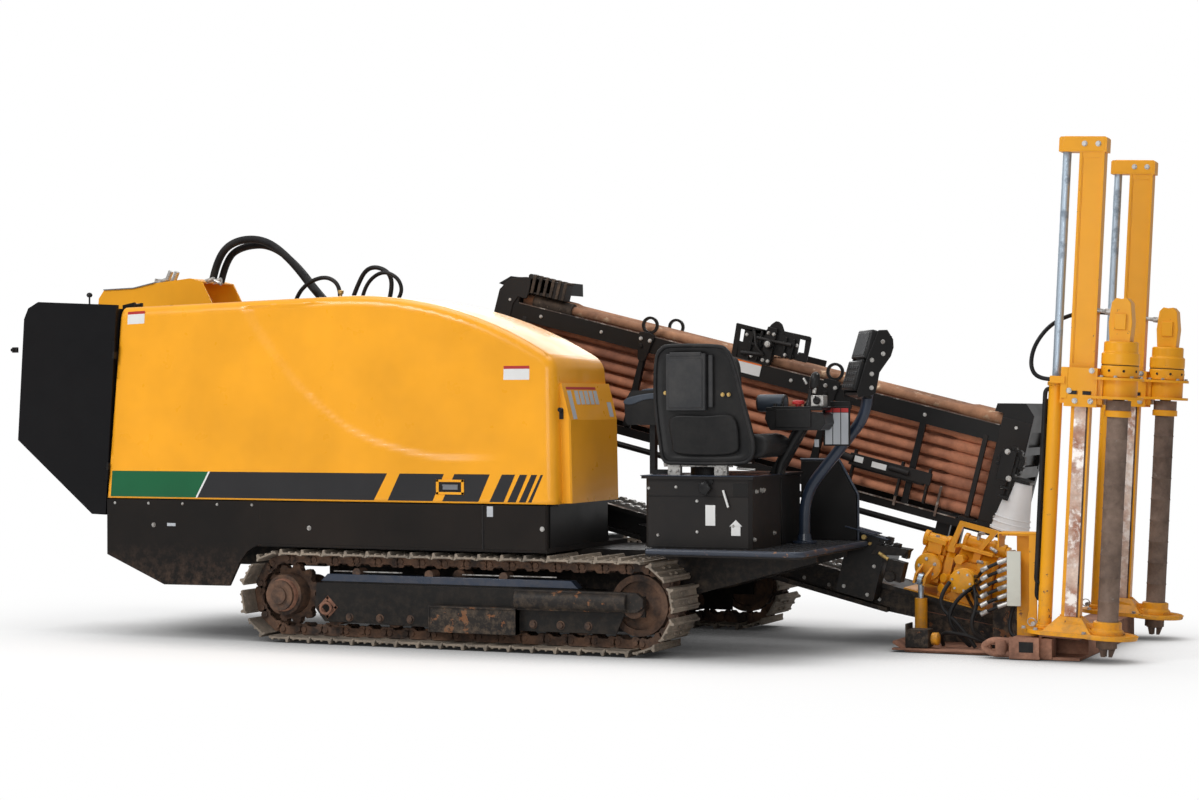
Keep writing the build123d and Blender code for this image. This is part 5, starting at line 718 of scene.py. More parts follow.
def hood_latch():
    """Recessed paddle latch in the stripe band, and the small turn latch at the nose."""
    bm = bmesh.new()
    y = side_y(LATCH_Z)
    wide, tall = 84, 40
    pan_wide, pan_tall = 68, 27
    for x0, x1, z0, z1 in (
        (-wide, wide, pan_tall, tall), (-wide, wide, -tall, -pan_tall),
        (-wide, -pan_wide, -tall, tall), (pan_wide, wide, -tall, tall),
    ):
        slab(bm, (LATCH_X + x0, LATCH_X + x1), (y - 6, y + 4), (LATCH_Z + z0, LATCH_Z + z1))
    piece("latch_frame", bm, "hood_yellow", "hood", soften=1.2)
    bm = bmesh.new()
    slab(bm, (LATCH_X - pan_wide, LATCH_X + pan_wide), (y - 1.5, y + 4),
         (LATCH_Z - pan_tall, LATCH_Z + pan_tall))
    piece("latch_pan", bm, "plastic", "hood", soften=0)
    bm = bmesh.new()
    slab(bm, (-28, 62), (y - 4.5, y - 1), (862, 884))
    bar(bm, (-30, y - 4, 886), (64, y - 4, 886), 3.5, sides=12)
    piece("latch_paddle", bm, "grey_plate", "hood", soften=1)
    bm = bmesh.new()
    bar(bm, (658, -985, 1290), (658, -960, 1290), 12, sides=16)
    slab(bm, (650, 672), (-972, -962), (1240, 1292))
    piece("nose_latch", bm, "black", "hood", soften=1)


def nose_labels():
    """Blank plates on the slanted head of the nose panel."""
    bm = bmesh.new()
    heads = bmesh.new()
    for y0, y1, z0, z1 in ((-860, -812, 1240, 1392), (-372, -318, 1250, 1330)):
        lay_on_head(bm, (y0, y1), (z0, z1))
    for step in range(5):
        start = -770 + step * 62
        lay_on_head(bm, (start, start + 46), (1318, 1392))
    lay_on_head(heads, (-866, -480), (1398, 1412))
    piece("nose_plates", bm, "label_grey", "hood", soften=0)
    piece("nose_plate_heads", heads, "label_red", "hood", soften=0)


NOSE_HEAD_Z = (1235, 1432)
NOSE_HEAD_DEPTH = (58, 12)      # how far the head stands out at its lower and upper edge


def lay_on_head(bm, y, z, lift=0.8):
    """A thin plate on the nose panel's slanted head."""
    made = slab(bm, (0, 1), y, z)
    low, high = NOSE_HEAD_Z
    deep, shallow = NOSE_HEAD_DEPTH
    for v in made:
        share = (v.co.z - low) / (high - low)
        face = 638 + 0.3 - 20 / 765 * (v.co.z - HOOD_FOOT) + deep + (shallow - deep) * share
        v.co.x = face + (lift if v.co.x > 0.5 else -0.5)


def skirt_details():
    """Door in the lower side panel with its seam and fastener, blank labels and the cable plug."""
    bm = bmesh.new()
    slab(bm, (222, 584), (-1002, -997.5), (546, 780))
    slab(bm, (-1180, 208), (-1000.5, -997.5), (548, 778))
    piece("skirt_doors", bm, "skirt_black", "machine", soften=1.4)
    bm = bmesh.new()
    slab(bm, (208, 222), (-1001, -997), (544, 782))
    bar(bm, (214, -1002, 552), (214, -1002, 778), 4, sides=12)
    for z in (560, 640, 700, 770):
        bar(bm, (214, -1002, z - 12), (214, -1002, z + 12), 6, sides=12)
    piece("skirt_hinge", bm, "frame_black", "machine", soften=0.6)
    bm = bmesh.new()
    slab(bm, (238, 274), (-1002.8, -1001.8), (720, 776))
    slab(bm, (-1793, -1737), (-999.8, -997.8), (635, 652))
    piece("skirt_labels", bm, "label_grey", "machine", soften=0)
    bm = bmesh.new()
    bolts(bm, [(-860, -1000, 640), (-1885, -998, 640), (590 - 26, -1002, 660)], (0, -1, 0), 10, 8)
    bolts(bm, [(x, -998, 762) for x in range(-2150, -1200, 230)], (0, -1, 0), 6, 5)
    piece("skirt_bolts", bm, "steel", "machine", soften=0.5)


def rear_door():
    """Handle and ball knob of the rear cover."""
    bm = bmesh.new()
    slab(bm, (-2874, -2838), (-1000, -984), (1632, 1664))
    bar(bm, (-2868, -1010, 1648), (-2868, -978, 1648), 10, sides=16)
    piece("door_handle", bm, "black", "rear_door", soften=2)
    bm = bmesh.new()
    bar(bm, (-2330, -990, 1900), (-2330, -990, 1948), 5, sides=12)
    turned(bm, [(0, 1944), (11, 1947), (17, 1955), (17, 1963), (11, 1971), (0, 1974)], (-2330, -990, 0),
           (0, 0, 1), 20)
    piece("door_knob", bm, "plastic", "rear_door", soften=0)


# Tracks

PITCH_RADIUS = 195
WHEEL_X = 1060
WHEEL_Z = 261
SHOES = 40
SHOE_PITCH = (4 * WHEEL_X + math.tau * PITCH_RADIUS) / SHOES
TRACK_Y = 815
TRACK_HALF = 185
TRACK_OUT = 1000


def along_track(distance):
    """Point on the chain's pitch line and the way the shoe faces there, from above the sprocket."""
    straight, arc = 2 * WHEEL_X, math.pi * PITCH_RADIUS
    distance %= 2 * (straight + arc)
    if distance < straight:
        return -WHEEL_X + distance, PITCH_RADIUS, math.pi / 2
    distance -= straight
    if distance < arc:
        turn = math.pi / 2 - distance / PITCH_RADIUS
        return WHEEL_X + PITCH_RADIUS * math.cos(turn), PITCH_RADIUS * math.sin(turn), turn
    distance -= arc
    if distance < straight:
        return WHEEL_X - distance, -PITCH_RADIUS, -math.pi / 2
    distance -= straight
    turn = -math.pi / 2 - distance / PITCH_RADIUS
    return -WHEEL_X + PITCH_RADIUS * math.cos(turn), PITCH_RADIUS * math.sin(turn), turn


# One shoe seen from its side: along the chain, height over the pitch line
SHOE = [(-69, 27), (-66, 40), (-62, 44), (-60, 63), (-53, 66), (-46, 64), (-40, 45), (-8, 44), (-4, 53),
        (5, 54), (9, 44), (36, 44), (40, 53), (48, 53), (52, 44), (64, 42), (67, 30), (60, 28), (50, 34),
        (-52, 34), (-60, 27)]
LINK = [(-72, -20), (-60, -31), (-38, -31), (-24, -16), (22, -16), (38, -31), (62, -31), (74, -18), (74, 18),
        (60, 31), (-58, 31), (-72, 18)]


def tracks():
    shoes = bmesh.new()
    chain = bmesh.new()
    draw = random.Random(7)
    for side in (-1, 1):
        for place in range(SHOES):
            x, z, turn = along_track((place + 0.5) * SHOE_PITCH)
            stand = Matrix.Translation((x, 0, WHEEL_Z + z)) @ Matrix.Rotation(math.pi / 2 - turn, 4, "Y")
            wear = draw.uniform(-3.0, 0.0)
            outline = [(u, w + (wear if w > 50 else 0)) for u, w in SHOE]
            made = plate(shoes, outline, (side * TRACK_Y - TRACK_HALF, side * TRACK_Y + TRACK_HALF))
            for v in made:
                if v.co.z > 30:
                    v.co.x *= 0.985
            bmesh.ops.transform(shoes, matrix=stand, verts=made)
            for u in (-26, 24):
                for off in (-40, 40):
                    foot = stand @ Vector((u, side * TRACK_Y + off, 43))
                    way = stand.to_3x3() @ Vector((0, 0, 1))
                    bar(shoes, foot, foot + way * 11, 11, sides=6)
            for off in (-46, 46):
                wide = sorted((side * TRACK_Y + off - 9, side * TRACK_Y + off + 9))
                bmesh.ops.transform(chain, matrix=stand, verts=plate(chain, LINK, wide))
                for u in (-48, 50):
                    a = stand @ Vector((u, side * TRACK_Y + off * 1.12, 0))
                    b = stand @ Vector((u, side * TRACK_Y + off * 1.36, 0))
                    bar(chain, a, b, 17, sides=14)
            a, b = (stand @ Vector((-70, side * TRACK_Y + s * 52, 0)) for s in (-1, 1))
            bar(chain, a, b, 13, sides=10)
    piece("track_shoes", shoes, "track", "machine", soften=2.0, smooth=30, stands_for=["tracks"],
          slot="track_steel")
    piece("track_chain", chain, "track_under", "machine", soften=1.2, smooth=35)


def undercarriage():
    """Cast details of the track frames: drive covers, idler yokes, tie-down lugs, steps and guards."""
    for side, label in ((-1, "right"), (1, "left")):
        out = side * TRACK_OUT

        def level(depth):
            return out - side * depth

        def between(near, far):
            return sorted((level(near), level(far)))

        hub = bmesh.new()
        turned(hub, [(0, 0), (40, 0), (46, 8), (50, 22), (84, 26), (90, 34), (92, 60), (104, 64), (108, 84),
                     (108, 116)], (-WHEEL_X, level(4), WHEEL_Z), (0, -side, 0), 40)
        ring = [(-WHEEL_X + 68 * math.cos(math.tau * k / 12), level(28),
                 WHEEL_Z + 68 * math.sin(math.tau * k / 12))
                for k in range(12)]
        bolts(hub, ring, (0, side, 0), 7, 8, washer=False)
        bolts(hub, [(-WHEEL_X, level(4), WHEEL_Z)], (0, side, 0), 13, 3, washer=False)
        piece(label + "_drive_cover", hub, "rust", "machine", soften=1.2)
        iron = bmesh.new()
        teeth = bmesh.new()
        for k in range(11):
            angle = math.tau * (k + 0.5) / 11
            at = Matrix.Translation((-WHEEL_X, side * TRACK_Y, WHEEL_Z)) @ Matrix.Rotation(-angle, 4, "Y")
            bmesh.ops.transform(teeth, matrix=at, verts=plate(
                teeth, [(120, -30), (150, -26), (170, -12), (172, 12), (150, 26), (120, 30)], (-22, 22)))
        piece(label + "_sprocket_teeth", teeth, "track_under", "machine", soften=2)
        # diamond tie-down lug with its ring
        lug = bmesh.new()
        at = Matrix.Translation((-779, level(58), 201)) @ Matrix.Rotation(math.radians(45), 4, "Y")
        for x, z in (((-46, 46), (26, 46)), ((-46, 46), (-46, -26)), ((-46, -26), (-46, 46)),
                     ((26, 46), (-46, 46))):
            slab(lug, x, sorted((0, -side * 30)), z, at)
        hoop(lug, (-779, level(40), 196), (0.2, side, 0.1), 30, 8)
        slab(lug, (-835, -770), between(140, 70), (150, 240))
        piece(label + "_tie_down", lug, "rust", "machine", soften=3)
        step = bmesh.new()
        slab(step, (-122, 400), between(10, 14), (92, 232))
        slab(step, (-122, 400), between(2, 60), (226, 234))
        slab(step, (-122, -114), between(6, 60), (92, 232))
        slab(step, (392, 400), between(6, 60), (92, 232))
        piece(label + "_step_box", step, "worn_black", "machine", soften=2)
        guard = bmesh.new()
        plate(guard, [(-850, 336), (-862, 200), (-800, 122), (-130, 112), (960, 112), (1010, 226),
                      (1010, 336)], between(62, 70))
        slab(guard, (-850, 980), between(258, 266), (108, 300))
        piece(label + "_side_guard", guard, "carrier_black", "machine", soften=1.5)
        sleeve = bmesh.new()
        plate(sleeve, [(384, 226), (1090, 232), (1128, 258), (1128, 306), (1090, 336), (384, 336)],
              between(24, 58))
        bar(sleeve, (392, level(45), 281), (1036, level(45), 281), 52, sides=28)
        hoop(sleeve, (430, level(21), 284), (0, 1, 0), 34, 6)
        piece(label + "_tension_sleeve", sleeve, "worn_black", "machine", soften=4)
        # Dark discs on the sleeve and its yoke stand for their holes: painted shade inside them.
        hole = bmesh.new()
        bar(hole, (430, level(18), 284), (430, level(30), 284), 30, sides=24)
        bar(hole, (905, level(18), 268), (905, level(30), 268), 16, sides=20)
        piece(label + "_sleeve_hole", hole, "rubber", "machine", soften=0)
        top = bmesh.new()
        plate(top, [(-822, 346), (740, 346), (700, 386), (-780, 386)], between(62, 130))
        piece(label + "_frame_roof", top, "blue_black", "machine", soften=2)
        rail = bmesh.new()
        slab(rail, (-760, -330), between(96, 102), (396, 403))
        slab(rail, (40, 600), between(96, 102), (396, 403))
        for x in (-600, -150, 300):
            bar(iron, (x, level(150), 395), (x, level(66), 395), 26, sides=20)
        for x in (-640, -450, -260, 480, 640, 800):
            bolts(iron, [(x, level(62), 150)], (0, side, 0), 18, 14)
        piece(label + "_frame_rails", rail, "steel", "machine", soften=0.8)
        piece(label + "_carrier_pins", iron, "track_under", "machine", soften=1)
        yoke = bmesh.new()
        bar(yoke, (WHEEL_X, level(74), WHEEL_Z), (WHEEL_X, level(58), WHEEL_Z), 62, sides=28)
        bar(yoke, (WHEEL_X, level(74), WHEEL_Z), (WHEEL_X, level(48), WHEEL_Z), 30, sides=20)
        turned(yoke, [(128, 0), (158, 2), (163, 10), (163, 90), (158, 98), (128, 100)],
               (WHEEL_X, side * TRACK_Y - 50, WHEEL_Z), (0, 1, 0), 44)
        piece(label + "_idler_rim", yoke, "track_under", "machine", soften=1.5)


# Operator's station

def bent(bm, corners, radius, sides=16, bend=400.0):
    """A tube along straight runs joined by smooth bends."""
    points = [Vector(corner) for corner in corners]
    path = [points[0]]
    for before, corner, after in zip(points, points[1:], points[2:]):
        reach = min(bend, 0.45 * min((corner - before).length, (after - corner).length))
        enter = corner + (before - corner).normalized() * reach
        leave = corner + (after - corner).normalized() * reach
        for step in range(7):
            t = step / 6
            path.append(enter * (1 - t) ** 2 + corner * 2 * t * (1 - t) + leave * t * t)
    path.append(points[-1])
    return swept(bm, path, radius, sides)


def swept(bm, path, radius, sides=16, closed=False):
    """A tube of round section through the points of a path."""
    count = len(path)
    ahead = []
    for i in range(count):
        after = path[(i + 1) % count] if closed else path[min(i + 1, count - 1)]
        before = path[i - 1] if closed else path[max(i - 1, 0)]
        ahead.append((after - before).normalized())
    side = ahead[0].orthogonal().normalized()
    rings = []
    for at, way in zip(path, ahead):
        side = (side - way * side.dot(way)).normalized()
        other = way.cross(side)
        angles = [math.tau * k / sides for k in range(sides)]
        rings.append([bm.verts.new(at + (side * math.cos(a) + other * math.sin(a)) * radius) for a in angles])
    pairs = list(zip(rings, rings[1:]))
    if closed:
        pairs.append((rings[-1], rings[0]))
    for first, last in pairs:
        for k in range(sides):
            bm.faces.new((first[k - 1], first[k], last[k], last[k - 1]))
    if not closed:
        bm.faces.new(rings[0])
        bm.faces.new(rings[-1])
    return [v for ring in rings for v in ring]


def rounded(points, steps=5):
    """A closed outline with its corners drawn round."""
    smooth = []
    count = len(points)
    for i in range(count):
        a, b, c, d = (Vector(points[(i + k) % count]) for k in (-1, 0, 1, 2))
        for step in range(steps):
            t = step / steps
            spot = 0.5 * (2 * b + (c - a) * t + (2 * a - 5 * b + 4 * c - d) * t * t
                          + (3 * b - a - 3 * c + d) * t ** 3)
            smooth.append(tuple(spot))
    return smooth


SHELL = [(1196, 1024), (1170, 1130), (1146, 1340), (1150, 1540), (1180, 1604), (1240, 1622), (1480, 1618),
         (1548, 1590), (1590, 1490), (1630, 1338), (1674, 1180), (1690, 1090), (1660, 1024), (1560, 1010),
         (1290, 1010)]
SHELL_Y = -840


def seat():
    """Moulded seat shell with its trim and document box, and the two pads in it."""
    outline = rounded(SHELL)
    middle = Vector((1400, 1310))
    bm = bmesh.new()
    rings = []
    for inset, y in ((0.0, 44), (0.0, 8), (0.02, 0), (0.05, -3), (0.10, 2), (0.16, 6)):
        ring = []
        for x, z in outline:
            spot = Vector((x, z)).lerp(middle, inset)
            ring.append(bm.verts.new((spot.x, SHELL_Y + y, spot.y)))
        rings.append(ring)
    for first, last in zip(rings, rings[1:]):
        for k in range(len(outline)):
            bm.faces.new((first[k - 1], first[k], last[k], last[k - 1]))
    bm.faces.new(rings[0])
    bm.faces.new(rings[-1])
    slab(bm, (1165, 1600), (SHELL_Y + 20, -380), (1030, 1052))
    for x in (1172, 1590):
        slab(bm, (x - 8, x + 8), (SHELL_Y + 40, -400), (1030, 1120))
    piece("seat_moulding", bm, "plastic", "machine", soften=4, smooth=50, stands_for=["seat_shell"])
    bm = bmesh.new()
    swept(bm, [Vector((x, SHELL_Y - 2, z)) for x, z in outline], 10, 12, closed=True)
    piece("seat_trim", bm, "vinyl", "machine", soften=0, smooth=80)
    bm = bmesh.new()
    slab(bm, (1214, 1434), (SHELL_Y - 26, SHELL_Y + 4), (1284, 1580))
    slab(bm, (1228, 1420), (SHELL_Y - 30, SHELL_Y - 20), (1296, 1556))
    slab(bm, (1236, 1412), (SHELL_Y - 30, SHELL_Y - 8), (1566, 1588))
    slab(bm, (1446, 1470), (SHELL_Y - 12, SHELL_Y + 4), (1300, 1572))
    piece("seat_document_box", bm, "grey_plastic", "machine", soften=7)
    bm = bmesh.new()
    lower = rounded([(1236, 1250), (1240, 1120), (1262, 1062), (1420, 1050), (1584, 1062), (1612, 1120),
                     (1580, 1254), (1420, 1258)], 4)
    plate(bm, lower, (SHELL_Y - 14, SHELL_Y + 5))
    piece("seat_lower_panel", bm, "plastic", "machine", soften=9)
    bm = bmesh.new()
    for x, z in ((1202, 1376), (1216, 1376), (1522, 1366), (1556, 1366)):
        bolts(bm, [(x, SHELL_Y - 2, z)], (0, -1, 0), 8, 10)
    bolts(bm, [(1262, SHELL_Y - 2, 1086), (1520, SHELL_Y - 2, 1086)], (0, -1, 0), 6, 6)
    piece("seat_screws", bm, "brass", "machine", soften=0.8)
    pad("seat_back_pad", (1380, -755, 1330), (205, 66, 245), "seat_back")
    pad("seat_cushion_pad", (1382, -560, 1102), (225, 188, 50), "seat_cushion")
    bm = bmesh.new()
    for x0, x1, lean in ((1150, 1212, -14), (1610, 1716, 30)):
        plate(bm, rounded([(x0, 1050), (x1, 1046), (x1 + lean, 1130), (x0 + lean, 1160)], 3), (-790, -420))
    piece("seat_bolsters", bm, "vinyl", "machine", soften=16, smooth=60)


def pad(name, middle, half, stands_for):
    """A stuffed pad: full in the middle, drawn in at its edges, with two sewn channels."""
    bm = bmesh.new()
    bmesh.ops.create_cube(bm, size=2.0)
    bmesh.ops.subdivide_edges(bm, edges=bm.edges, cuts=15, use_grid_fill=True)
    thin = min(range(3), key=lambda axis: half[axis])
    wide = [axis for axis in range(3) if axis != thin]
    for v in bm.verts:
        a, b, t = v.co[wide[0]], v.co[wide[1]], v.co[thin]
        crown = (1 - abs(a) ** 2.6) * (1 - abs(b) ** 2.6)
        seam = min(abs(abs(a) - 0.45) / 0.07, 1.0)
        full = 0.42 + 0.58 * max(crown, 0.0) ** 0.55 - 0.14 * (1 - seam) * max(crown, 0.0)
        corner = 1 - 0.10 * (abs(a) * abs(b)) ** 4
        side = 1 - 0.03 * (1 - t * t)
        v.co[wide[0]] = a * corner * side
        v.co[wide[1]] = b * corner * side
        v.co[thin] = t * full
        v.co = Vector((v.co.x * half[0], v.co.y * half[1], v.co.z * half[2]))
    bmesh.ops.translate(bm, vec=middle, verts=bm.verts)
    made = piece(name, bm, "vinyl", "machine", soften=0, smooth=180, stands_for=[stands_for])


def seat_stand():
    """Fittings on the seat's box: knob, lever, blank labels, seams, screws, the skin of its lid, its back and
    the slide rails.
    """
    y = -900
    bm = bmesh.new()
    turned(bm, [(0, 0), (14, 0), (14, 14), (30, 16), (34, 22), (32, 32), (22, 36), (0, 37)], (1451, y, 884),
           (0, -1, 0), 10)
    for k in range(5):
        turn = math.tau * k / 5
        bar(bm, (1451 + 27 * math.cos(turn), y - 16, 884 + 27 * math.sin(turn)),
            (1451 + 27 * math.cos(turn), y - 34, 884 + 27 * math.sin(turn)), 10, sides=12)
    bar(bm, (1480, y, 918), (1480, y - 8, 918), 14, sides=16)
    piece("height_knob", bm, "plastic", "machine", soften=2)
    bm = bmesh.new()
    bar(bm, (1549, y - 10, 874), (1578, y - 12, 786), 6, sides=12)
    slab(bm, (1448, 1502), (y - 1.6, y + 0.5), (690, 796))
    slab(bm, (1590, 1640), (y - 1.6, y + 0.5), (640, 690))
    plate(bm, [(1580, 688), (1650, 688), (1615, 722)], (y - 1.6, y + 0.5))
    piece("seat_box_labels", bm, "label_white", "machine", soften=0.4)
    bm = bmesh.new()
    slab(bm, (1600, 1682), (y - 1.8, y + 0.5), (842, 908))
    slab(bm, (1128, 1690), (y - 3, y + 0.5), (838, 842))
    slab(bm, (1122, 1690), (y - 4, y + 0.5), (572, 580))
    piece("seat_box_seams", bm, "black", "machine", soften=0.5)
    bm = bmesh.new()
    bolts(bm, [(1284, y, 887), (1401, y, 816), (1401, y, 656), (1182, y, 636), (1130, y, 880),
               (1600, y, 690)], (0, -1, 0), 6, 7)
    bolts(bm, [(1700, -830, 866), (1700, -760, 872), (1700, -735, 866), (1700, -720, 872), (1700, -560, 640),
               (1700, -860, 620)], (1, 0, 0), 9, 12)
    piece("seat_box_screws", bm, "steel", "machine", soften=0.6)
    bm = bmesh.new()
    slab(bm, (1090, 1720), (-920, -410), (944.3, 948))
    piece("seat_lid_skin", bm, "blue_black", "machine", soften=1)
    bm = bmesh.new()
    slab(bm, (1300, 1699), (-428, -130), (570.5, 938))
    slab(bm, (1290, 1712), (-414, -120), (938, 952))
    piece("seat_box_back", bm, "black", "machine", soften=3)
    bm = bmesh.new()
    for x in (1210, 1470):
        slab(bm, (x, x + 70), (-830, -800), (948, 1004))
        bolts(bm, [(x + 14, -830, 972), (x + 56, -830, 972)], (0, -1, 0), 7, 9)
    slab(bm, (1180, 1560), (-812, -790), (990, 1008))
    slab(bm, (1230, 1660), (-800, -780), (1010, 1016))
    bar(bm, (1590, -815, 985), (1690, -815, 978), 7, sides=10)
    piece("seat_slide_rails", bm, "steel", "machine", soften=1)


def armrests():
    bm = bmesh.new()
    plate(bm, rounded([(884, 1322), (900, 1350), (1000, 1372), (1084, 1376), (1090, 1352), (1000, 1340),
                       (930, 1316)], 3), (-656, -424))
    plate(bm, rounded([(970, 1360), (985, 1396), (1088, 1402), (1094, 1368)], 3), (-640, -500))
    piece("right_arm_pad", bm, "blue_vinyl", "machine", soften=8, smooth=60)
    bm = bmesh.new()
    roll = [(30, 0), (41, 4), (46, 14), (46, 140), (41, 150), (30, 154), (0, 155)]
    turned(bm, [(0, 0), *roll], (1582, -465, 1322), (1, 0, 0), 32)
    piece("left_arm_roll", bm, "blue_vinyl", "machine", soften=0, smooth=60)
    bm = bmesh.new()
    slab(bm, (1660, 1968), (-564, -366), (1283, 1300))
    slab(bm, (1712, 1908), (-568, -556), (1192, 1290))
    slab(bm, (1690, 1992), (-566, -380), (1296, 1304))
    piece("console_top", bm, "plastic", "machine", soften=6)
    bm = bmesh.new()
    turned(bm, [(0, 0), (30, 0), (31, 12), (20, 24), (17, 40), (12, 60), (12, 96)], (1880, -500, 1300),
           (0.05, 0, 1), 20)
    turned(bm, [(10, 92), (20, 98), (26, 116), (27, 150), (20, 178), (8, 188), (0, 189)], (1880, -500, 1300),
           (0.22, -0.05, 1), 20)
    piece("joystick", bm, "plastic", "machine", soften=0, smooth=50)
    bm = bmesh.new()
    bar(bm, (1908, -512, 1372), (1926, -516, 1476), 11, 8, sides=14)
    bar(bm, (1868, -510, 1420), (1850, -512, 1452), 7, sides=10)
    slab(bm, (1900, 1968), (-540, -470), (1304, 1362))
    piece("joystick_metal", bm, "steel", "machine", soften=3)
    bm = bmesh.new()
    turned(bm, [(0, 0), (16, 0), (16, 12), (32, 14), (34, 24), (26, 34), (0, 36)], (1828, -530, 1302),
           (0, 0, 1), 24)
    piece("stop_button", bm, "red", "machine", soften=0, smooth=50)
    bm = bmesh.new()
    turned(bm, [(0, 0), (20, 0), (20, 10), (14, 20), (0, 21)], (1934, -540, 1334), (0, -1, 0), 20)
    bar(bm, (1934, -555, 1338), (1938, -580, 1356), 5, sides=10)
    for x in (1700, 1740):
        turned(bm, [(0, 0), (12, 0), (10, 16), (0, 17)], (x, -530, 1302), (0, 0, 1), 14)
    piece("console_knobs", bm, "plastic", "machine", soften=0, smooth=50)
    bm = bmesh.new()
    slab(bm, (1925, 2070), (-410, -396), (1096, 1304))
    slab(bm, (1960, 2070), (-400, -372), (1290, 1330))
    piece("chart_plate", bm, "black", "machine", soften=2)
    white = bmesh.new()
    heads = bmesh.new()
    for column in range(3):
        x = 1936 + 44 * column
        slab(white, (x, x + 39), (-412, -409.5), (1104, 1270))
        slab(heads, (x, x + 39), (-412, -409.5), (1272, 1294))
    slab(white, (1880, 1904), (-424, -421), (1090, 1130))
    piece("chart_columns", white, "label_grey", "machine", soften=0)
    piece("chart_heads", heads, "label_red", "machine", soften=0)
    bm = bmesh.new()
    bent(bm, [(1690, -445, 948), (1700, -445, 1000), (1790, -445, 1150), (1830, -445, 1200)], 30, 18)
    piece("console_strut", bm, "black", "machine", soften=0, smooth=50)


DISPLAY = (Matrix.Translation((2128, -250, 1528)) @ Matrix.Rotation(math.radians(37), 4, "Z")
           @ Matrix.Rotation(math.radians(17), 4, "Y"))


def display():
    """Turned and leaning screen over its key panel, on a bent tube."""
    bm = bmesh.new()
    bent(bm, [(1764, -250, 572), (1766, -250, 840), (1990, -250, 1110), (2104, -250, 1250),
              (2126, -250, 1420)], 30, 20)
    turned(bm, [(0, 0), (66, 0), (66, 10), (40, 14), (34, 50)], (1764, -250, 572), (0, 0, 1), 24)
    piece("display_tube", bm, "blue_black", "machine", soften=1, smooth=50, stands_for=["display"])
    bm = bmesh.new()
    slab(bm, (-72, -28), (-108, 108), (8, 168), DISPLAY)
    slab(bm, (-82, -44), (-98, 98), (-166, -6), DISPLAY)
    slab(bm, (-60, -10), (-60, 60), (-20, 40), DISPLAY)
    piece("display_screen_case", bm, "plastic", "machine", soften=8)
    bm = bmesh.new()
    for side in (-1, 1):
        edge = sorted((side * 108, side * 114))
        plate(bm, rounded([(-40, 172), (52, 150), (66, 60), (30, -40), (40, -150), (-20, -186),
                           (-60, -170)], 2), edge, DISPLAY)
    slab(bm, (-30, 44), (-108, 108), (156, 164), DISPLAY)
    slab(bm, (24, 32), (-100, 100), (-120, 120), DISPLAY)
    slab(bm, (-50, 30), (-106, 106), (-186, -172), DISPLAY)
    piece("display_bracket", bm, "black", "machine", soften=2)
    bm = bmesh.new()
    slab(bm, (-74, -70), (-86, 86), (26, 150), DISPLAY)
    piece("display_screen", bm, "screen", "machine", soften=1)
    bm = bmesh.new()
    for row in range(4):
        for column in range(5):
            y, z = -72 + 36 * column, -146 + 34 * row
            slab(bm, (-85, -81), (y - 11, y + 11), (z - 9, z + 9), DISPLAY)
    piece("display_keys", bm, "grey_plastic", "machine", soften=2)
    bm = bmesh.new()
    for x, z in ((0, 120), (20, 60), (-10, -60), (10, -130), (-30, 10)):
        foot = DISPLAY @ Vector((x, -114, z))
        bolts(bm, [foot], DISPLAY.to_3x3() @ Vector((0, -1, 0)), 9, 12)
    piece("display_bolts", bm, "steel", "machine", soften=0.8)


def deck():
    """Rolled lip round the platform, worn through its paint, and the tread on top."""
    bm = bmesh.new()
    bent(bm, [(1160, -1002, 556), (1970, -1002, 556), (2000, -970, 556), (2000, 84, 556)], 15, 14, bend=40)
    piece("deck_lip", bm, "deck_edge", "machine", soften=0, smooth=50)
    bm = bmesh.new()
    for x in range(1190, 1990, 56):
        for y in range(-970, 60, 56):
            if 1090 < x < 1730 and -930 < y < -400:
                continue
            lean = 1 if (x // 56 + y // 56) % 2 else -1
            turn = Matrix.Translation((x, y, 570.5)) @ Matrix.Rotation(lean * math.pi / 4, 4, "Z")
            slab(bm, (-17, 17), (-4, 4), (-1, 2), turn)
    piece("deck_tread", bm, "deck_wear", "machine", soften=0)
    bm = bmesh.new()
    bent(bm, [(1628, 86, 1012), (1850, 86, 1012), (1958, 86, 822), (1958, 86, 566)], 7, 10, bend=10)
    piece("foot_guard_edge", bm, "deck_edge", "machine", soften=0)
    bm = bmesh.new()
    plate(bm, [(1634, 572), (1950, 572), (1950, 818), (1846, 1004), (1634, 1004)], (73, 84.5))
    piece("foot_guard_sheet", bm, "black", "machine", soften=1)


# Thrust frame and what it carries, in the frame's own sloping coordinates

ROD_REAR, ROD_FRONT = -602, 2448
ROD_LOW, ROD_PITCH, ROD_ROWS = 460.3, 67.6, 9
ROD_COLUMNS = (695, 787, 879, 971)
ROD_PROFILE = [(0, 0), (34, 2), (34, 226), (26, 262), (26, 2788), (34, 2824), (34, 3048), (0, 3050)]
RAIL_TOP = 975
BOX_Y = (615, 1051)


def rods():
    draw = random.Random(3)
    stacked, lit = bmesh.new(), bmesh.new()
    for column, y in enumerate(ROD_COLUMNS):
        for row in range(ROD_ROWS):
            hidden = column in (1, 2) and row < ROD_ROWS - 1
            if hidden:
                continue
            # The top row goes into its own mesh with a paler copy of the rod finish: painted light on the row
            # that faces the light.
            on_top = row == ROD_ROWS - 1
            w = ROD_LOW + ROD_PITCH * row
            turned(lit if on_top else stacked, ROD_PROFILE, (ROD_REAR, y + draw.uniform(-1, 1), w),
                   (1, 0, 0), 24)
    for y in ROD_COLUMNS[1:3]:
        slab(stacked, (ROD_REAR + 4, ROD_FRONT - 4), (y - 26, y + 26),
             (ROD_LOW - 34, ROD_LOW + 7.4 * ROD_PITCH))
    on_rack("stacked_rods", stacked, "rod", soften=0, smooth=30, stands_for=["drill_rods"],
            slot="rod_steel")
    on_rack("top_rods", lit, "rod_top", soften=0, smooth=30)


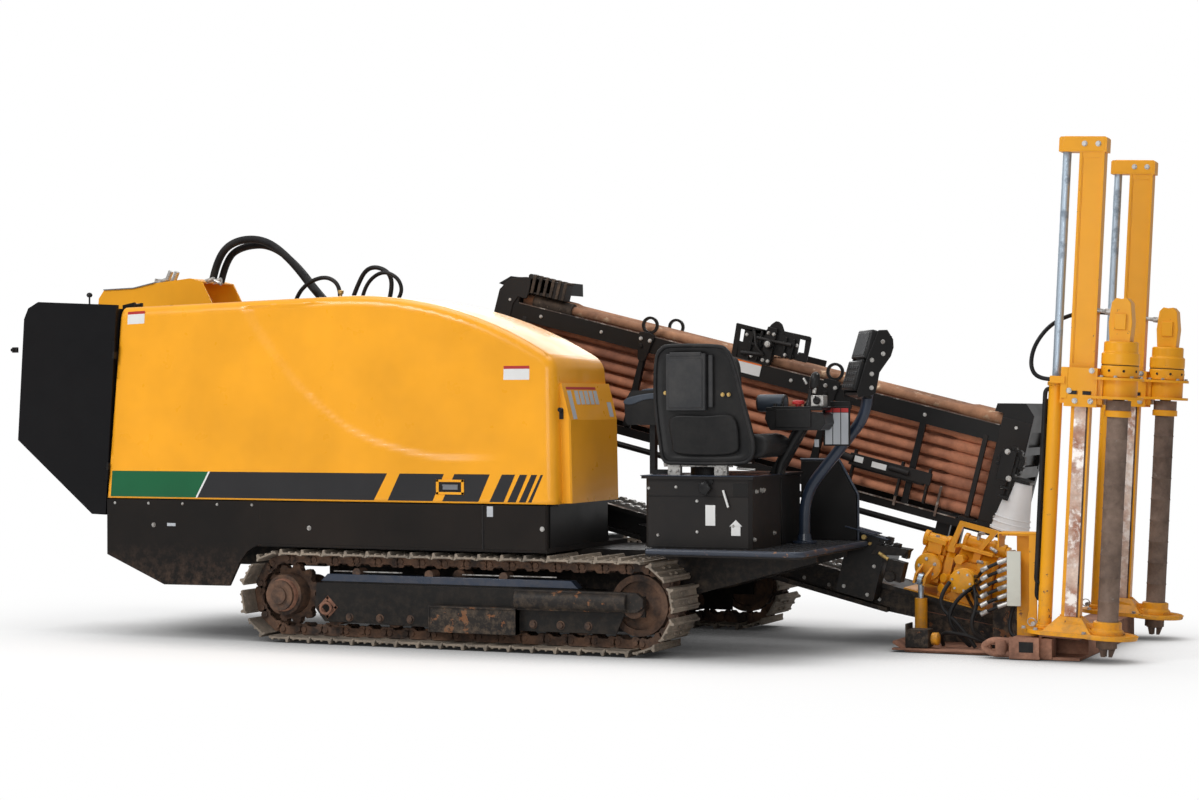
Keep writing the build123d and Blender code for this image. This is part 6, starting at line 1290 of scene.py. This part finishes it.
def rod_box():
    """Rolled heads, rail labels, shackles under the rings, the tool holder and the rod stops."""
    near = BOX_Y[0]
    bm = bmesh.new()
    plate(bm, rounded([(-752, 430), (-752, 960), (-740, 1040), (-690, 1104), (-610, 1132), (-560, 1128),
                       (-560, 1010), (-640, 960), (-640, 430)], 3), (near - 6, near + 4))
    slab(bm, (-734, -700), (near, BOX_Y[1]), (1010, 1062))
    slab(bm, (-560, -318), (near, near + 96), (1046, 1150))
    bar(bm, (-566, near + 4, 1146), (-566, near + 96, 1146), 16, sides=20)
    slab(bm, (ROD_FRONT + 8, ROD_FRONT + 176), (near - 4, near + 4), (430, 1020))
    for u in (ROD_REAR + 60, ROD_FRONT - 60):
        slab(bm, (u - 14, u + 14), (near - 6, near + 14), (430, 900))
    on_rack("rod_box_heads", bm, "frame_black", soften=3)
    bm = bmesh.new()
    for step in range(6):
        u = -544 + 42 * step
        slab(bm, (u, u + 20), (near - 7, near + 4), (1048, 1152))
        slab(bm, (u, u + 20), (near - 4, near + 98), (1148, 1160))
    bar(bm, (-536, BOX_Y[0] + 80, 1001), (-272, BOX_Y[0] + 80, 1001), 41, sides=28)
    on_rack("rod_head_ribs", bm, "head_ribs", soften=3)
    bm = bmesh.new()
    for u in (264, 1444):
        plate(bm, rounded([(u - 46, RAIL_TOP + 8), (u + 46, RAIL_TOP + 8), (u + 40, RAIL_TOP - 60),
                           (u + 22, RAIL_TOP - 150), (u - 22, RAIL_TOP - 150),
                           (u - 40, RAIL_TOP - 60)], 3), (near - 14, near - 1))
        bar(bm, (u - 20, near - 22, RAIL_TOP - 70), (u - 20, near - 6, RAIL_TOP - 70), 13, sides=18)
        plate(bm, [(u - 14, RAIL_TOP - 140), (u + 14, RAIL_TOP - 140), (u + 26, 420), (u - 26, 420)],
              (near - 10, near - 1))
    on_rack("ring_shackles", bm, "black", soften=2)
    bm = bmesh.new()
    bolts(bm, [(u + side * 30, near - 14, RAIL_TOP - 28) for u in (264, 1444) for side in (-1, 1)],
          (0, -1, 0), 9, 9)
    bolts(bm, [(u, near - 1, w) for u in (ROD_REAR - 62, ROD_FRONT + 96) for w in (470, 640, 810, 980)],
          (0, -1, 0), 10, 9)
    bolts(bm, [(u, near - 1, RAIL_TOP - 50) for u in range(-440, 2400, 410)], (0, -1, 0), 8, 8)
    on_rack("rod_box_bolts", bm, "steel", soften=0.6)
    bm = bmesh.new()
    plate(bm, [(842, 900), (1006, 900), (1006, 962), (842, 962)], (near - 1.6, near + 0.5))
    plate(bm, [(1690, 572), (1742, 572), (1742, 606), (1690, 606)], (near - 41, near - 39))
    plate(bm, [(1796, 566), (1884, 566), (1884, 598), (1796, 598)], (near - 41, near - 39))
    on_rack("rail_labels", bm, "label_white", soften=0)
    bm = bmesh.new()
    plate(bm, [(842, 962), (1006, 962), (1006, 974), (842, 974)], (near - 1.6, near + 0.5))
    on_rack("rail_label_head", bm, "label_orange", soften=0)
    bm = bmesh.new()
    slab(bm, (1660, 2150), (near - 40, near - 22), (548, 616))
    slab(bm, (1680, 2110), (near - 24, near - 1), (536, 548))
    bar(bm, (1612, near - 34, 590), (1680, near - 34, 582), 22, sides=20)
    for u in (1676, 1960, 2124):
        slab(bm, (u, u + 14), (near - 30, near + 4), (440, 640))
    bar(bm, (1900, near - 40, 588), (2020, near - 40, 584), 16, sides=18)
    on_rack("tool_holder", bm, "frame_black", soften=2)
    bm = bmesh.new()
    for u in (1964, 2210):
        slab(bm, (u - 7, u + 7), (near - 12, near - 2), (384, 560))
    slab(bm, (1380, 2330), (near - 9, near - 1), (404, 411))
    # Pale strip along the rail's top edge: a painted highlight.
    slab(bm, (ROD_REAR, ROD_FRONT), (near - 3, near + 1), (RAIL_TOP - 4, RAIL_TOP + 2))
    on_rack("worn_stops", bm, "rail_wear", soften=1)


def clamp():
    """Hold-down bracket: slotted plate with a raised middle, its bridge over the rods and their fittings."""
    near = BOX_Y[0]
    face = (near + 5, near + 17)
    bm = bmesh.new()
    plate(bm, [(794, 1146), (792, 1168), (797, 1173), (985, 1173), (985, 1140)], face)
    plate(bm, [(794, 1150), (826, 1150), (834, 1068), (846, 974), (806, 974)], face)
    plate(bm, [(852, 1150), (856, 1074), (828, 1076), (836, 974), (1052, 974), (1062, 1042), (1200, 1046),
               (1194, 1172), (1100, 1172), (1090, 1192), (1068, 1226), (1048, 1237), (1028, 1237),
               (1006, 1214), (980, 1170)], face)
    plate(bm, [(1090, 1170), (1090, 1192), (1250, 1196), (1259, 1190), (1262, 1168)], face)
    plate(bm, [(1228, 1176), (1262, 1176), (1265, 1050), (1259, 1044), (1196, 1044), (1204, 1094),
               (1236, 1096)], face)
    for u in (905, 958, 1110, 1160):
        slab(bm, (u, u + 14), (near - 12, near + 8), (1040 if u > 1100 else 985, 1160))
    for u, low in ((898, 1000), (1100, 1052)):
        slab(bm, (u, u + 84), (near - 6, near + 8), (low, low + 16))
        slab(bm, (u, u + 84), (near - 10, near + 8), (low + 70, low + 84))
    slab(bm, (994, 1054), (near - 16, near + 8), (976, 1196))
    slab(bm, (994, 1054), (near + 12, 1039), (1044, 1062))
    slab(bm, (800, 1248), (1025, 1039), (975, 1060))
    on_rack("clamp_plate", bm, "black", soften=2, stands_for=["rod_clamp"])
    bm = bmesh.new()
    bar(bm, (1024, near - 42, 1098), (1024, near - 14, 1098), 26, sides=28)
    bar(bm, (866, near - 10, 1012), (1000, near - 10, 1030), 13, sides=18)
    bar(bm, (940, near - 14, 1118), (1160, near - 14, 1122), 10, sides=18)
    bent(bm, [(1010, near - 30, 1030), (960, near - 40, 1064), (930, near - 20, 1130),
              (918, near - 10, 1150)], 8, 12)
    on_rack("clamp_arms", bm, "frame_black", soften=2)
    bm = bmesh.new()
    bolts(bm, [(1024, near - 42, 1098)], (0, -1, 0), 13, 9)
    bolts(bm, [(1008, near - 16, 1000), (1040, near - 16, 1000), (1008, near - 16, 1160),
               (1040, near - 16, 1160), (872, near + 5, 1120), (1186, near + 5, 1128),
               (1130, near - 6, 1060), (930, near - 6, 1008)], (0, -1, 0), 8, 9)
    on_rack("clamp_bolts", bm, "steel", soften=0.8)


def carriage():
    """Perforations, valve block and fittings on the carriage's covers, and its hoses."""
    # Dark discs on the grate stand for its perforations: painted shade in the holes.
    bm = bmesh.new()
    slope = math.atan2(486 - 424, 208 + 14)
    for step in range(13):
        u = -14 + 26 * (step + 0.5)
        w = 424 + (u + 14) * math.tan(slope) if u < 208 else 486 + (u - 208) * (552 - 486) / 142
        if u > 340:
            continue
        for across in range(12):
            y = 246 + 28.6 * across + (14 if step % 2 else 0)
            if y > 588:
                continue
            foot = Vector((-3290 + u, y, w + 6.2))
            bar(bm, foot, foot + Vector((-0.27, 0, 1)) * 0.8, 7.5, sides=10)
    piece("grate_holes", bm, "rubber", "carriage", RACK, soften=0)
    bm = bmesh.new()
    for y in (262, 330):
        bar(bm, (-2930, y, 560), (-2872, y, 596), 14, sides=16)
        bar(bm, (-2872, y, 590), (-2860, y, 650), 17, sides=16)
    slab(bm, (-2960, -2900), (250, 350), (546, 580))
    for y in (300, 380):
        bar(bm, (-2616, y, 640), (-2560, y, 668), 15, sides=16)
    bar(bm, (-2560, 300, 660), (-2500, 300, 650), 11, sides=14)
    bolts(bm, [(-2900 + 40 * k, 240 + 90 * (k % 3), 556 + 8 * k) for k in range(5)], (-0.3, 0, 1), 9, 10)
    piece("carriage_fittings", bm, "steel", "carriage", RACK, soften=1)
    bm = bmesh.new()
    turned(bm, [(0, 0), (16, 0), (16, 26), (12, 30), (12, 60), (18, 64), (18, 84), (0, 86)],
           (-1652, 317, 716), (-0.1, 0, 1), 18)
    piece("hose_end", bm, "brass", "carriage", RACK, soften=1)
    hose("carriage_sleeve", [(-2640, 410, 640.3), (-2640, 410, 800), (-2540, 410, 930), (-2330, 410, 985),
                             (-2110, 410, 900), (-1880, 410, 735), (-1660, 410, 620), (-1660, 410, 420.3)],
         24, "carriage", RACK, "sleeve", replaces="carriage_hose")
    hose("loop_sleeve", [(-1600, 350, 420.3), (-1600, 350, 625), (-1580, 350, 830), (-1530, 350, 990),
                         (-1360, 350, 985), (-1325, 350, 830), (-1380, 350, 625), (-1380, 350, 420.3)], 14,
         "carriage", RACK, replaces="loop_hose")
    hose("second_sleeve", [(-2612, 466, 641), (-2610, 466, 800), (-2510, 466, 900), (-2310, 466, 955),
                           (-2090, 466, 872), (-1870, 466, 712), (-1630, 466, 590), (-1620, 466, 421)], 22,
         "carriage", RACK, "sleeve")
    hose("gearbox_hose", [(-1880, 318, 352), (-1960, 318, 520), (-1965, 320, 690), (-1900, 320, 800),
                          (-1776, 320, 865), (-1665, 318, 820), (-1640, 316, 640), (-1640, 316, 421)], 13,
         "carriage", RACK)
    hose("side_loop", [(-1480, 296, 421), (-1476, 296, 640), (-1500, 296, 860), (-1400, 296, 985),
                       (-1262, 296, 960), (-1222, 296, 850), (-1390, 296, 640), (-1400, 296, 421)], 12,
         "carriage", RACK)


def thrust_frame():
    """Wear, bolts and rails along the thrust frame, the oiler's lid and the shuttle's fittings."""
    bm = bmesh.new()
    for u in range(760, 2180, 150):
        bolts(bm, [(u, 261.7, -100)], (0, -1, 0), 8, 7)
    bolts(bm, [(1940, 106, 200), (2080, 106, 90), (1940, 106, -60), (2080, 106, -70)], (0, -1, 0), 8, 7)
    on_rack("frame_bolts", bm, "steel", soften=0.6)
    bm = bmesh.new()
    slab(bm, (-3200, 2180), (206, 262), (0.2, 1.4))
    slab(bm, (-3200, 2180), (558, 614), (0.2, 1.4))
    on_rack("worn_rails", bm, "rail_wear", soften=0)
    bm = bmesh.new()
    slab(bm, (1874, 2126), (94, 206), (249, 254))
    slab(bm, (1880, 2057), (60, 200), (262, 268))
    on_rack("oiler_lid", bm, "blue_black", soften=2)
    bm = bmesh.new()
    slab(bm, (2140, 2240), (120, 200), (40, 150))
    plate(bm, [(2050, 150), (2230, 190), (2250, 230), (2070, 210)], (100, 204))
    bar(bm, (2180, 96, 60), (2180, 130, 60), 30, sides=24)
    for u, w in ((2100, 262), (2150, 240), (2210, 214)):
        slab(bm, (u, u + 34), (130, 190), (w - 40, w))
    on_rack("oiler_mount", bm, "frame_black", soften=2)
    bm = bmesh.new()
    bar(bm, (1990, 92, 232), (1990, 112, 232), 14, sides=16)
    bar(bm, (2030, 92, 206), (2030, 112, 206), 9, sides=12)
    bar(bm, (2090, 100, 170), (2150, 100, 150), 10, sides=12)
    on_rack("oiler_fittings", bm, "brass", soften=1)


# Vises, hoses and the ground anchor

JACK_AXIS = 150
HOLDING_U, BREAKOUT_U = 2585, 2338
SHEAVE = (2612, 400, 800)


def jack_caps(bm, u, near, radius):
    """Stepped cap, rings and joint of a clamp cylinder that lies across the frame."""
    turned(bm, [(0, 0), (radius - 22, 0), (radius - 16, 4), (radius - 4, 6), (radius, 12), (radius, 30),
                (radius - 8, 36), (radius - 8, 50), (radius + 1, 54), (radius + 1, 76), (radius - 8, 82),
                (radius - 8, 110)], (u, near, JACK_AXIS), (0, 1, 0), 40)


def vises():
    bm = bmesh.new()
    jack_caps(bm, HOLDING_U, 38, 68)
    for u in (2520, 2650):
        bar(bm, (u, 150, 246), (u, 258, 246), 24, sides=20)
        bar(bm, (u, 142, 246), (u, 164, 246), 30, sides=6)
    slab(bm, (2500, 2676), (222, 262), (296, 318))
    bar(bm, (2490, 318, 336), (2720, 318, 336), 36, sides=28)
    bar(bm, (2484, 318, 336), (2506, 318, 336), 44, sides=28)
    bar(bm, (2640, 318, 336), (2662, 318, 336), 44, sides=28)
    slab(bm, (2480, 2694), (240, 262), (110, 190))
    slab(bm, (2470, 2700), (256, 564), (298, 306))
    for w in (60, 118):
        bar(bm, (2440, 214, w), (2470, 262, w), 26, sides=18)
    turned(bm, [(42, 0), (104, 0), (110, 8), (110, 56), (100, 64), (100, 88), (74, 92), (42, 92)],
           (2698, 410, JACK_AXIS), (1, 0, 0), 40)
    on_rack("holding_vise_dress", bm, "yellow", soften=3)
    bm = bmesh.new()
    turned(bm, [(0, 0), (48, 0), (70, 8), (76, 18), (76, 34), (66, 42), (40, 50)],
           (BREAKOUT_U, 224, JACK_AXIS), (0, 1, 0), 40)
    bar(bm, (2262, 350, 290), (2414, 350, 290), 36, sides=28)
    bar(bm, (2256, 350, 290), (2282, 350, 290), 44, sides=28)
    bar(bm, (2384, 350, 290), (2408, 350, 290), 44, sides=28)
    slab(bm, (2292, 2400), (262, 480), (284, 312))
    slab(bm, (2300, 2380), (276, 300), (180, 290))
    piece("breakout_vise_dress", bm, "yellow", "break_out_vise", RACK, soften=3)
    bm = bmesh.new()
    ring = [(BREAKOUT_U + 44 * math.cos(a), 226, JACK_AXIS + 44 * math.sin(a))
            for a in (0.6, 1.9, 3.2, 4.4, 5.6)]
    bolts(bm, ring, (0, -1, 0), 8, 8)
    bolts(bm, [(2330, 330, 312), (2366, 400, 312)], (0, 0, 1), 12, 10)
    piece("breakout_vise_bolts", bm, "steel", "break_out_vise", RACK, soften=0.6)
    bm = bmesh.new()
    ring = [(HOLDING_U + 50 * math.cos(math.tau * k / 6), 40,
             JACK_AXIS + 50 * math.sin(math.tau * k / 6)) for k in range(6)]
    bolts(bm, ring, (0, -1, 0), 7, 7, washer=False)
    bar(bm, (2560, 300, 358), (2560, 296, 396), 11, sides=14)
    bar(bm, (2560, 296, 396), (2586, 292, 404), 10, sides=14)
    bar(bm, (2650, 246, 340), (2690, 232, 330), 10, sides=12)
    bar(bm, (2620, 150, 262), (2650, 132, 268), 9, sides=12)
    on_rack("holding_vise_fittings", bm, "steel", soften=0.6)


def vise_hoses():
    """Manifold plate's fittings, and the hoses from it down to the vises and the anchor."""
    steel = bmesh.new()
    ends = ((2600, 110, 392), (2604, 120, 372), (2602, 150, 350), (2592, 130, 330), (2560, 205, 300),
            (2530, 205, 280))
    for k, end in enumerate(ends):
        z = 508 - 46 * k
        foot = Vector((2860, -118, z))
        bend = Vector((2700, -112 - 3 * k, z - 66))
        hose("vise_hose_%d" % (k + 1), [foot, (2790, -118, z - 24), bend,
                                        bend.lerp(end, 0.5) - Vector((0, 20, 26)), end],
             9, "thrust_frame")
        bar(steel, foot, (2836, -118, z - 7), 12, sides=6)
        bar(steel, (2836, -118, z - 7), (2784, -118, z - 27), 12.5, sides=14)
        bar(steel, (2730, -114 - 2 * k, z - 50), (2694, -112 - 3 * k, z - 70), 12.5, sides=14)
    piece("hose_crimps", steel, "steel", "thrust_frame", soften=0.8)
    loops = (
        ((2600, 42, 330), (2560, -30, 300), (2500, -60, 200), (2520, -40, 110), (2600, 20, 24)),
        ((2606, 60, 345), (2660, -40, 260), (2620, -70, 150), (2660, -40, 70), (2760, 10, 24)),
        ((2482, 36, 360), (2450, -30, 300), (2462, -46, 220), (2560, -56, 150), (2640, -30, 24)),
        ((2446, 40, 24), (2440, -6, 84), (2510, -52, 104), (2640, -50, 80), (2740, 0, 24)),
        ((2870, -82, 280), (2836, -70, 200), (2846, -110, 110), (2900, -140, 90), (2990, -172, 96)),
    )
    for k, points in enumerate(loops):
        hose("low_hose_%d" % (k + 1), points, 11, "thrust_frame")


def brackets():
    """Pale manifold plate, folded bracket, pail and rope sheave."""
    bm = bmesh.new()
    slab(bm, (2850, 2866), (-172, -56), (262, 548))
    slab(bm, (2846, 2920), (-176, -170), (262, 548))
    piece("manifold_cover", bm, "pale_paint", "thrust_frame", soften=3)
    bm = bmesh.new()
    slab(bm, (2964, 3006), (-182, -172), (20, 642))
    slab(bm, (2800, 3012), (-186, -58), (636, 646))
    slab(bm, (2800, 2808), (-186, -58), (566, 640))
    plate(bm, [(2920, 20), (2990, 20), (2990, 300), (2960, 236), (2940, 120)], (-180, -170))
    slab(bm, (2850, 2960), (-186, -60), (20.5, 30))
    piece("bracket_sheet", bm, "worn_yellow", "thrust_frame", soften=3)
    bm = bmesh.new()
    u = 2686
    wall = [(61, 268), (104, 14), (104, 8), (112, 6), (112, -4), (99, -4), (99, 6), (57, 262), (0, 262),
            (0, 269), (58, 270)]
    turned(bm, wall, (u, 430, 440), (0, 0, 1), 48)
    for w, radius in ((40, 103.5), (70, 98.5)):
        hoop(bm, (u, 430, 440 + w), (0, 0, 1), radius - 2.6, 4, sides=48, round_sides=8)
    on_rack("pail_shell", bm, "pail", soften=0, smooth=40, stands_for=["compound_pail"])
    bm = bmesh.new()
    hoop(bm, SHEAVE, (0, 1, 0), 56, 12)
    for k in range(14):
        turn = math.tau * k / 14
        slab(bm, (-9, 9), (-24, 24), (60, 80), Matrix.Translation(SHEAVE) @ Matrix.Rotation(turn, 4, "Y"))
    slab(bm, (2560, 2640), (350, 372), (700, 870))
    slab(bm, (2600, 2740), (360, 520), (712, 728))
    for w in (660, 610):
        slab(bm, (2600, 2650), (330, 420), (w, w + 14))
    bar(bm, (2640, 380, 600), (2640, 380, 720), 24, sides=18)
    on_rack("sheave", bm, "black", soften=2)
    bm = bmesh.new()
    bolts(bm, [(2612, 370, 800), (2590, 350, 860), (2630, 350, 720)], (0, -1, 0), 12, 14)
    on_rack("sheave_bolts", bm, "steel", soften=0.8)


def ground_sole():
    """Tow loop, pocket and turned-up edge of the ground weldment, rubbed by the soil."""
    bm = bmesh.new()
    path = [(2905, -300, 92), (2800, -300, 96), (2745, -300, 60), (2800, -300, 24), (2905, -300, 26)]
    bent(bm, path, 17, 16)
    bar(bm, (2848, -300, 24), (2848, -300, 98), 32, sides=24)
    piece("tow_loop", bm, "rust", "thrust_frame", soften=1, smooth=50)
    bm = bmesh.new()
    slab(bm, (2896, 3052), (-336, -330), (6, 118))
    slab(bm, (2896, 3056), (-338, -326), (6, 20))
    slab(bm, (3040, 3110), (-300, -200), (6, 112))
    slab(bm, (2230, 2896), (-196, -150), (12, 22))
    bar(bm, (2236, -176, 50), (2236, 990, 50), 9, sides=12)
    piece("sole_wear", bm, "rust", "thrust_frame", soften=2)
    # Black skin on the cheek and two black blocks behind the vise hoses: painted shade in the shadowed space
    # under the vise.
    bm = bmesh.new()
    plate(bm, [(2262, 21), (3040, 21), (3040, 124), (2769, 100), (2262, 186)], (242, 245.4))
    slab(bm, (2760, 2900), (20, 240), (20, 70))
    slab(bm, (2700, 2860), (100, 242), (60, 250))
    piece("sole_cheek_skin", bm, "worn_black", "thrust_frame", soften=2)
    # A dark sheet over the pocket's opening: painted shade inside the pocket.
    bm = bmesh.new()
    slab(bm, (2948, 3022), (-337.5, -336), (40, 94))
    piece("pocket_window", bm, "rubber", "thrust_frame", soften=0)
    bm = bmesh.new()
    slab(bm, (2300, 2420), (-166, -60), (24, 120))
    slab(bm, (2296, 2306), (-170, -56), (20, 150))
    piece("sole_box", bm, "worn_black", "thrust_frame", soften=3)
    bm = bmesh.new()
    turned(bm, [(0, 0), (20, 0), (32, 8), (34, 40), (26, 46), (0, 48)], (2420, -110, 70), (1, 0, 0), 24)
    piece("sole_cap", bm, "worn_yellow", "thrust_frame", soften=1)


MASTS = (("right", -234.5), ("left", 1054.5))
AUGER_X, BARREL_X = 186, -137


def anchor_posts():
    """Worn channel faces of the fixed posts, the feed barrels' glands, feet and their pins."""
    for label, y in MASTS:
        near = y - 29
        bm = bmesh.new()
        slab(bm, (-30, 30), (near - 2, near + 8), (226, 1640))
        on_anchor(label + "_post_face", bm, "post_wear", soften=0)
        bm = bmesh.new()
        slab(bm, (30, 38), (near - 3, near + 4), (226, 1640))
        on_anchor(label + "_post_channel", bm, "track_under", soften=0)
        bm = bmesh.new()
        for w, radius in ((150, 48), (1400, 44)):
            turned(bm, [(36, 0), (radius, 2), (radius, 22), (36, 26)], (BARREL_X, y, w), (0, 0, 1), 32)
        plate(bm, [(-270, 146), (-180, 152), (-60, 196), (-60, 232), (60, 232), (70, 196), (150, 176),
                   (346, 152), (346, 146)], (y - 6, y + 6))
        turned(bm, [(150, 0), (154, 4), (154, 20), (150, 24)], (AUGER_X, y, 128), (0, 0, 1), 48)
        turned(bm, [(57, 0), (86, 0), (84, 20), (72, 30), (72, 62), (62, 66), (57, 66)], (AUGER_X, y, 149),
               (0, 0, 1), 36)
        for side in (-1, 1):
            plate(bm, [(-40, 150), (150, 150), (60, 200), (-20, 214)], sorted((y + side * 60, y + side * 68)))
        on_anchor(label + "_foot_webs", bm, "worn_yellow", soften=3)
        bm = bmesh.new()
        bar(bm, (-190, y - 30, 172), (-190, y + 30, 172), 12, sides=16)
        hoop(bm, (-190, y - 56, 184), (0, 1, 0.3), 22, 3, 24, 8)
        bolts(bm, [(-230, y - 60, 150), (-160, y - 100, 150), (-160, y + 100, 150), (90, y - 110, 150),
                   (90, y + 110, 150)], (0, 0, 1), 11, 12)
        on_anchor(label + "_foot_pins", bm, "steel", soften=0.8)
        bm = bmesh.new()
        bar(bm, (BARREL_X, y, 148), (BARREL_X, y, 1420), 36.6, sides=36)
        on_anchor(label + "_barrel_skin", bm, "chipped_yellow", soften=1)


def masts():
    """Caps, wear strips and drive fittings of the sliding masts."""
    for label, y in MASTS:
        body = label + "_mast"
        bm = bmesh.new()
        slab(bm, (-150, 66), (y - 48, y + 48), (2602, 2678))
        slab(bm, (-170, -104), (y - 34, y + 34), (2610, 2670))
        piece(label + "_mast_cap", bm, "chipped_yellow", body, ANCHOR, soften=5)
        bm = bmesh.new()
        bolts(bm, [(BARREL_X, y - 34, 2640), (-40, y - 48, 2640), (30, y - 48, 2640)], (0, -1, 0), 11, 10)
        bolts(bm, [(-52, y - 82, 1380), (-20, y - 82, 1330), (60, y - 82, 1486), (60, y - 82, 1330)],
              (0, -1, 0), 11, 10)
        for turn in range(8):
            a = math.tau * turn / 8
            bolts(bm, [(AUGER_X + 108 * math.cos(a), y + 108 * math.sin(a), low) for low in (1346, 1456)],
                  (0, 0, 1), 9, 10)
        bolts(bm, [(AUGER_X + 74 * math.cos(math.tau * k / 10), y + 74 * math.sin(math.tau * k / 10), 1540)
                   for k in range(10)], (0, 0, 1), 7, 8)
        piece(label + "_mast_bolts", bm, "steel", body, ANCHOR, soften=0.6)
        bm = bmesh.new()
        slab(bm, (-64, 64), (y - 44, y - 42), (1500, 1520))
        slab(bm, (-64, -50), (y - 44.5, y - 41), (1520, 2602))
        slab(bm, (50, 64), (y - 44.5, y - 41), (1520, 2602))
        piece(label + "_mast_edges", bm, "chipped_yellow", body, ANCHOR, soften=1)
        drum = [(60, 0), (96, 0), (96, 54), (92, 58), (92, 64), (96, 68), (96, 120), (86, 128), (86, 176),
                (80, 182), (60, 182)]
        bm = bmesh.new()
        turned(bm, drum, (AUGER_X, y, 1458), (0, 0, 1), 44)
        turned(bm, [(57, 0), (68, 0), (68, 30), (61, 34), (61, 60), (57, 60)], (AUGER_X, y, 1256),
               (0, 0, 1), 36)
        plate(bm, rounded([(AUGER_X - 52, 1640), (AUGER_X + 52, 1640), (AUGER_X + 48, 1838), (AUGER_X, 1856),
                           (AUGER_X - 48, 1838)], 2), (y - 50, y + 50))
        slab(bm, (AUGER_X - 30, AUGER_X + 30), (y - 62, y - 44), (1700, 1780))
        slab(bm, (-96, -60), (y - 84, y - 66), (1340, 1500))
        piece(label + "_drive_drum", bm, "chipped_yellow", body, ANCHOR, soften=3, smooth=40)
        # Dark strips, dots and a thin ring on the drive stand for its slots, holes and groove: painted shade
        # inside them.
        bm = bmesh.new()
        slab(bm, (-54, -12), (y - 82.5, y - 80), (1362, 1380))
        slab(bm, (18, 60), (y - 82.5, y - 80), (1362, 1380))
        for k in range(8):
            a = math.tau * (k + 0.5) / 8
            at = Vector((AUGER_X + 97 * math.cos(a), y + 97 * math.sin(a), 1490))
            bar(bm, at, at + Vector((math.cos(a), math.sin(a), 0)), 7, sides=12)
        hoop(bm, (AUGER_X, y, 1519), (0, 0, 1), 92, 2.4, 44, 6)
        piece(label + "_drive_slots", bm, "rubber", body, ANCHOR, soften=0)
        bm = bmesh.new()
        for side in (-1, 1):
            bar(bm, (AUGER_X - 46, y + side * 22, 1790), (AUGER_X - 84, y + side * 22, 1790), 15, sides=16)
            bar(bm, (AUGER_X - 80, y + side * 22, 1790), (AUGER_X - 130, y + side * 26, 1796), 11, sides=14)
        bar(bm, (AUGER_X, y + 46, 1770), (AUGER_X, y + 100, 1770), 13, sides=14)
        piece(label + "_motor_fittings", bm, "steel", body, ANCHOR, soften=0.8)
        bm = bmesh.new()
        profile = [(52.6, 0)]
        for k in range(9):
            at = 120 + 118 * k
            profile += [(52.6, at - 5), (54.2, at - 3), (54.2, at + 3), (52.6, at + 5)]
        profile += [(52.6, 1180)]
        turned(bm, profile, (AUGER_X, y, 80), (0, 0, 1), 36)
        piece(label + "_auger_casing", bm, "auger", label + "_auger", ANCHOR, soften=0, smooth=50)
    hose("mast_line", [(186, -188.2, 1770), (186, -114.5, 1770), (90, -64.5, 1790), (-60, -84.5, 1790),
                       (-190, -154.5, 1730), (-258, -244.5, 1610), (-262, -300.5, 1495), (-215, -314.5, 1434),
                       (-150.3, -314.5, 1434)], 11, "right_mast", ANCHOR, replaces="mast_hose")
    for k, (y, high, low) in enumerate(((-249, 1384, 384), (-221, 1324, 300))):
        hose("feed_hose_%d" % (k + 1), [(-171, y, high), (-188, y, high - 4), (-188, y, high - 60),
                                        (-189.5, y, 860), (-188, y, low + 60), (-188, y, low + 4),
                                        (-171, y, low)], 11.5, "thrust_frame", ANCHOR)


for build in (
    camera, stage, hood, stripe_band, hood_latch, nose_labels, skirt_details, rear_door, tracks,
    undercarriage, seat, seat_stand, armrests, display, deck, rods, rod_box, clamp, carriage,
    thrust_frame, vises, vise_hoses, brackets, ground_sole, anchor_posts, masts,
):
    build()
